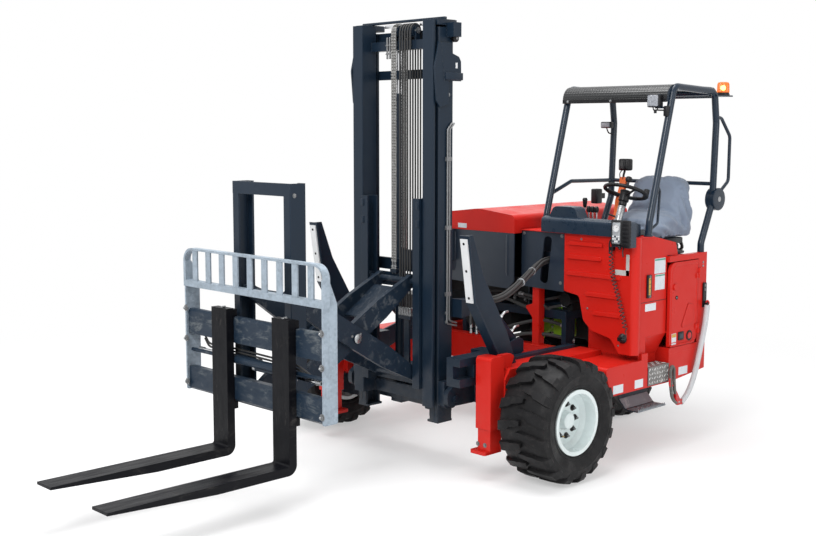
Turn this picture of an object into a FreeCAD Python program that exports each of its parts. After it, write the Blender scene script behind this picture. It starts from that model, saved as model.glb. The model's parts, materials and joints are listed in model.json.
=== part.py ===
"""Three-wheeled forklift that rides on the back of a truck.

Front faces -Y, the driver's side is +X and +Z is up. The origin lies on the ground under
the middle of the machine, forks included. All lengths are in millimetres.
"""
import FreeCAD
import Part
import Sketcher
import math
import os
import re

os.makedirs("parts", exist_ok=True)

# ---------------------------------------------------------------------------
# Sizes. Distances called _fwd run forward of the front axle, _aft behind it.
# ---------------------------------------------------------------------------
SIZES = {
    # wheels
    "axle_y": 355, "rear_aft": 1690, "twin_gap": 140, "tyre_radius": 393.5, "tyre_wide": 370,
    "wheel_x": 1070, "bead_radius": 190.5, "bead_half": 150, "flange_radius": 208,
    "flange_thick": 12, "rim_wall": 8, "dish_depth": 95, "disc_thick": 12,
    "hub_radius": 78, "hub_long": 70, "spindle_radius": 38, "fit_gap": 0.05,
    "motor_radius": 120, "motor_long": 75, "shoulder": 28,
    # running gaps
    "gap": 6, "slide_gap": 0.3,
    # rear swivel
    "crown_radius": 180, "crown_thick": 40, "crown_clear": 25, "strut_gap": 20,
    "swivel_radius": 60, "swivel_gap": 8, "spine_thick": 60, "spine_half": 500,
    "spine_tail": 300, "boss_wide": 110, "bumper_half": 620, "bumper_deep": 60,
    # chassis legs
    "leg_out": 840, "leg_wide": 180, "leg_low": 430, "leg_top": 700,
    "leg_front_fwd": 150, "leg_aft": 760, "leg_round": 25,
    "beam_out": 1150, "beam_low": 470, "beam_top": 665,
    "beam_start_aft": 455, "beam_end_aft": 1560, "step_start_aft": 860, "step_end_aft": 1110,
    "step_deep": 110, "step_top": 600, "step_plate": 4,
    "hang_in": 945, "hang_out": 1120, "hang_z": 300, "deck_thick": 10,
    # stabilisers
    "stab_out": 830, "stab_wide": 125, "stab_deep": 125, "stab_back_fwd": 235,
    "stab_wall": 10, "sleeve_low": 330, "sleeve_top": 790, "stab_leg_low": 190,
    "foot_wide": 190, "foot_deep": 165, "foot_thick": 22, "foot_round": 15,
    # slide rails and mast carrier
    "rail_in": 600, "rail_low": 640, "rail_top": 720, "rail_front_fwd": 330, "rail_aft": 700,
    "shoe_in": 540, "shoe_front_fwd": 455, "shoe_back_fwd": 60, "shoe_plate": 45,
    "beam_front_fwd": 130, "beam_deep": 110, "crossbeam_low": 420, "crossbeam_top": 580,
    "arm_thick": 36, "arm_front_fwd": 385, "pivot_fwd": 310, "pivot_z": 470, "pin_radius": 24,
    "tilt_low_aft": 235, "tilt_low_z": 775, "tilt_high_fwd": 40, "tilt_high_z": 1050,
    "tilt_x": 495, "tilt_barrel": 38, "tilt_rod": 20, "tilt_eye": 34, "tilt_stroke": 120, "eye_play": 5,
    # mast
    "mast_half": 385, "mast_web": 20, "mast_front_fwd": 375, "mast_deep": 132,
    "mast_flange": 18, "mast_lip": 310, "mast_low": 300, "mast_top": 2840,
    "inner_low": 410, "inner_top": 2885, "inner_front_fwd": 421, "inner_face": 22,
    "inner_web_in": 284, "inner_web": 18, "inner_deep": 128, "inner_tail": 16,
    "inner_face_out": 378, "bar_high": 60, "bar_deep": 20, "mid_bar_z": 2530,
    "lift_half": 276, "lift_web": 14, "lift_lip": 216, "lift_flange": 12,
    "lift_front_fwd": 440, "lift_deep": 96, "lift_low": 520, "lift_top": 1760,
    "lift_bar": 16, "lift_bar_z": 1160, "lift_bar_high": 90,
    "pulley_radius": 40, "cylinder_x": 165, "cylinder_radius": 34, "ram_radius": 22,
    "cylinder_low": 340, "cylinder_top": 2440, "cylinder_fwd": 185,
    "run_fwd": 356, "hose_radius": 8, "hose_pitch": 24, "hose_start": 14, "hose_low": 975,
    "chain_low": 1275, "chain_thick": 13, "return_low": 1400,
    # scissor reach
    "root_z": 595, "half_rise": 310,
    "blade_deep": 140, "blade_end": 76, "blade_thick": 36, "outer_blade": 208, "blade_gap": 6,
    "boss_radius": 54, "end_radius": 40, "boss_pin": 30, "roller_radius": 38, "roller_wide": 30,
    # front frame
    "portal_half": 281, "portal_front_fwd": 1492, "portal_deep": 118, "portal_low": 520,
    "portal_top": 1890, "portal_bar": 75,
    # fork carriage
    "bar_half": 668, "bar_front_fwd": 1570, "bar_thick": 45, "low_bar_z": 550,
    "low_bar_high": 150, "top_bar_z": 912, "top_bar_high": 158,
    "rest_half": 690, "rest_side": 12, "rest_side_deep": 105, "rest_top": 1460,
    "rest_mid": 1215, "rest_round": 85, "rest_tube": 46, "flat_wide": 50, "flat_count": 9,
    # forks
    "fork_near": 345, "fork_far": 255, "fork_wide": 155, "fork_thick": 52,
    "fork_front_fwd": 1626, "fork_long": 1174, "fork_top_z": 272, "fork_tip": 16,
    "shank_top": 1125, "fork_heel": 60,
    # left body
    "body_out": 1150, "body_front_aft": 700, "body_in": 555, "body_top": 1490,
    "body_low": 705, "body_wall": 6, "body_corner": 90, "body_end_aft": 1560,
    "door_front_aft": 1105, "door_back_aft": 1450, "door_low": 712,
    "door_thick": 22, "door_gap": 6, "door_hinge": 7, "side_recess": 24, "rib_out": 14, "rib_high": 26,
    "well_top": 812,
    # cab
    "cab_in": 215, "dash_in": 370, "deck_z": 1301, "dash_top": 1600, "dash_deep": 190,
    "post_radius": 24, "coil_radius": 13, "post_foot_aft": 878, "drum_radius": 80, "post_inset": 32, "canopy_front_aft": 1062, "canopy_back_aft": 1690, "canopy_top": 2505,
    "canopy_lip": 2385, "lamp_z": 2392, "canopy_thick": 26, "canopy_bend": 78, "gauge_wide": 150,
    "seat_x": 745, "seat_wide": 480, "seat_front_aft": 1150, "seat_deep": 470,
    "seat_low": 1440, "seat_high": 1560, "back_high": 1865, "back_thick": 150,
    "wheel_hand_x": 715, "wheel_hand_z": 1762, "wheel_hand_aft": 1180, "wheel_hand_radius": 148,
    "wheel_hand_rim": 13, "wheel_hand_tilt": 22,
    "hub_drop": 71, "column_radius": 24, "lever_x": 505, "lever_high": 135, "lever_tall": 190,
    # engine side
    "hood_out": 800, "hood_in": 150, "hood_front_aft": 640, "hood_end_aft": 2000,
    "hood_low": 1462, "hood_top": 1600, "hood_wall": 6, "hood_round": 70,
    "bay_low": 470, "engine_wide": 560, "engine_deep": 850, "engine_high": 560,
    # rear
    "rear_end_aft": 2090, "yoke_gap": 20,
    # guard posts
    "guard_x": 722, "guard_wide": 80, "guard_top": 1555, "guard_foot": 790,
    "guard_top_fwd": 495, "guard_foot_fwd": 90, "guard_plate": 10,
}

# Sizes that follow from the others, so that what they place stays fitted.
FOLLOWS = {
    "beam_in": "leg_out - leg_wide",
    "spine_low": "2 * tyre_radius + crown_clear + crown_thick + swivel_gap",
    "spine_top": "spine_low + spine_thick",
    "root_fwd": "lift_front_fwd - lift_deep / 2",
    "half_span": "(portal_front_fwd - portal_deep / 2 - root_fwd) / 2",
    "pulley_fwd": "run_fwd - pulley_radius - chain_thick / 2",
    "door_top": "deck_z - door_gap",
    "deck_top": "deck_z + deck_thick",
    "hinge_x": "body_out + 2 + slide_gap + door_hinge",
    "coil_aft": "body_front_aft - rib_out - coil_radius - 3",
}

doc = FreeCAD.newDocument("TruckForklift")
sheet = doc.addObject("Spreadsheet::Sheet", "Dim")
for row, (word, value) in enumerate(SIZES.items(), 1):
    sheet.set("A%d" % row, word)
    sheet.set("B%d" % row, str(value))
    sheet.setAlias("B%d" % row, word)
doc.recompute()

NODES = []
WORD = re.compile(r"[a-z][a-z0-9_]*")


def bound(text):
    """The expression FreeCAD reads: every size's name points at the sheet."""
    def told(hit):
        word = hit.group(0)
        if word in FOLLOWS:
            return "(%s)" % bound(FOLLOWS[word])
        return "Dim." + word if word in SIZES else word
    return WORD.sub(told, str(text))


def number(text):
    """The present value of an expression, used to draw a sketch before it is constrained."""
    probe = sheet.evalExpression(bound(text))
    return float(getattr(probe, "Value", probe))


def tie(thing, prop, text):
    thing.setExpression(prop, bound(text))


def box(label, x, y, z):
    """A block between pairs of expressions."""
    thing = doc.addObject("Part::Box", label)
    for prop, axis, (low, high) in zip(("Length", "Width", "Height"), "xyz", (x, y, z)):
        tie(thing, prop, "(%s) - (%s)" % (high, low))
        tie(thing, "Placement.Base." + axis, low)
    return thing


TURN = {"X": FreeCAD.Rotation(FreeCAD.Vector(0, 1, 0), 90),
        "Y": FreeCAD.Rotation(FreeCAD.Vector(1, 0, 0), -90),
        "Z": FreeCAD.Rotation()}


def rod(label, along, radius, start, end, centre):
    """A round bar along X, Y or Z; centre holds the other two coordinates in order."""
    thing = doc.addObject("Part::Cylinder", label)
    tie(thing, "Radius", radius)
    tie(thing, "Height", "(%s) - (%s)" % (end, start))
    spots = list(centre)
    spots.insert("XYZ".index(along), start)
    thing.Placement = FreeCAD.Placement(FreeCAD.Vector(), TURN[along])
    for axis, spot in zip("xyz", spots):
        tie(thing, "Placement.Base." + axis, spot)
    return thing


def sketch_in(body, plane, points, closed=True):
    """A closed outline of straight sides whose corners are bound to the sheet."""
    sketch = body.newObject("Sketcher::SketchObject", body.Name + "_outline")
    flat = [f for f in body.Origin.OriginFeatures if f.Role == plane + "_Plane"][0]
    sketch.AttachmentSupport = [(flat, "")]
    sketch.MapMode = "FlatFace"
    spots = [(number(u), number(v)) for u, v in points]
    count = len(spots)
    for i in range(count):
        a = FreeCAD.Vector(spots[i][0], spots[i][1], 0)
        b = FreeCAD.Vector(spots[(i + 1) % count][0], spots[(i + 1) % count][1], 0)
        sketch.addGeometry(Part.LineSegment(a, b), False)
    for i in range(count):
        sketch.addConstraint(Sketcher.Constraint("Coincident", i, 2, (i + 1) % count, 1))
    for i, (u, v) in enumerate(points):
        for kind, text, value in (("DistanceX", u, spots[i][0]), ("DistanceY", v, spots[i][1])):
            here = sketch.addConstraint(Sketcher.Constraint(kind, -1, 1, i, 1, value))
            tie(sketch, "Constraints[%d]" % here, text)
    return sketch, spots


def prism(label, plane, points, low, high, rounds=None):
    """An outline drawn in a plane and padded across it; rounds maps a corner to a radius."""
    body = doc.addObject("PartDesign::Body", label)
    sketch, spots = sketch_in(body, plane, points)
    pad = body.newObject("PartDesign::Pad", label + "_pad")
    pad.Profile = sketch
    tie(sketch, "AttachmentOffset.Base.z", "-(%s)" % high if plane == "XZ" else low)
    tie(pad, "Length", "(%s) - (%s)" % (high, low))
    doc.recompute()
    if rounds:
        groups = {}
        for corner, radius in rounds.items():
            groups.setdefault(radius, []).append(corner)
        base = pad
        for turn, (radius, corners) in enumerate(groups.items()):
            names = [edge_at(base.Shape, plane, spots[c]) for c in corners]
            fillet = body.newObject("PartDesign::Fillet", "%s_round%d" % (label, turn))
            fillet.Base = (base, names)
            tie(fillet, "Radius", radius)
            doc.recompute()
            base = fillet
        body.Tip = base
    return body


def edge_at(shape, plane, spot):
    """The straight edge across the sketch plane at a corner of the outline."""
    first, second = {"XY": (0, 1), "XZ": (0, 2), "YZ": (1, 2)}[plane]
    best = None
    for i, edge in enumerate(shape.Edges):
        if len(edge.Vertexes) != 2:
            continue
        a, b = (v.Point for v in edge.Vertexes)
        away = max(abs(a[first] - spot[0]), abs(a[second] - spot[1]),
                   abs(b[first] - spot[0]), abs(b[second] - spot[1]))
        if best is None or away < best[0]:
            best = (away, "Edge%d" % (i + 1))
    return best[1]


def ring(label, points, at):
    """A body turned about its own X axis; points are (along the axis, radius)."""
    body = doc.addObject("PartDesign::Body", label)
    sketch, _ = sketch_in(body, "XY", points)
    turn = body.newObject("PartDesign::Revolution", label + "_turn")
    turn.Profile = sketch
    turn.ReferenceAxis = (sketch, ["H_Axis"])
    turn.Angle = 360
    for axis, spot in zip("xyz", at):
        tie(body, "Placement.Base." + axis, spot)
    doc.recompute()
    return body


def cut(label, base, tool):
    thing = doc.addObject("Part::Cut", label)
    thing.Base = base
    thing.Tool = tool
    return thing


def fuse(label, pieces):
    if len(pieces) == 1:
        return pieces[0]
    thing = doc.addObject("Part::MultiFuse", label)
    thing.Shapes = pieces
    thing.Refine = True
    return thing


def group(label, pieces):
    thing = doc.addObject("Part::Compound", label)
    thing.Links = pieces
    return thing


def mirror(label, thing):
    """The same piece on the other side of the machine."""
    other = doc.addObject("Part::Mirroring", label)
    other.Source = thing
    other.Normal = FreeCAD.Vector(1, 0, 0)
    return other


def both(label, thing):
    return group(label, [thing, mirror(label + "_far", thing)])


def tube_along(label, spots, radius, bends):
    """A round bar of straight runs joined by tangent arcs, one bend radius for each corner."""
    edges = []
    start = spots[0]
    for before, corner, after, turn in zip(spots, spots[1:], spots[2:], bends):
        into = (corner - before).normalize()
        out = (after - corner).normalize()
        half = into.getAngle(out) / 2
        back = turn * math.tan(half)
        a = corner - into * back
        b = corner + out * back
        middle = corner + (out - into).normalize() * (turn / math.cos(half) - turn)
        edges.append(Part.LineSegment(start, a).toShape())
        edges.append(Part.Arc(a, middle, b).toShape())
        start = b
    edges.append(Part.LineSegment(start, spots[-1]).toShape())
    wire = Part.Wire(edges)
    face = Part.Wire([Part.makeCircle(radius, spots[0], spots[1] - spots[0])])
    thing = doc.addObject("Part::Feature", label)
    thing.Shape = wire.makePipeShell([face], True, False)
    drift = thing.Shape.Volume / (math.pi * radius ** 2 * wire.Length) - 1
    if abs(drift) > 0.002:
        raise RuntimeError("%s: its volume is off its section times its length" % label)
    return thing


def spots_of(points):
    return [FreeCAD.Vector(*(number(c) for c in p)) for p in points]


def pipe(label, points, radius, bend):
    """A bent pipe: every corner has the same bend radius."""
    return tube_along(label, spots_of(points), number(radius), [number(bend)] * (len(points) - 2))


def cord(label, points, radius):
    """A cord: each arc is as large as its two runs allow."""
    spots = spots_of(points)
    bends = []
    for before, corner, after in zip(spots, spots[1:], spots[2:]):
        half = (corner - before).getAngle(after - corner) / 2
        shorter = min((corner - before).Length, (after - corner).Length)
        bends.append(0.45 * shorter / math.tan(half))
    print(label, "radii", [round(bend) for bend in bends])
    return tube_along(label, spots, number(radius), bends)


def node(label, thing):
    thing.Label = label
    NODES.append(thing)
    return thing


# ---------------------------------------------------------------------------
# Wheels
# ---------------------------------------------------------------------------
def tyre(label, at):
    half = "tyre_wide / 2"
    outline = [("-bead_half", "bead_radius"), ("bead_half", "bead_radius"),
               ("bead_half", "flange_radius + 3"), ("bead_half + 20", "bead_radius + 40"), (half, "bead_radius + 95"),
               (half + " - 6", "tyre_radius - shoulder - 25"),
               (half + " - shoulder", "tyre_radius"), ("-(%s - shoulder)" % half, "tyre_radius"),
               ("-(%s - 6)" % half, "tyre_radius - shoulder - 25"),
               ("-(%s)" % half, "bead_radius + 95"), ("-(bead_half + 20)", "bead_radius + 40"),
               ("-bead_half", "flange_radius + 3")]
    return node(label, ring(label, outline, at))


def rim(label, at, out):
    """A dished rim; out is + when its open side faces +X."""
    def side(text):
        return text if out == "+" else "-(%s)" % text
    lip = "bead_half + flange_thick"
    disc = "bead_half - dish_depth"
    outline = [(side(lip), "flange_radius"), (side("bead_half"), "flange_radius"),
               (side("bead_half"), "bead_radius"), (side("-bead_half"), "bead_radius"),
               (side("-bead_half"), "flange_radius"), (side("-(%s)" % lip), "flange_radius"),
               (side("-(%s)" % lip), "bead_radius - rim_wall"),
               (side(disc + " - disc_thick"), "bead_radius - rim_wall"),
               (side(disc + " - disc_thick"), "hub_radius"),
               (side(disc + " - disc_thick - hub_long"), "hub_radius"),
               (side(disc + " - disc_thick - hub_long"), "spindle_radius + fit_gap"),
               (side(disc), "spindle_radius + fit_gap"), (side(disc), "hub_radius"),
               (side(disc), "bead_radius - rim_wall - 25"),
               (side(disc + " + 30"), "bead_radius - rim_wall"),
               (side(lip), "bead_radius - rim_wall")]
    if out != "+":
        outline.reverse()
    return node(label, ring(label, outline, at))


def wheels():
    near = ("wheel_x", "axle_y", "tyre_radius")
    far = ("-wheel_x", "axle_y", "tyre_radius")
    twin = "(tyre_wide + twin_gap) / 2"
    tyre("tyre_front_left", near)
    rim("rim_front_left", near, "+")
    tyre("tyre_front_right", far)
    rim("rim_front_right", far, "-")
    for side, sign, out in (("left", "", "+"), ("right", "-", "-")):
        rear = (sign + twin, "axle_y + rear_aft", "tyre_radius")
        tyre("tyre_rear_" + side, rear)
        rim("rim_rear_" + side, rear, out)
    casing = rod("motor_case", "X", "motor_radius", "leg_out", "leg_out + motor_long",
                 ("axle_y", "tyre_radius"))
    spindle = rod("motor_spindle", "X", "spindle_radius", "leg_out + motor_long",
                  "wheel_x + bead_half - dish_depth", ("axle_y", "tyre_radius"))
    plate = box("motor_plate", ("leg_out - leg_wide", "leg_out"),
                ("axle_y - motor_radius", "axle_y + motor_radius"),
                ("tyre_radius - motor_radius", "leg_low"))
    both_sides = both("wheel_motors", fuse("wheel_motor", [casing, spindle, plate]))
    return both_sides


def rear_yoke():
    """The strut between the twin rear wheels, turning on an upright pin."""
    mid = "axle_y + rear_aft"
    top = "2 * tyre_radius + crown_clear"
    strut = prism("yoke_strut", "YZ",
                  [(mid + " - 80", "tyre_radius - 100"), (mid + " + 80", "tyre_radius - 100"),
                   (mid + " + 150", top + " + crown_thick"), (mid + " - 150", top + " + crown_thick")],
                  "-(twin_gap / 2 - strut_gap)", "twin_gap / 2 - strut_gap", {0: 60, 1: 60})
    crown = rod("yoke_crown", "Z", "crown_radius", top, top + " + crown_thick", ("0", mid))
    case = rod("yoke_case", "X", "motor_radius", "-(twin_gap / 2 + 15)", "twin_gap / 2 + 15",
               (mid, "tyre_radius"))
    reach = "(tyre_wide + twin_gap) / 2 + bead_half - dish_depth"
    spindle = rod("yoke_spindle", "X", "spindle_radius", "-(%s)" % reach, reach,
                  (mid, "tyre_radius"))
    pin = rod("yoke_pin", "Z", "swivel_radius", top + " + crown_thick",
              top + " + crown_thick + swivel_gap + spine_thick + 15", ("0", mid))
    node("rear_yoke", fuse("rear_yoke", [strut, crown, case, spindle, pin]))


# ---------------------------------------------------------------------------
# Chassis
# ---------------------------------------------------------------------------
def legs():
    """The two legs beside the mast, the stabiliser sleeves and the beams behind the wheels."""
    leg = prism("leg", "YZ",
                [("axle_y - leg_front_fwd", "leg_low"), ("axle_y + leg_aft", "leg_low"),
                 ("axle_y + leg_aft", "leg_top"), ("axle_y - leg_front_fwd - 40", "leg_top"),
                 ("axle_y - stab_back_fwd", "leg_top - 60"),
                 ("axle_y - stab_back_fwd", "leg_low + 40")],
                "leg_out - leg_wide", "leg_out", {1: "leg_round"})
    back = "axle_y - stab_back_fwd"
    front = "axle_y - stab_back_fwd - stab_deep"
    inner = "stab_out - stab_wide"
    sleeve = prism("sleeve", "YZ", [(front, "sleeve_low"), (back, "sleeve_low"),
                                    (back, "sleeve_top"), (front, "sleeve_top")],
                   inner, "stab_out", {2: "leg_round", 3: "leg_round"})
    bore = box("sleeve_bore", (inner + " + stab_wall", "stab_out - stab_wall"),
               (front + " + stab_wall", back + " - stab_wall"),
               ("sleeve_low - 5", "sleeve_top - 60"))
    hook = prism("sleeve_hook", "YZ",
                 [(back, "sleeve_top - 90"), (back + " + 95", "sleeve_top - 90"),
                  (back + " + 130", "sleeve_top - 20"), (back + " + 95", "sleeve_top"),
                  (back, "sleeve_top")], "guard_x + guard_wide / 2 + gap", "stab_out - 28", {2: 15})
    side = prism("side_beam", "YZ",
                 [("axle_y + beam_start_aft", "beam_low"),
                  ("axle_y + step_end_aft + 30", "beam_low"),
                  ("axle_y + beam_end_aft", "beam_low + 40"),
                  ("axle_y + beam_end_aft", "beam_top"),
                  ("axle_y + beam_start_aft - 70", "beam_top")],
                 "beam_in", "beam_out", {4: 30})
    notch = box("step_notch", ("beam_out - step_deep", "beam_out + 5"),
                ("axle_y + step_start_aft", "axle_y + step_end_aft"),
                ("step_top", "beam_top + 5"))
    one = fuse("leg_side", [leg, cut("sleeve_open", sleeve, bore), hook,
                            cut("side_beam_cut", side, notch)])
    tie_bar = box("rear_tie", ("-beam_in - 5", "beam_in + 5"),
                  ("axle_y + leg_aft - 40", "axle_y + leg_aft + 40"), ("beam_low", "beam_top"))
    prop = prism("bay_prop", "XZ",
                 [("hood_in + 100", "beam_top - 2"), ("hood_in + 160", "beam_top - 2"),
                  ("hood_in + 160", "1085"), ("hood_in + 100", "1085"), ("hood_in + 100", "960"),
                  ("hood_in + 40", "940"), ("hood_in + 40", "925"), ("hood_in + 100", "860")],
                 "axle_y + leg_aft - 30", "axle_y + leg_aft + 30", {7: 40})
    node("chassis_legs", fuse("chassis_legs", [one, mirror("leg_side_far", one), tie_bar, prop]))


def chassis_back():
    """The dark spine over the rear wheels and the bumper behind it."""
    low = "spine_low"
    top = "spine_top"
    mid = "axle_y + rear_aft"
    start = "axle_y + leg_aft + 45"
    end = "axle_y + rear_end_aft - bumper_deep"
    spine = prism("spine", "XY",
                  [("-spine_half", mid + " - 120"), ("-spine_half", start), ("spine_half", start),
                   ("spine_half", mid + " - 120"), ("spine_tail", end), ("-spine_tail", end)],
                  low, top)
    hole = rod("spine_bore", "Z", "swivel_radius + fit_gap", low + " - 5", top + " + 22", ("0", mid))
    boss = rod("spine_boss", "Z", "boss_wide", low, top + " + 17", ("0", mid))
    down = []
    for name, x0, x1 in (("near", "spine_half - 40", "spine_half"),
                         ("far", "-spine_half", "-(spine_half - 40)")):
        down.append(box("spine_down_" + name, (x0, x1), ("axle_y + leg_aft + 40", start + " + 95"),
                        ("beam_low", top)))
    bumper = prism("bumper", "XY",
                   [("-bumper_half", end), ("bumper_half", end),
                    ("bumper_half - 60", "axle_y + rear_end_aft"),
                    ("-(bumper_half - 60)", "axle_y + rear_end_aft")],
                   low + " - 60", top, {2: 30, 3: 30})
    return cut("rear_spine", fuse("spine_all", [spine, boss, bumper] + down), hole)


def rails():
    rail = box("rail", ("rail_in", "leg_out - leg_wide"),
               ("axle_y - rail_front_fwd", "axle_y + rail_aft"), ("rail_low", "rail_top"))
    return both("slide_rails", rail)


def stabilisers():
    inner = "stab_out - stab_wide + stab_wall + slide_gap"
    outer = "stab_out - stab_wall - slide_gap"
    front = "axle_y - stab_back_fwd - stab_deep + stab_wall + slide_gap"
    back = "axle_y - stab_back_fwd - stab_wall - slide_gap"
    middle_x = "(stab_out - stab_wide / 2)"
    middle_y = "(axle_y - stab_back_fwd - stab_deep / 2)"
    post = box("stab_post", (inner, outer), (front, back), ("stab_leg_low", "sleeve_top - 70"))
    foot = prism("stab_foot", "XY",
                 [(middle_x + " - foot_wide / 2", middle_y + " - foot_deep / 2"),
                  (middle_x + " + foot_wide / 2 - 60", middle_y + " - foot_deep / 2"),
                  (middle_x + " + foot_wide / 2 - 60", middle_y + " + foot_deep / 2"),
                  (middle_x + " - foot_wide / 2", middle_y + " + foot_deep / 2")],
                 "stab_leg_low - foot_thick", "stab_leg_low",
                 {0: "foot_round", 1: "foot_round", 2: "foot_round", 3: "foot_round"})
    near = fuse("stab_near", [post, foot])
    node("stabiliser_left", near)
    node("stabiliser_right", mirror("stab_far", near))


# ---------------------------------------------------------------------------
# Mast carrier and mast
# ---------------------------------------------------------------------------
def mast_carrier():
    """Shoes that run on the slide rails, the beam between them and the tilt brackets."""
    front = "axle_y - shoe_front_fwd"
    back = "axle_y - shoe_back_fwd"
    out = "leg_out - leg_wide - gap"
    plate = box("shoe_side", ("shoe_in", "rail_in - gap"), (front, back),
                ("rail_low - gap - shoe_plate", "rail_top + gap + shoe_plate"))
    over = box("shoe_over", ("shoe_in", out), (front, back),
               ("rail_top + slide_gap", "rail_top + gap + shoe_plate"))
    under = box("shoe_under", ("shoe_in", out), (front, back),
                ("rail_low - gap - shoe_plate", "rail_low - slide_gap"))
    arm = prism("tilt_arm", "YZ",
                [("axle_y - arm_front_fwd", "pivot_z - 45"),
                 ("axle_y - beam_front_fwd + 60", "crossbeam_low"),
                 ("axle_y - beam_front_fwd + 60", "rail_top"),
                 ("axle_y - arm_front_fwd", "pivot_z + 50")],
                "mast_half + 55 + gap", "mast_half + 55 + gap + arm_thick", {0: 40, 3: 40})
    hole = rod("tilt_hole", "X", "pin_radius + fit_gap", "mast_half", "mast_half + 150",
               ("axle_y - pivot_fwd", "pivot_z"))
    reach = box("shoe_reach", ("mast_half + 55 + gap", "shoe_in + 5"),
                ("axle_y - beam_front_fwd", "axle_y - beam_front_fwd + beam_deep"),
                ("crossbeam_low", "rail_top + gap + shoe_plate"))
    ear_y = "axle_y + tilt_low_aft"
    ear = prism("tilt_ear", "YZ",
                [("axle_y - shoe_back_fwd - 90", "crossbeam_top - 40"),
                 (ear_y + " + 40", "tilt_low_z - 60"), (ear_y + " + 40", "tilt_low_z + 34"),
                 (ear_y + " - 40", "tilt_low_z + 34"),
                 ("axle_y - shoe_back_fwd - 90", "rail_top")],
                "tilt_x + tilt_barrel + gap", "shoe_in + 15", {2: 30, 3: 30})
    ear_pin = rod("tilt_ear_pin", "X", "14", "tilt_x - tilt_eye / 2 - 8", "shoe_in",
                  (ear_y, "tilt_low_z"))
    side = fuse("carrier_side", [plate, over, under, cut("tilt_arm_cut", arm, hole), reach, ear,
                                 ear_pin])
    cross = box("carrier_cross", ("-(shoe_in + 5)", "shoe_in + 5"),
                ("axle_y - beam_front_fwd", "axle_y - beam_front_fwd + beam_deep"),
                ("crossbeam_low", "crossbeam_top"))
    node("mast_carrier", fuse("mast_carrier", [side, mirror("carrier_side_far", side), cross]))


def tilt_direction():
    """The unit vector from the tilt cylinder's lower pin to its upper one, in YZ."""
    rise = "(tilt_high_z - tilt_low_z)"
    run = "(tilt_high_fwd + tilt_low_aft)"
    return run, rise, "sqrt(%s ^ 2 + %s ^ 2)" % (run, rise)


def tilt_cylinders():
    run, rise, long = tilt_direction()
    low = ("tilt_x", "axle_y + tilt_low_aft", "tilt_low_z")

    def slanted(label, radius, start, length):
        thing = doc.addObject("Part::Cylinder", label)
        tie(thing, "Radius", radius)
        tie(thing, "Height", length)
        thing.Placement = FreeCAD.Placement(FreeCAD.Vector(),
                                            FreeCAD.Rotation(FreeCAD.Vector(1, 0, 0), 45))
        tie(thing, "Placement.Rotation.Angle", "atan(%s / %s)" % (run, rise))
        tie(thing, "Placement.Base.x", low[0])
        tie(thing, "Placement.Base.y", "%s - %s * (%s) / %s" % (low[1], run, start, long))
        tie(thing, "Placement.Base.z", "%s + %s * (%s) / %s" % (low[2], rise, start, long))
        return thing

    def eye(label, spot, hole):
        outer = rod(label, "X", "tilt_eye - 6", "tilt_x - tilt_eye / 2", "tilt_x + tilt_eye / 2",
                    spot)
        inner = rod(label + "_hole", "X", hole, "tilt_x - tilt_eye", "tilt_x + tilt_eye", spot)
        return outer, inner

    lower, lower_hole = eye("tilt_lower", (low[1], low[2]), "14 + fit_gap")
    barrel = slanted("tilt_barrel", "tilt_barrel", "20", long + " - tilt_stroke - 60")
    bore = slanted("tilt_bore", "tilt_rod + fit_gap", "60", long + " - tilt_stroke - 40")
    body = cut("tilt_barrel_open", cut("tilt_barrel_eye", fuse("tilt_barrel_all",
                                                               [lower, barrel]), lower_hole), bore)
    node("tilt_barrels", both("tilt_barrels", body))
    high = ("axle_y - tilt_high_fwd", "tilt_high_z")
    upper, upper_hole = eye("tilt_upper", high, "14 + eye_play")
    ram = slanted("tilt_ram", "tilt_rod", "tilt_stroke - 20", long + " - tilt_stroke")
    node("tilt_rods", both("tilt_rods", cut("tilt_ram_eye", fuse("tilt_ram_all", [ram, upper]),
                                            upper_hole)))


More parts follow.
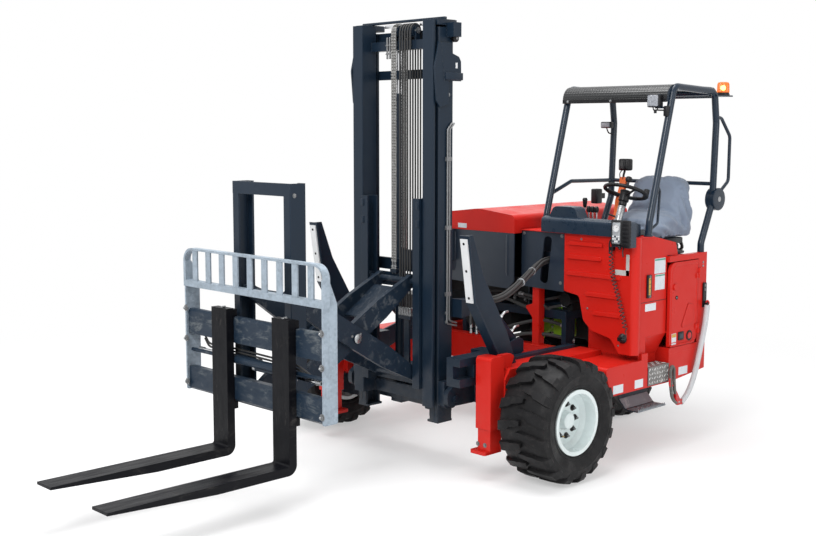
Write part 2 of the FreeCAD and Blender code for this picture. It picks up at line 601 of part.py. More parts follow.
def mast_outer():
    front = "axle_y - mast_front_fwd"
    back = "axle_y - mast_front_fwd + mast_deep"
    channel = prism("outer_channel", "XY",
                    [("mast_half", front), ("mast_half", back), ("mast_lip", back),
                     ("mast_lip", back + " - mast_flange"),
                     ("mast_half - mast_web", back + " - mast_flange"),
                     ("mast_half - mast_web", front + " + mast_flange"),
                     ("mast_lip", front + " + mast_flange"), ("mast_lip", front)],
                    "mast_low", "mast_top", {0: 8, 1: 8})
    lug = prism("outer_lug", "YZ",
                [("axle_y - pivot_fwd - 62", "pivot_z - 70"), ("axle_y - pivot_fwd + 60", "pivot_z - 70"),
                 ("axle_y - pivot_fwd + 60", "pivot_z + 110"),
                 ("axle_y - pivot_fwd - 62", "pivot_z + 110")],
                "mast_half", "mast_half + 55", {0: 45, 1: 45})
    pin = rod("outer_pin", "X", "pin_radius", "mast_half + 50",
              "mast_half + 55 + gap + arm_thick + 10", ("axle_y - pivot_fwd", "pivot_z"))
    foot = box("outer_foot", ("mast_lip - 20", "mast_half"), (front, back),
               ("mast_low", "mast_low + 14"))
    ear = prism("outer_ear", "YZ",
                [(back + " - 5", "tilt_high_z - 60"), ("axle_y - tilt_high_fwd + 12", "tilt_high_z - 34"),
                 ("axle_y - tilt_high_fwd + 34", "tilt_high_z"),
                 ("axle_y - tilt_high_fwd + 12", "tilt_high_z + 34"),
                 (back + " - 5", "tilt_high_z + 60")],
                "mast_half - 20", "tilt_x - tilt_eye / 2 - 3")
    ear_pin = rod("outer_ear_pin", "X", "14", "mast_half", "tilt_x + tilt_eye / 2 + 8",
                  ("axle_y - tilt_high_fwd", "tilt_high_z"))
    head = prism("outer_head", "YZ",
                 [(front + " - 30", "mast_top - 460"), (front, "mast_top - 500"),
                  (front + " + 80", "mast_top - 480"), (front + " + 80", "mast_top - 130"),
                  (front + " - 10", "mast_top - 90"), (front + " - 48", "mast_top - 250")],
                 "mast_half", "mast_half + 12", {5: 60})
    top_lug = box("outer_top_lug", ("mast_half - mast_web", "mast_half + 60"),
                  (back + " - 60", back + " + 10"), ("mast_top - 60", "mast_top + 30"))
    side = fuse("outer_side", [channel, lug, pin, foot, ear, ear_pin, head, top_lug])
    node("mast_outer", both("mast_outer", side))
    bars = []
    for name, low, high in (("top", "mast_top - 75", "mast_top"),
                            ("mid", "mid_bar_z", "mid_bar_z + bar_high"),
                            ("low", "mast_low + 60", "mast_low + 150"),
                            ("waist", "return_low - 150", "return_low - 70")):
        bars.append(box("outer_bar_" + name, ("-(mast_half - mast_web - 1)", "mast_half - mast_web - 1"),
                        (back, back + " + bar_deep"), (low, high)))
    return_lug = box("return_lug", ("-70", "130"), (back + " - 25", back + " + 5"),
                     ("return_low - 100", "return_low"))
    waist = fuse("outer_waist", [bars.pop(), return_lug])
    node("mast_bars", group("mast_bars", bars + [waist]))


def mast_inner():
    front = "axle_y - inner_front_fwd"
    web_out = "inner_web_in + inner_web"
    tail_back = front + " + inner_deep"
    section = prism("inner_section", "XY",
                    [("inner_web_in", front), ("inner_face_out", front),
                     ("inner_face_out", front + " + inner_face"),
                     (web_out, front + " + inner_face"), (web_out, tail_back + " - inner_tail"),
                     ("mast_half - mast_web - gap", tail_back + " - inner_tail"),
                     ("mast_half - mast_web - gap", tail_back), ("inner_web_in", tail_back)],
                    "inner_low", "inner_top", {0: 6, 1: 6})
    pulley_y = "axle_y - pulley_fwd"
    bars = [box("inner_bar_top", ("-(inner_web_in + 5)", "inner_web_in + 5"),
                (pulley_y + " - 26", pulley_y + " + 34"), ("inner_top - 170", "inner_top - 110")),
            box("inner_bar_low", ("-(inner_web_in + 5)", "inner_web_in + 5"),
                (tail_back + " - bar_deep", tail_back), ("inner_low", "inner_low + 80"))]
    node("mast_inner", fuse("mast_inner", [section, mirror("inner_section_far", section)] + bars
                            + chain_gear()))


def chain_gear():
    """Pulleys over the inner mast's top bar, and the chains and hoses that run over them."""
    z = "inner_top - 50"
    y = "axle_y - pulley_fwd"
    hose_span = "4 * hose_pitch + 2 * hose_radius"
    hose_out = "hose_start + hose_radius - 2 * hose_radius"
    wheels_up = [rod("pulley_chain", "X", "pulley_radius", "-70", "-20", (y, z)),
                 rod("pulley_hose", "X", "pulley_radius", hose_out, hose_out + " + " + hose_span,
                     (y, z)),
                 rod("pulley_pin", "X", "12", "-90", "145", (y, z))]
    for name, x0 in (("a", "-86"), ("b", "-12"), ("c", hose_out + " + %s + 5" % hose_span)):
        wheels_up.append(box("pulley_ear_" + name, (x0, x0 + " + 10"), (y + " - 20", y + " + 20"),
                             ("inner_top - 115", z + " + 20")))
    ahead = y + " - pulley_radius - chain_thick"
    behind = y + " + pulley_radius"
    runs = []
    returns = []
    for name, x0, x1 in (("near", "-42", "-24"), ("far", "-66", "-48")):
        runs.append(box("chain_" + name, (x0, x1), (ahead, ahead + " + chain_thick"),
                        ("chain_low", z)))
        returns.append(box("chain_back_" + name, (x0, x1), (behind, behind + " + chain_thick"),
                           ("return_low", z)))
    node("lift_chains", group("lift_chains", runs))
    hoses = []
    for i in range(5):
        x = "hose_start + %d * hose_pitch" % i
        off = "(pulley_radius + hose_radius + slide_gap)"
        hoses.append(rod("hose_front_%d" % i, "Z", "hose_radius", "hose_low", z, (x, y + " - " + off)))
        returns.append(rod("hose_back_%d" % i, "Z", "hose_radius", "return_low", z,
                           (x, y + " + " + off)))
    node("mast_hoses", group("mast_hoses", hoses))
    node("mast_returns", group("mast_returns", returns))
    return wheels_up


def lift_cylinders():
    back = "axle_y - cylinder_fwd"
    barrel = rod("lift_barrel", "Z", "cylinder_radius", "cylinder_low", "cylinder_top",
                 ("cylinder_x", back))
    bore = rod("lift_bore", "Z", "ram_radius + fit_gap", "cylinder_low + 40", "cylinder_top + 5",
               ("cylinder_x", back))
    foot = box("lift_foot", ("cylinder_x - 50", "cylinder_x + 50"),
               ("axle_y - mast_front_fwd + mast_deep + bar_deep", back + " + 34"),
               ("cylinder_low - 10", "cylinder_low + 25"))
    node("lift_barrels", both("lift_barrels", cut("lift_barrel_cut", fuse("lift_barrel_all",
                                                                         [barrel, foot]), bore)))
    ram = rod("lift_ram", "Z", "ram_radius", "cylinder_low + 60", "inner_top - 20",
              ("cylinder_x", back))
    cap = box("lift_cap", ("cylinder_x - 34", "cylinder_x + 34"),
              ("axle_y - inner_front_fwd + inner_deep", back + " + 30"),
              ("inner_top - 20", "inner_top"))
    node("lift_rams", both("lift_rams", fuse("lift_ram_all", [ram, cap])))


def lift_frame():
    """The tall frame that rides inside the inner mast and carries the reach arms."""
    front = "axle_y - lift_front_fwd"
    back = front + " + lift_deep"
    channel = prism("lift_channel", "XY",
                    [("lift_half", front), ("lift_half", back), ("lift_lip", back),
                     ("lift_lip", back + " - lift_flange"),
                     ("lift_half - lift_web", back + " - lift_flange"),
                     ("lift_half - lift_web", front + " + lift_flange"),
                     ("lift_lip", front + " + lift_flange"), ("lift_lip", front)],
                    "lift_low", "lift_top")
    seat = prism("root_lug", "YZ",
                 [(front, "lift_low"), (back, "lift_low"), (back, "root_z + 60"),
                  (front, "root_z + 60")], "lift_lip - 2", "lift_half - 2")
    pads = [box("lift_pad_" + name, ("lift_half - 2", "inner_web_in - slide_gap"),
                (front + " + 30", back + " - 20"), (low, high))
            for name, low, high in (("low", "lift_low + 30", "lift_low + 110"),
                                    ("high", "1180", "1260"))]
    side = fuse("lift_side", [channel, seat] + pads)
    bar_back = back + " + 14"
    bar_front = back + " + 14 - lift_bar"
    lug_front = "axle_y - run_fwd - 10"
    across = ("-(lift_lip + 30)", "lift_lip + 30")
    bars = [box("lift_bar_low", across, (bar_front, bar_back), ("lift_low", "lift_low + 110")),
            box("lift_bar_mid", across, (bar_front, bar_back),
                ("lift_bar_z", "lift_bar_z + lift_bar_high")),
            box("chain_lug", ("-74", "-16"), (lug_front, bar_back),
                ("chain_low - 25", "chain_low")),
            box("chain_lug_web", ("-60", "-30"), (bar_front, bar_back),
                ("lift_bar_z + lift_bar_high - 5", "chain_low - 10")),
            box("hose_lug", ("hose_start - hose_radius", "hose_start + 4 * hose_pitch + hose_radius"),
                (lug_front, bar_back), ("hose_low - 25", "hose_low")),
            box("hose_web", ("hose_start + hose_pitch", "hose_start + 3 * hose_pitch"),
                (bar_front, bar_back), ("lift_low + 100", "hose_low - 10"))]
    root_pin = rod("root_pin", "X", "boss_pin", "-(lift_half - 4)", "lift_half - 4",
                   ("axle_y - root_fwd", "root_z"))
    node("lift_frame", fuse("lift_frame", [side, mirror("lift_side_far", side), root_pin] + bars))


# ---------------------------------------------------------------------------
# Scissor reach
# ---------------------------------------------------------------------------
def blade(label, ends, low, high, holes):
    """One flat arm: wide at its middle, with a boss round each pin and a hole through it."""
    (y0, z0), (y1, z1) = ends
    run = "((%s) - (%s))" % (y1, y0)
    rise = "((%s) - (%s))" % (z1, z0)
    long = "sqrt(%s ^ 2 + %s ^ 2)" % (run, rise)

    def off(t, side, wide):
        """A point a share of the way along and half a width to one side."""
        y = "%s + %s * %s %s (%s) / 2 * %s / %s" % (y0, run, t, "-" if side > 0 else "+", wide,
                                                   rise, long)
        z = "%s + %s * %s %s (%s) / 2 * %s / %s" % (z0, rise, t, "+" if side > 0 else "-", wide,
                                                   run, long)
        return (y, z)

    plate = prism(label, "YZ",
                  [off(0, -1, "blade_end"), off(0.25, -1, "blade_deep"),
                   off(0.75, -1, "blade_deep"), off(1, -1, "blade_end"), off(1, 1, "blade_end"),
                   off(0.75, 1, "blade_deep"), off(0.25, 1, "blade_deep"), off(0, 1, "blade_end")],
                  low, high)
    parts = [plate]
    tools = []
    for i, ((y, z), hole) in enumerate(zip(((y0, z0), ("(%s + %s) / 2" % (y0, y1),
                                                      "(%s + %s) / 2" % (z0, z1)), (y1, z1)), holes)):
        parts.append(rod("%s_boss%d" % (label, i), "X", "boss_radius" if i == 1 else "end_radius",
                         low, high, (y, z)))
        if hole:
            tools.append(rod("%s_hole%d" % (label, i), "X", hole, low + " - 5", high + " + 5",
                             (y, z)))
    return parts, tools


def pins():
    root = ("axle_y - root_fwd", "root_z")
    slide = ("axle_y - root_fwd", "root_z + 2 * half_rise")
    foot = ("axle_y - root_fwd - 2 * half_span", "root_z")
    head = ("axle_y - root_fwd - 2 * half_span", "root_z + 2 * half_rise")
    centre = ("axle_y - root_fwd - half_span", "root_z + half_rise")
    return root, slide, foot, head, centre


def arms():
    root, slide, foot, head, centre = pins()
    hole = "boss_pin + fit_gap"
    # the outer pair: pinned low on the lift frame, rolling high in the front frame
    out = "outer_blade - gap"
    parts, tools = blade("arm_b_blade", (root, head), out + " - blade_thick", out,
                         (hole, "", ""))
    roller = rod("arm_b_roller", "X", "roller_radius", "outer_blade + 4",
                 "portal_half - 14 - 4", head)
    axle = rod("arm_b_axle", "X", "18", out + " - 4", "outer_blade + 10", head)
    boss = rod("arm_b_pin", "X", "boss_pin", "60", out + " + 14", centre)
    side = fuse("arm_b_side", parts + [roller, axle, boss])
    for tool in tools:
        side = cut(tool.Name + "_cut", side, tool)
    tube = rod("arm_b_tube", "X", "24", "-(outer_blade - gap - 4)", "outer_blade - gap - 4", head)
    node("arm_b", fuse("arm_b", [side, mirror("arm_b_far", side), tube]))
    # the inner pair: pinned at the foot of the front frame, rolling high in the lift frame
    out_a = "outer_blade - gap - blade_thick - blade_gap"
    parts, tools = blade("arm_a_blade", (foot, slide), out_a + " - blade_thick", out_a,
                         (hole, hole, ""))
    roller = rod("arm_a_roller", "X", "roller_radius - 4", "lift_lip + 4",
                 "lift_half - lift_web - 4", slide)
    axle = rod("arm_a_axle", "X", "18", out_a + " - 4", "lift_lip + 10", slide)
    side = fuse("arm_a_side", parts + [roller, axle])
    for tool in tools:
        side = cut(tool.Name + "_cut", side, tool)
    tube = rod("arm_a_tube", "X", "20", "-(%s - 4)" % out_a, out_a + " - 4", slide)
    web = prism("arm_a_web", "YZ",
                [("axle_y - root_fwd - half_span + 190", "root_z + half_rise + 95"),
                 ("axle_y - root_fwd - half_span + 200", "root_z + half_rise + 85"),
                 ("axle_y - root_fwd - 60", "root_z + 2 * half_rise - 70"),
                 ("axle_y - root_fwd - 70", "root_z + 2 * half_rise - 40")],
                "-(%s - 4)" % out_a, out_a + " - 4")
    node("arm_a", fuse("arm_a", [side, mirror("arm_a_far", side), tube, web]))


def reach_frame():
    root, slide, foot, head, centre = pins()
    front = "axle_y - portal_front_fwd"
    back = front + " + portal_deep"
    channel = prism("portal_channel", "XY",
                    [("portal_half", front), ("portal_half", back), ("portal_half - 60", back),
                     ("portal_half - 60", back + " - 14"), ("portal_half - 14", back + " - 14"),
                     ("portal_half - 14", front + " + 14"), ("portal_half - 60", front + " + 14"),
                     ("portal_half - 60", front)],
                    "portal_low", "portal_top", {0: 6, 1: 6})
    block = box("portal_foot", ("portal_half - 60", "portal_half - 2"), (front, back),
                ("portal_low", "root_z + 62"))
    side = fuse("portal_side", [channel, block])
    bars = [box("portal_top_bar", ("-(portal_half - 2)", "portal_half - 2"), (front, front + " + 16"),
                ("portal_top - portal_bar", "portal_top")),
            box("portal_low_bar", ("-(portal_half - 50)", "portal_half - 50"),
                (front, front + " + 16"), ("portal_low", "portal_low + 50"))]
    pin = rod("portal_pin", "X", "boss_pin", "-(portal_half - 4)", "portal_half - 4", foot)
    for name, low, high in (("rail_low", "low_bar_z + 20", "low_bar_z + 90"),
                            ("rail_top", "top_bar_z + 30", "top_bar_z + 110")):
        bars.append(box("portal_" + name, ("-(portal_half + 60)", "portal_half + 60"),
                        ("axle_y - bar_front_fwd + bar_thick + slide_gap", front + " + 2"),
                        (low, high)))
    node("reach_frame", fuse("reach_frame", [side, mirror("portal_side_far", side), pin] + bars))


# ---------------------------------------------------------------------------
# Fork carriage and forks
# ---------------------------------------------------------------------------
def carriage():
    front = "axle_y - bar_front_fwd"
    back = front + " + bar_thick"
    low = prism("bar_low", "YZ", [(front, "low_bar_z + 14"), (front + " + 14", "low_bar_z"),
                                  (back, "low_bar_z"), (back, "low_bar_z + low_bar_high"),
                                  (front, "low_bar_z + low_bar_high")],
                "-bar_half", "bar_half")
    top = prism("bar_top", "YZ", [(front, "top_bar_z"), (back, "top_bar_z"),
                                  (back, "top_bar_z + top_bar_high"),
                                  (front + " + 14", "top_bar_z + top_bar_high"),
                                  (front, "top_bar_z + top_bar_high - 14")],
                "-bar_half", "bar_half")
    posts = []
    for name, x in (("near", "portal_half + 60"), ("far", "-portal_half - 90")):
        posts.append(box("carriage_post_" + name, (x, x + " + 30"), (front + " + 8", back),
                         ("low_bar_z + 10", "top_bar_z + 20")))
    cylinder = rod("position_cylinder", "X", "26", "-360", "360", (front + " + 26",
                                                                  "low_bar_z + 255"))
    shaft = rod("position_rod", "X", "12", "-bar_half + 4", "bar_half - 4",
                (front + " + 26", "low_bar_z + 255"))
    node("fork_carriage", fuse("fork_carriage", [low, top, cylinder, shaft] + posts))


def backrest():
    front = "axle_y - bar_front_fwd - 16"
    side = prism("rest_plate", "YZ",
                 [(front, "low_bar_z"), (front + " + rest_side_deep", "low_bar_z"),
                  (front + " + rest_side_deep", "rest_mid + 20"),
                  (front + " + rest_tube", "rest_top - rest_round"), (front, "rest_top - rest_round")],
                 "bar_half", "bar_half + rest_side", {0: 12, 1: 12, 3: 12})
    frame = prism("rest_frame", "XZ",
                  [("-(rest_half)", "rest_mid"), ("rest_half", "rest_mid"),
                   ("rest_half", "rest_top"), ("-(rest_half)", "rest_top")],
                  front, front + " + rest_tube", {2: "rest_round", 3: "rest_round"})
    window = prism("rest_window", "XZ",
                   [("-(rest_half - 14)", "rest_mid + 40"), ("rest_half - 14", "rest_mid + 40"),
                    ("rest_half - 14", "rest_top - 14"), ("-(rest_half - 14)", "rest_top - 14")],
                   front + " - 5", front + " + rest_tube + 5",
                   {2: "rest_round - 14", 3: "rest_round - 14"})
    frame = cut("rest_frame_cut", frame, window)
    flats = []
    for i in range(int(SIZES["flat_count"])):
        x = "(%d - flat_count / 2) * (rest_half * 2 - 100) / flat_count - flat_wide / 2" % i
        x = x.replace("(%d - " % i, "(%.1f - " % (i + 0.5))
        flats.append(box("rest_flat_%d" % i, (x, x + " + flat_wide"), (front + " + 4", front + " + 14"),
                         ("rest_mid + 20", "rest_top - 8")))
    node("load_backrest", fuse("load_backrest", [side, mirror("rest_plate_far", side), frame]
                               + flats))


def fork(label, middle):
    front = "axle_y - fork_front_fwd"
    tip = "axle_y - fork_front_fwd - fork_long"
    outline = [(front + " + fork_thick", "shank_top"), (front, "shank_top"),
               (front, "fork_top_z"), (tip, "fork_top_z"),
               (tip, "fork_top_z - fork_tip"), (front + " - 500", "fork_top_z - fork_thick"),
               (front + " + fork_thick", "fork_top_z - fork_thick")]
    body = prism(label + "_blade", "YZ", outline, "%s - fork_wide / 2" % middle,
                 "%s + fork_wide / 2" % middle, {2: 14, 6: "fork_heel"})
    hook = box(label + "_hook", ("%s - fork_wide / 2 + 10" % middle, "%s + fork_wide / 2 - 10" % middle),
               (front + " + fork_thick - 4", front + " + fork_thick + 34"),
               ("top_bar_z + top_bar_high + slide_gap", "shank_top - 8"))
    lip = box(label + "_lip", ("%s - fork_wide / 2 + 10" % middle, "%s + fork_wide / 2 - 10" % middle),
              (front + " + fork_thick - 4", front + " + fork_thick + 34"),
              ("low_bar_z - 50", "low_bar_z - 4"))
    return node(label, fuse(label, [body, hook, lip]))


def forks():
    fork("fork_left", "fork_near")
    fork("fork_right", "-fork_far")


# ---------------------------------------------------------------------------
# Left body and cab
# ---------------------------------------------------------------------------
def body_left():
    """The driver's side bodywork: ribbed front, round corner, sides round the door, deck."""
    front = "axle_y + body_front_aft"
    end = "axle_y + body_end_aft"
    corner_mid = "body_out - body_corner / 2"
    face = prism("body_face", "XZ",
                 [("body_in", "1085"), ("body_in + 130", "1065"), ("body_in + 170", "900"),
                  ("body_in + 240", "835"), ("body_in + 400", "800"), ("body_in + 470", "body_low"),
                  ("body_out - body_corner + 5", "body_low"), ("body_out - body_corner + 5", "body_top"),
                  ("body_in", "body_top")],
                 front, front + " + body_wall",
                 {0: 25, 1: 30, 2: 40, 4: 50})
    back = front + " + body_corner"
    corner_in = "body_out - body_corner"
    outer_round, inner_round = "body_corner / 2 - 1", "body_corner / 2 - body_wall - 1"
    corner = prism("body_corner_post", "XY",
                   [(corner_in, front), ("body_out", front), ("body_out", back), (corner_in, back),
                    (corner_in, back + " - body_wall"), ("body_out - body_wall", back + " - body_wall"),
                    ("body_out - body_wall", front + " + body_wall"),
                    (corner_in, front + " + body_wall")],
                   "body_low", "body_top", {1: outer_round, 2: outer_round, 5: inner_round,
                                            6: inner_round})
    corner_cap = rod("body_corner_cap", "Z", "body_corner / 2 - 3", "body_top - body_wall",
                     "body_top", (corner_mid, front + " + body_corner / 2"))
    shelf = box("body_shelf", ("hood_in + 12", corner_mid), (front, "axle_y + post_foot_aft + 40"),
                ("body_top - body_wall", "body_top"))
    shelf_end = box("body_shelf_end", (corner_mid + " - 5", "body_out - 4"),
                    (front + " + body_corner / 2", "axle_y + post_foot_aft + 40"),
                    ("body_top - body_wall", "body_top"))
    side_front = box("body_side_front", ("body_out - side_recess - body_wall",
                                         "body_out - side_recess"),
                     (front + " + body_corner - body_wall - 2", "axle_y + door_front_aft - door_gap"),
                     ("beam_top", "deck_z + 72"))
    side_back = box("body_side_back", ("body_out - body_wall", "body_out"),
                    ("axle_y + door_back_aft + door_gap", end), ("beam_top", "deck_z + 40"))
    sill = box("body_sill", ("body_out - 120", "body_out"),
               (front + " + body_corner", end), ("beam_top", "door_low - door_gap"))
    step_y = ("axle_y + step_start_aft", "axle_y + step_end_aft")
    well = prism("body_foot_well", "XZ",
                 [("beam_out - step_deep", "beam_top - 5"), ("beam_out + 5", "beam_top - 5"),
                  ("beam_out + 5", "well_top"), ("body_out - side_recess - body_wall", "well_top")],
                 step_y[0], step_y[1])
    board = prism("body_foot_board", "XZ",
                  [("beam_out - step_deep - 8", "beam_top"), ("beam_out - step_deep + 6", "beam_top"),
                   ("body_out - side_recess - 1", "well_top - 4"),
                   ("body_out - side_recess - 1", "well_top + 12")], step_y[0], step_y[1])
    over = box("body_over_door", ("body_out - 40", "body_out"),
               ("axle_y + door_front_aft - door_gap - 4", end + " - 60"), ("deck_z", "deck_z + 40"))
    deck = box("body_deck", ("dash_in - 20", "body_out - door_thick - door_gap"),
               (front + " + 150", end), ("deck_z", "deck_top"))
    inner = box("body_inner", ("beam_in", "beam_in + body_wall"), (front + " + 150", end),
                ("beam_top", "deck_z + 2"))
    rear = box("body_rear", ("beam_in", "body_out - 2"), (end + " - body_wall", end),
               ("beam_top", "deck_top"))
    bulk = box("body_bulk", ("beam_in", "body_out - side_recess - 2"),
               (front + " + 150", front + " + 150 + body_wall"), ("beam_top", "deck_top"))
    stay = box("body_stay", ("body_in", "body_in + body_wall"), (front + " + 2", front + " + 155"),
               ("1085", "body_top - 2"))
    cheek = prism("body_cheek", "YZ",
                  [(front + " + body_corner - body_wall - 2", "deck_z + 70"),
                   (end + " - 330", "deck_z + 38"), (end + " - 360", "body_top - 60"),
                   ("axle_y + post_foot_aft + 40", "body_top"),
                   (front + " + body_corner - body_wall - 2", "body_top")],
                  "body_out - side_recess - body_wall", "body_out - side_recess")
    tail_stand = box("body_tail_stand", ("dash_in - 20", "beam_in + 5"),
                     (end + " - body_wall", end), ("spine_top + gap", "deck_top"))
    ribs = []
    for i, (x0, x1, z) in enumerate((("body_in + 35", "body_in + 330", "1425"),
                                     ("body_in + 30", "body_in + 320", "1330"),
                                     ("body_in + 25", "body_in + 480", "1215"),
                                     ("body_in + 190", "body_in + 470", "1085"),
                                     ("body_in + 250", "body_in + 480", "960"))):
        ribs.append(prism("body_rib_%d" % i, "XZ",
                          [(x0, z + " - rib_high / 2"), (x1, z + " - rib_high / 2"),
                           (x1, z + " + rib_high / 2"), (x0, z + " + rib_high / 2")],
                          front + " - rib_out", front + " + 2",
                          {0: "rib_high / 2 - 1", 1: "rib_high / 2 - 1", 2: "rib_high / 2 - 1",
                           3: "rib_high / 2 - 1"}))
    knuckles = [rod("door_knuckle_%d" % i, "Z", "door_hinge", low, high,
                    ("hinge_x", "axle_y + door_back_aft + door_gap / 2"))
                for i, (low, high) in enumerate((("door_low + 60", "door_low + 95"),
                                                 ("door_top - 95", "door_top - 60")))]
    leaf = box("door_leaf", ("body_out - 2", "hinge_x"),
               ("axle_y + door_back_aft + door_gap", "axle_y + door_back_aft + 34"),
               ("door_low + 60", "door_low + 95"))
    leaf_high = box("door_leaf_high", ("body_out - 2", "hinge_x"),
                    ("axle_y + door_back_aft + door_gap", "axle_y + door_back_aft + 34"),
                    ("door_top - 95", "door_top - 60"))
    whole = fuse("body_all", [face, corner, corner_cap, shelf, shelf_end, side_front, side_back, sill, over,
                              deck, inner, rear, bulk, stay, cheek, tail_stand, board] + ribs + knuckles
                 + [leaf, leaf_high])
    node("body_left", cut("body_left", whole, well))


def side_door():
    front, back = "axle_y + door_front_aft", "axle_y + door_back_aft"
    panel = prism("door_panel", "YZ",
                  [(front, "door_low"), (back + " - 30", "door_low"), (back, "door_low + 60"),
                   (back, "door_top"), (front, "door_top")],
                  "body_out - door_thick", "body_out + 2", {0: 12, 4: 60})
    catch = rod("door_catch", "X", "24", "body_out - 5", "body_out + 10",
                (front + " + 60", "door_top - 170"))
    hinge_y = back + " + door_gap / 2"
    knuckle = rod("door_middle_knuckle", "Z", "door_hinge", "door_low + 96", "door_low + 130",
                  ("hinge_x", hinge_y))
    knuckle_high = rod("door_high_knuckle", "Z", "door_hinge", "door_top - 130", "door_top - 96",
                       ("hinge_x", hinge_y))
    leaves = [box("door_side_leaf_%d" % i, ("body_out - 2", "hinge_x"),
                  (back + " - 28", back + " - 0.5"), (low, high))
              for i, (low, high) in enumerate((("door_low + 96", "door_low + 130"),
                                               ("door_top - 130", "door_top - 96")))]
    node("side_door", fuse("side_door", [panel, catch, knuckle, knuckle_high] + leaves))


def slot_plate():
    """The dark slotted panel between the bodywork and the engine side."""
    front = "axle_y + body_front_aft"
    plate = prism("slot_sheet", "XZ",
                  [("hood_in + 12", "1085"), ("body_in - 8", "1075"), ("body_in - 8", "body_top - body_wall"),
                   ("hood_in + 12", "body_top - body_wall")], front + " + 8", front + " + 20",
                  {0: 30})
    slot = prism("slot_hole", "XZ",
                 [("hood_in + 180", "1120"), ("hood_in + 250", "1120"), ("hood_in + 290", "body_top - 35"),
                  ("hood_in + 220", "body_top - 35")], front, front + " + 40",
                 {0: 30, 1: 30, 2: 30, 3: 30})
    wall = box("slot_side", ("hood_in + 12", "hood_in + 18"), (front + " + 10", front + " + 110"),
               ("1100", "body_top - body_wall"))
    shelf = box("slot_shelf", ("hood_in + 12", "430"), (front + " + 100", front + " + 110"),
                ("1240", "1335"))
    node("slot_plate", fuse("slot_plate", [cut("slot_cut", plate, slot), wall, shelf]))


def dash():
    front = "axle_y + body_front_aft"
    low = "body_top"
    inner, outer = "dash_in", "body_out - 60"
    bar = prism("dash_bar", "YZ",
                [(front + " - 30", low), (front + " + 130", low),
                 (front + " + 130", "dash_top - 30"), (front + " + 20", "dash_top"),
                 (front + " - 30", "dash_top - 10")], inner, outer, {3: 20, 4: 30})
    hump = prism("dash_hump", "XZ",
                 [(inner + " + 35", "dash_top - 20"), (inner + " + 300", "dash_top - 20"),
                  (inner + " + 260", "dash_top + 70"), (inner + " + 80", "dash_top + 70")],
                 front + " + 5", front + " + 115", {2: 50, 3: 50})
    floor = box("cab_floor", (inner, "body_out - 60"),
                (front + " + 160", "axle_y + body_end_aft - 90"),
                ("deck_top", "deck_top + 12"))
    skirt = box("dash_skirt", (inner + " + 10", "body_out - 100"),
                ("axle_y + post_foot_aft + 45", "axle_y + post_foot_aft + 57"),
                ("deck_top", low + " + 40"))
    skirt_top = box("dash_skirt_top", (inner + " + 10", "body_out - 100"),
                    (front + " + 100", "axle_y + post_foot_aft + 57"), (low + " + 5", low + " + 40"))
    stand = box("lever_stand", ("lever_x - 20", "lever_x + 120"),
                ("axle_y + post_foot_aft + 50", "axle_y + post_foot_aft + 150"),
                ("deck_top", low + " + 40"))
    gauge = prism("gauge_box", "XZ",
                  [("body_out - gauge_wide", low + " - 60"), ("body_out", low + " - 60"),
                   ("body_out", low + " + 110"), ("body_out - gauge_wide", low + " + 110")],
                  front + " - 62", front + " - 3", {2: 25, 3: 25})
    return [bar, hump, floor, skirt, skirt_top, stand, gauge]


def steering():
    mid = ("wheel_hand_x", "axle_y + wheel_hand_aft", "wheel_hand_z")
    rim_ring = doc.addObject("Part::Torus", "hand_rim")
    tie(rim_ring, "Radius1", "wheel_hand_radius")
    tie(rim_ring, "Radius2", "wheel_hand_rim")
    hub = doc.addObject("Part::Cylinder", "hand_hub")
    tie(hub, "Radius", "36")
    tie(hub, "Height", "60")
    hub.Placement.Base.z = -70
    pieces = [rim_ring, hub]
    for i in range(3):
        spoke = doc.addObject("Part::Cylinder", "hand_spoke_%d" % i)
        tie(spoke, "Radius", "8")
        tie(spoke, "Height", "wheel_hand_radius")
        turn = FreeCAD.Rotation(FreeCAD.Vector(0, 0, 1), 90 + 120 * i)
        lean = FreeCAD.Rotation(FreeCAD.Vector(0, 1, 0), 78)
        spoke.Placement = FreeCAD.Placement(FreeCAD.Vector(0, 0, -36), turn * lean)
        pieces.append(spoke)
    knob = doc.addObject("Part::Cylinder", "hand_knob")
    tie(knob, "Radius", "20")
    tie(knob, "Height", "60")
    tie(knob, "Placement.Base.y", "0.8 * wheel_hand_radius")
    tie(knob, "Placement.Base.x", "0.6 * wheel_hand_radius")
    pieces.append(knob)
    wheel = fuse("hand_wheel", pieces)
    holder = doc.addObject("Part::Compound", "hand_wheel_placed")
    holder.Links = [wheel]
    holder.Placement = FreeCAD.Placement(FreeCAD.Vector(),
                                         FreeCAD.Rotation(FreeCAD.Vector(-1, 0, 0), 20))
    for axis, spot in zip("xyz", mid):
        tie(holder, "Placement.Base." + axis, spot)
    tie(holder, "Placement.Rotation.Angle", "wheel_hand_tilt")
    node("steering_wheel", holder)
    column = doc.addObject("Part::Cylinder", "column_tube")
    lean = "wheel_hand_tilt * 1 deg"
    tie(column, "Radius", "column_radius")
    tie(column, "Height", "(wheel_hand_z - deck_top - 20) / cos(%s) - hub_drop" % lean)
    column.Placement = FreeCAD.Placement(FreeCAD.Vector(),
                                         FreeCAD.Rotation(FreeCAD.Vector(1, 0, 0), 150))
    tie(column, "Placement.Rotation.Angle", "180 - wheel_hand_tilt")
    tie(column, "Placement.Base.x", mid[0])
    tie(column, "Placement.Base.y", mid[1] + " - hub_drop * sin(%s)" % lean)
    tie(column, "Placement.Base.z", mid[2] + " - hub_drop * cos(%s)" % lean)
    foot_y = mid[1] + " - (wheel_hand_z - deck_top) * tan(%s)" % lean
    column_foot = box("column_foot", ("wheel_hand_x - 60", "wheel_hand_x + 60"),
                      (foot_y + " - 60", foot_y + " + 60"),
                      ("deck_top + 12", "deck_top + 60"))
    return [column, column_foot]


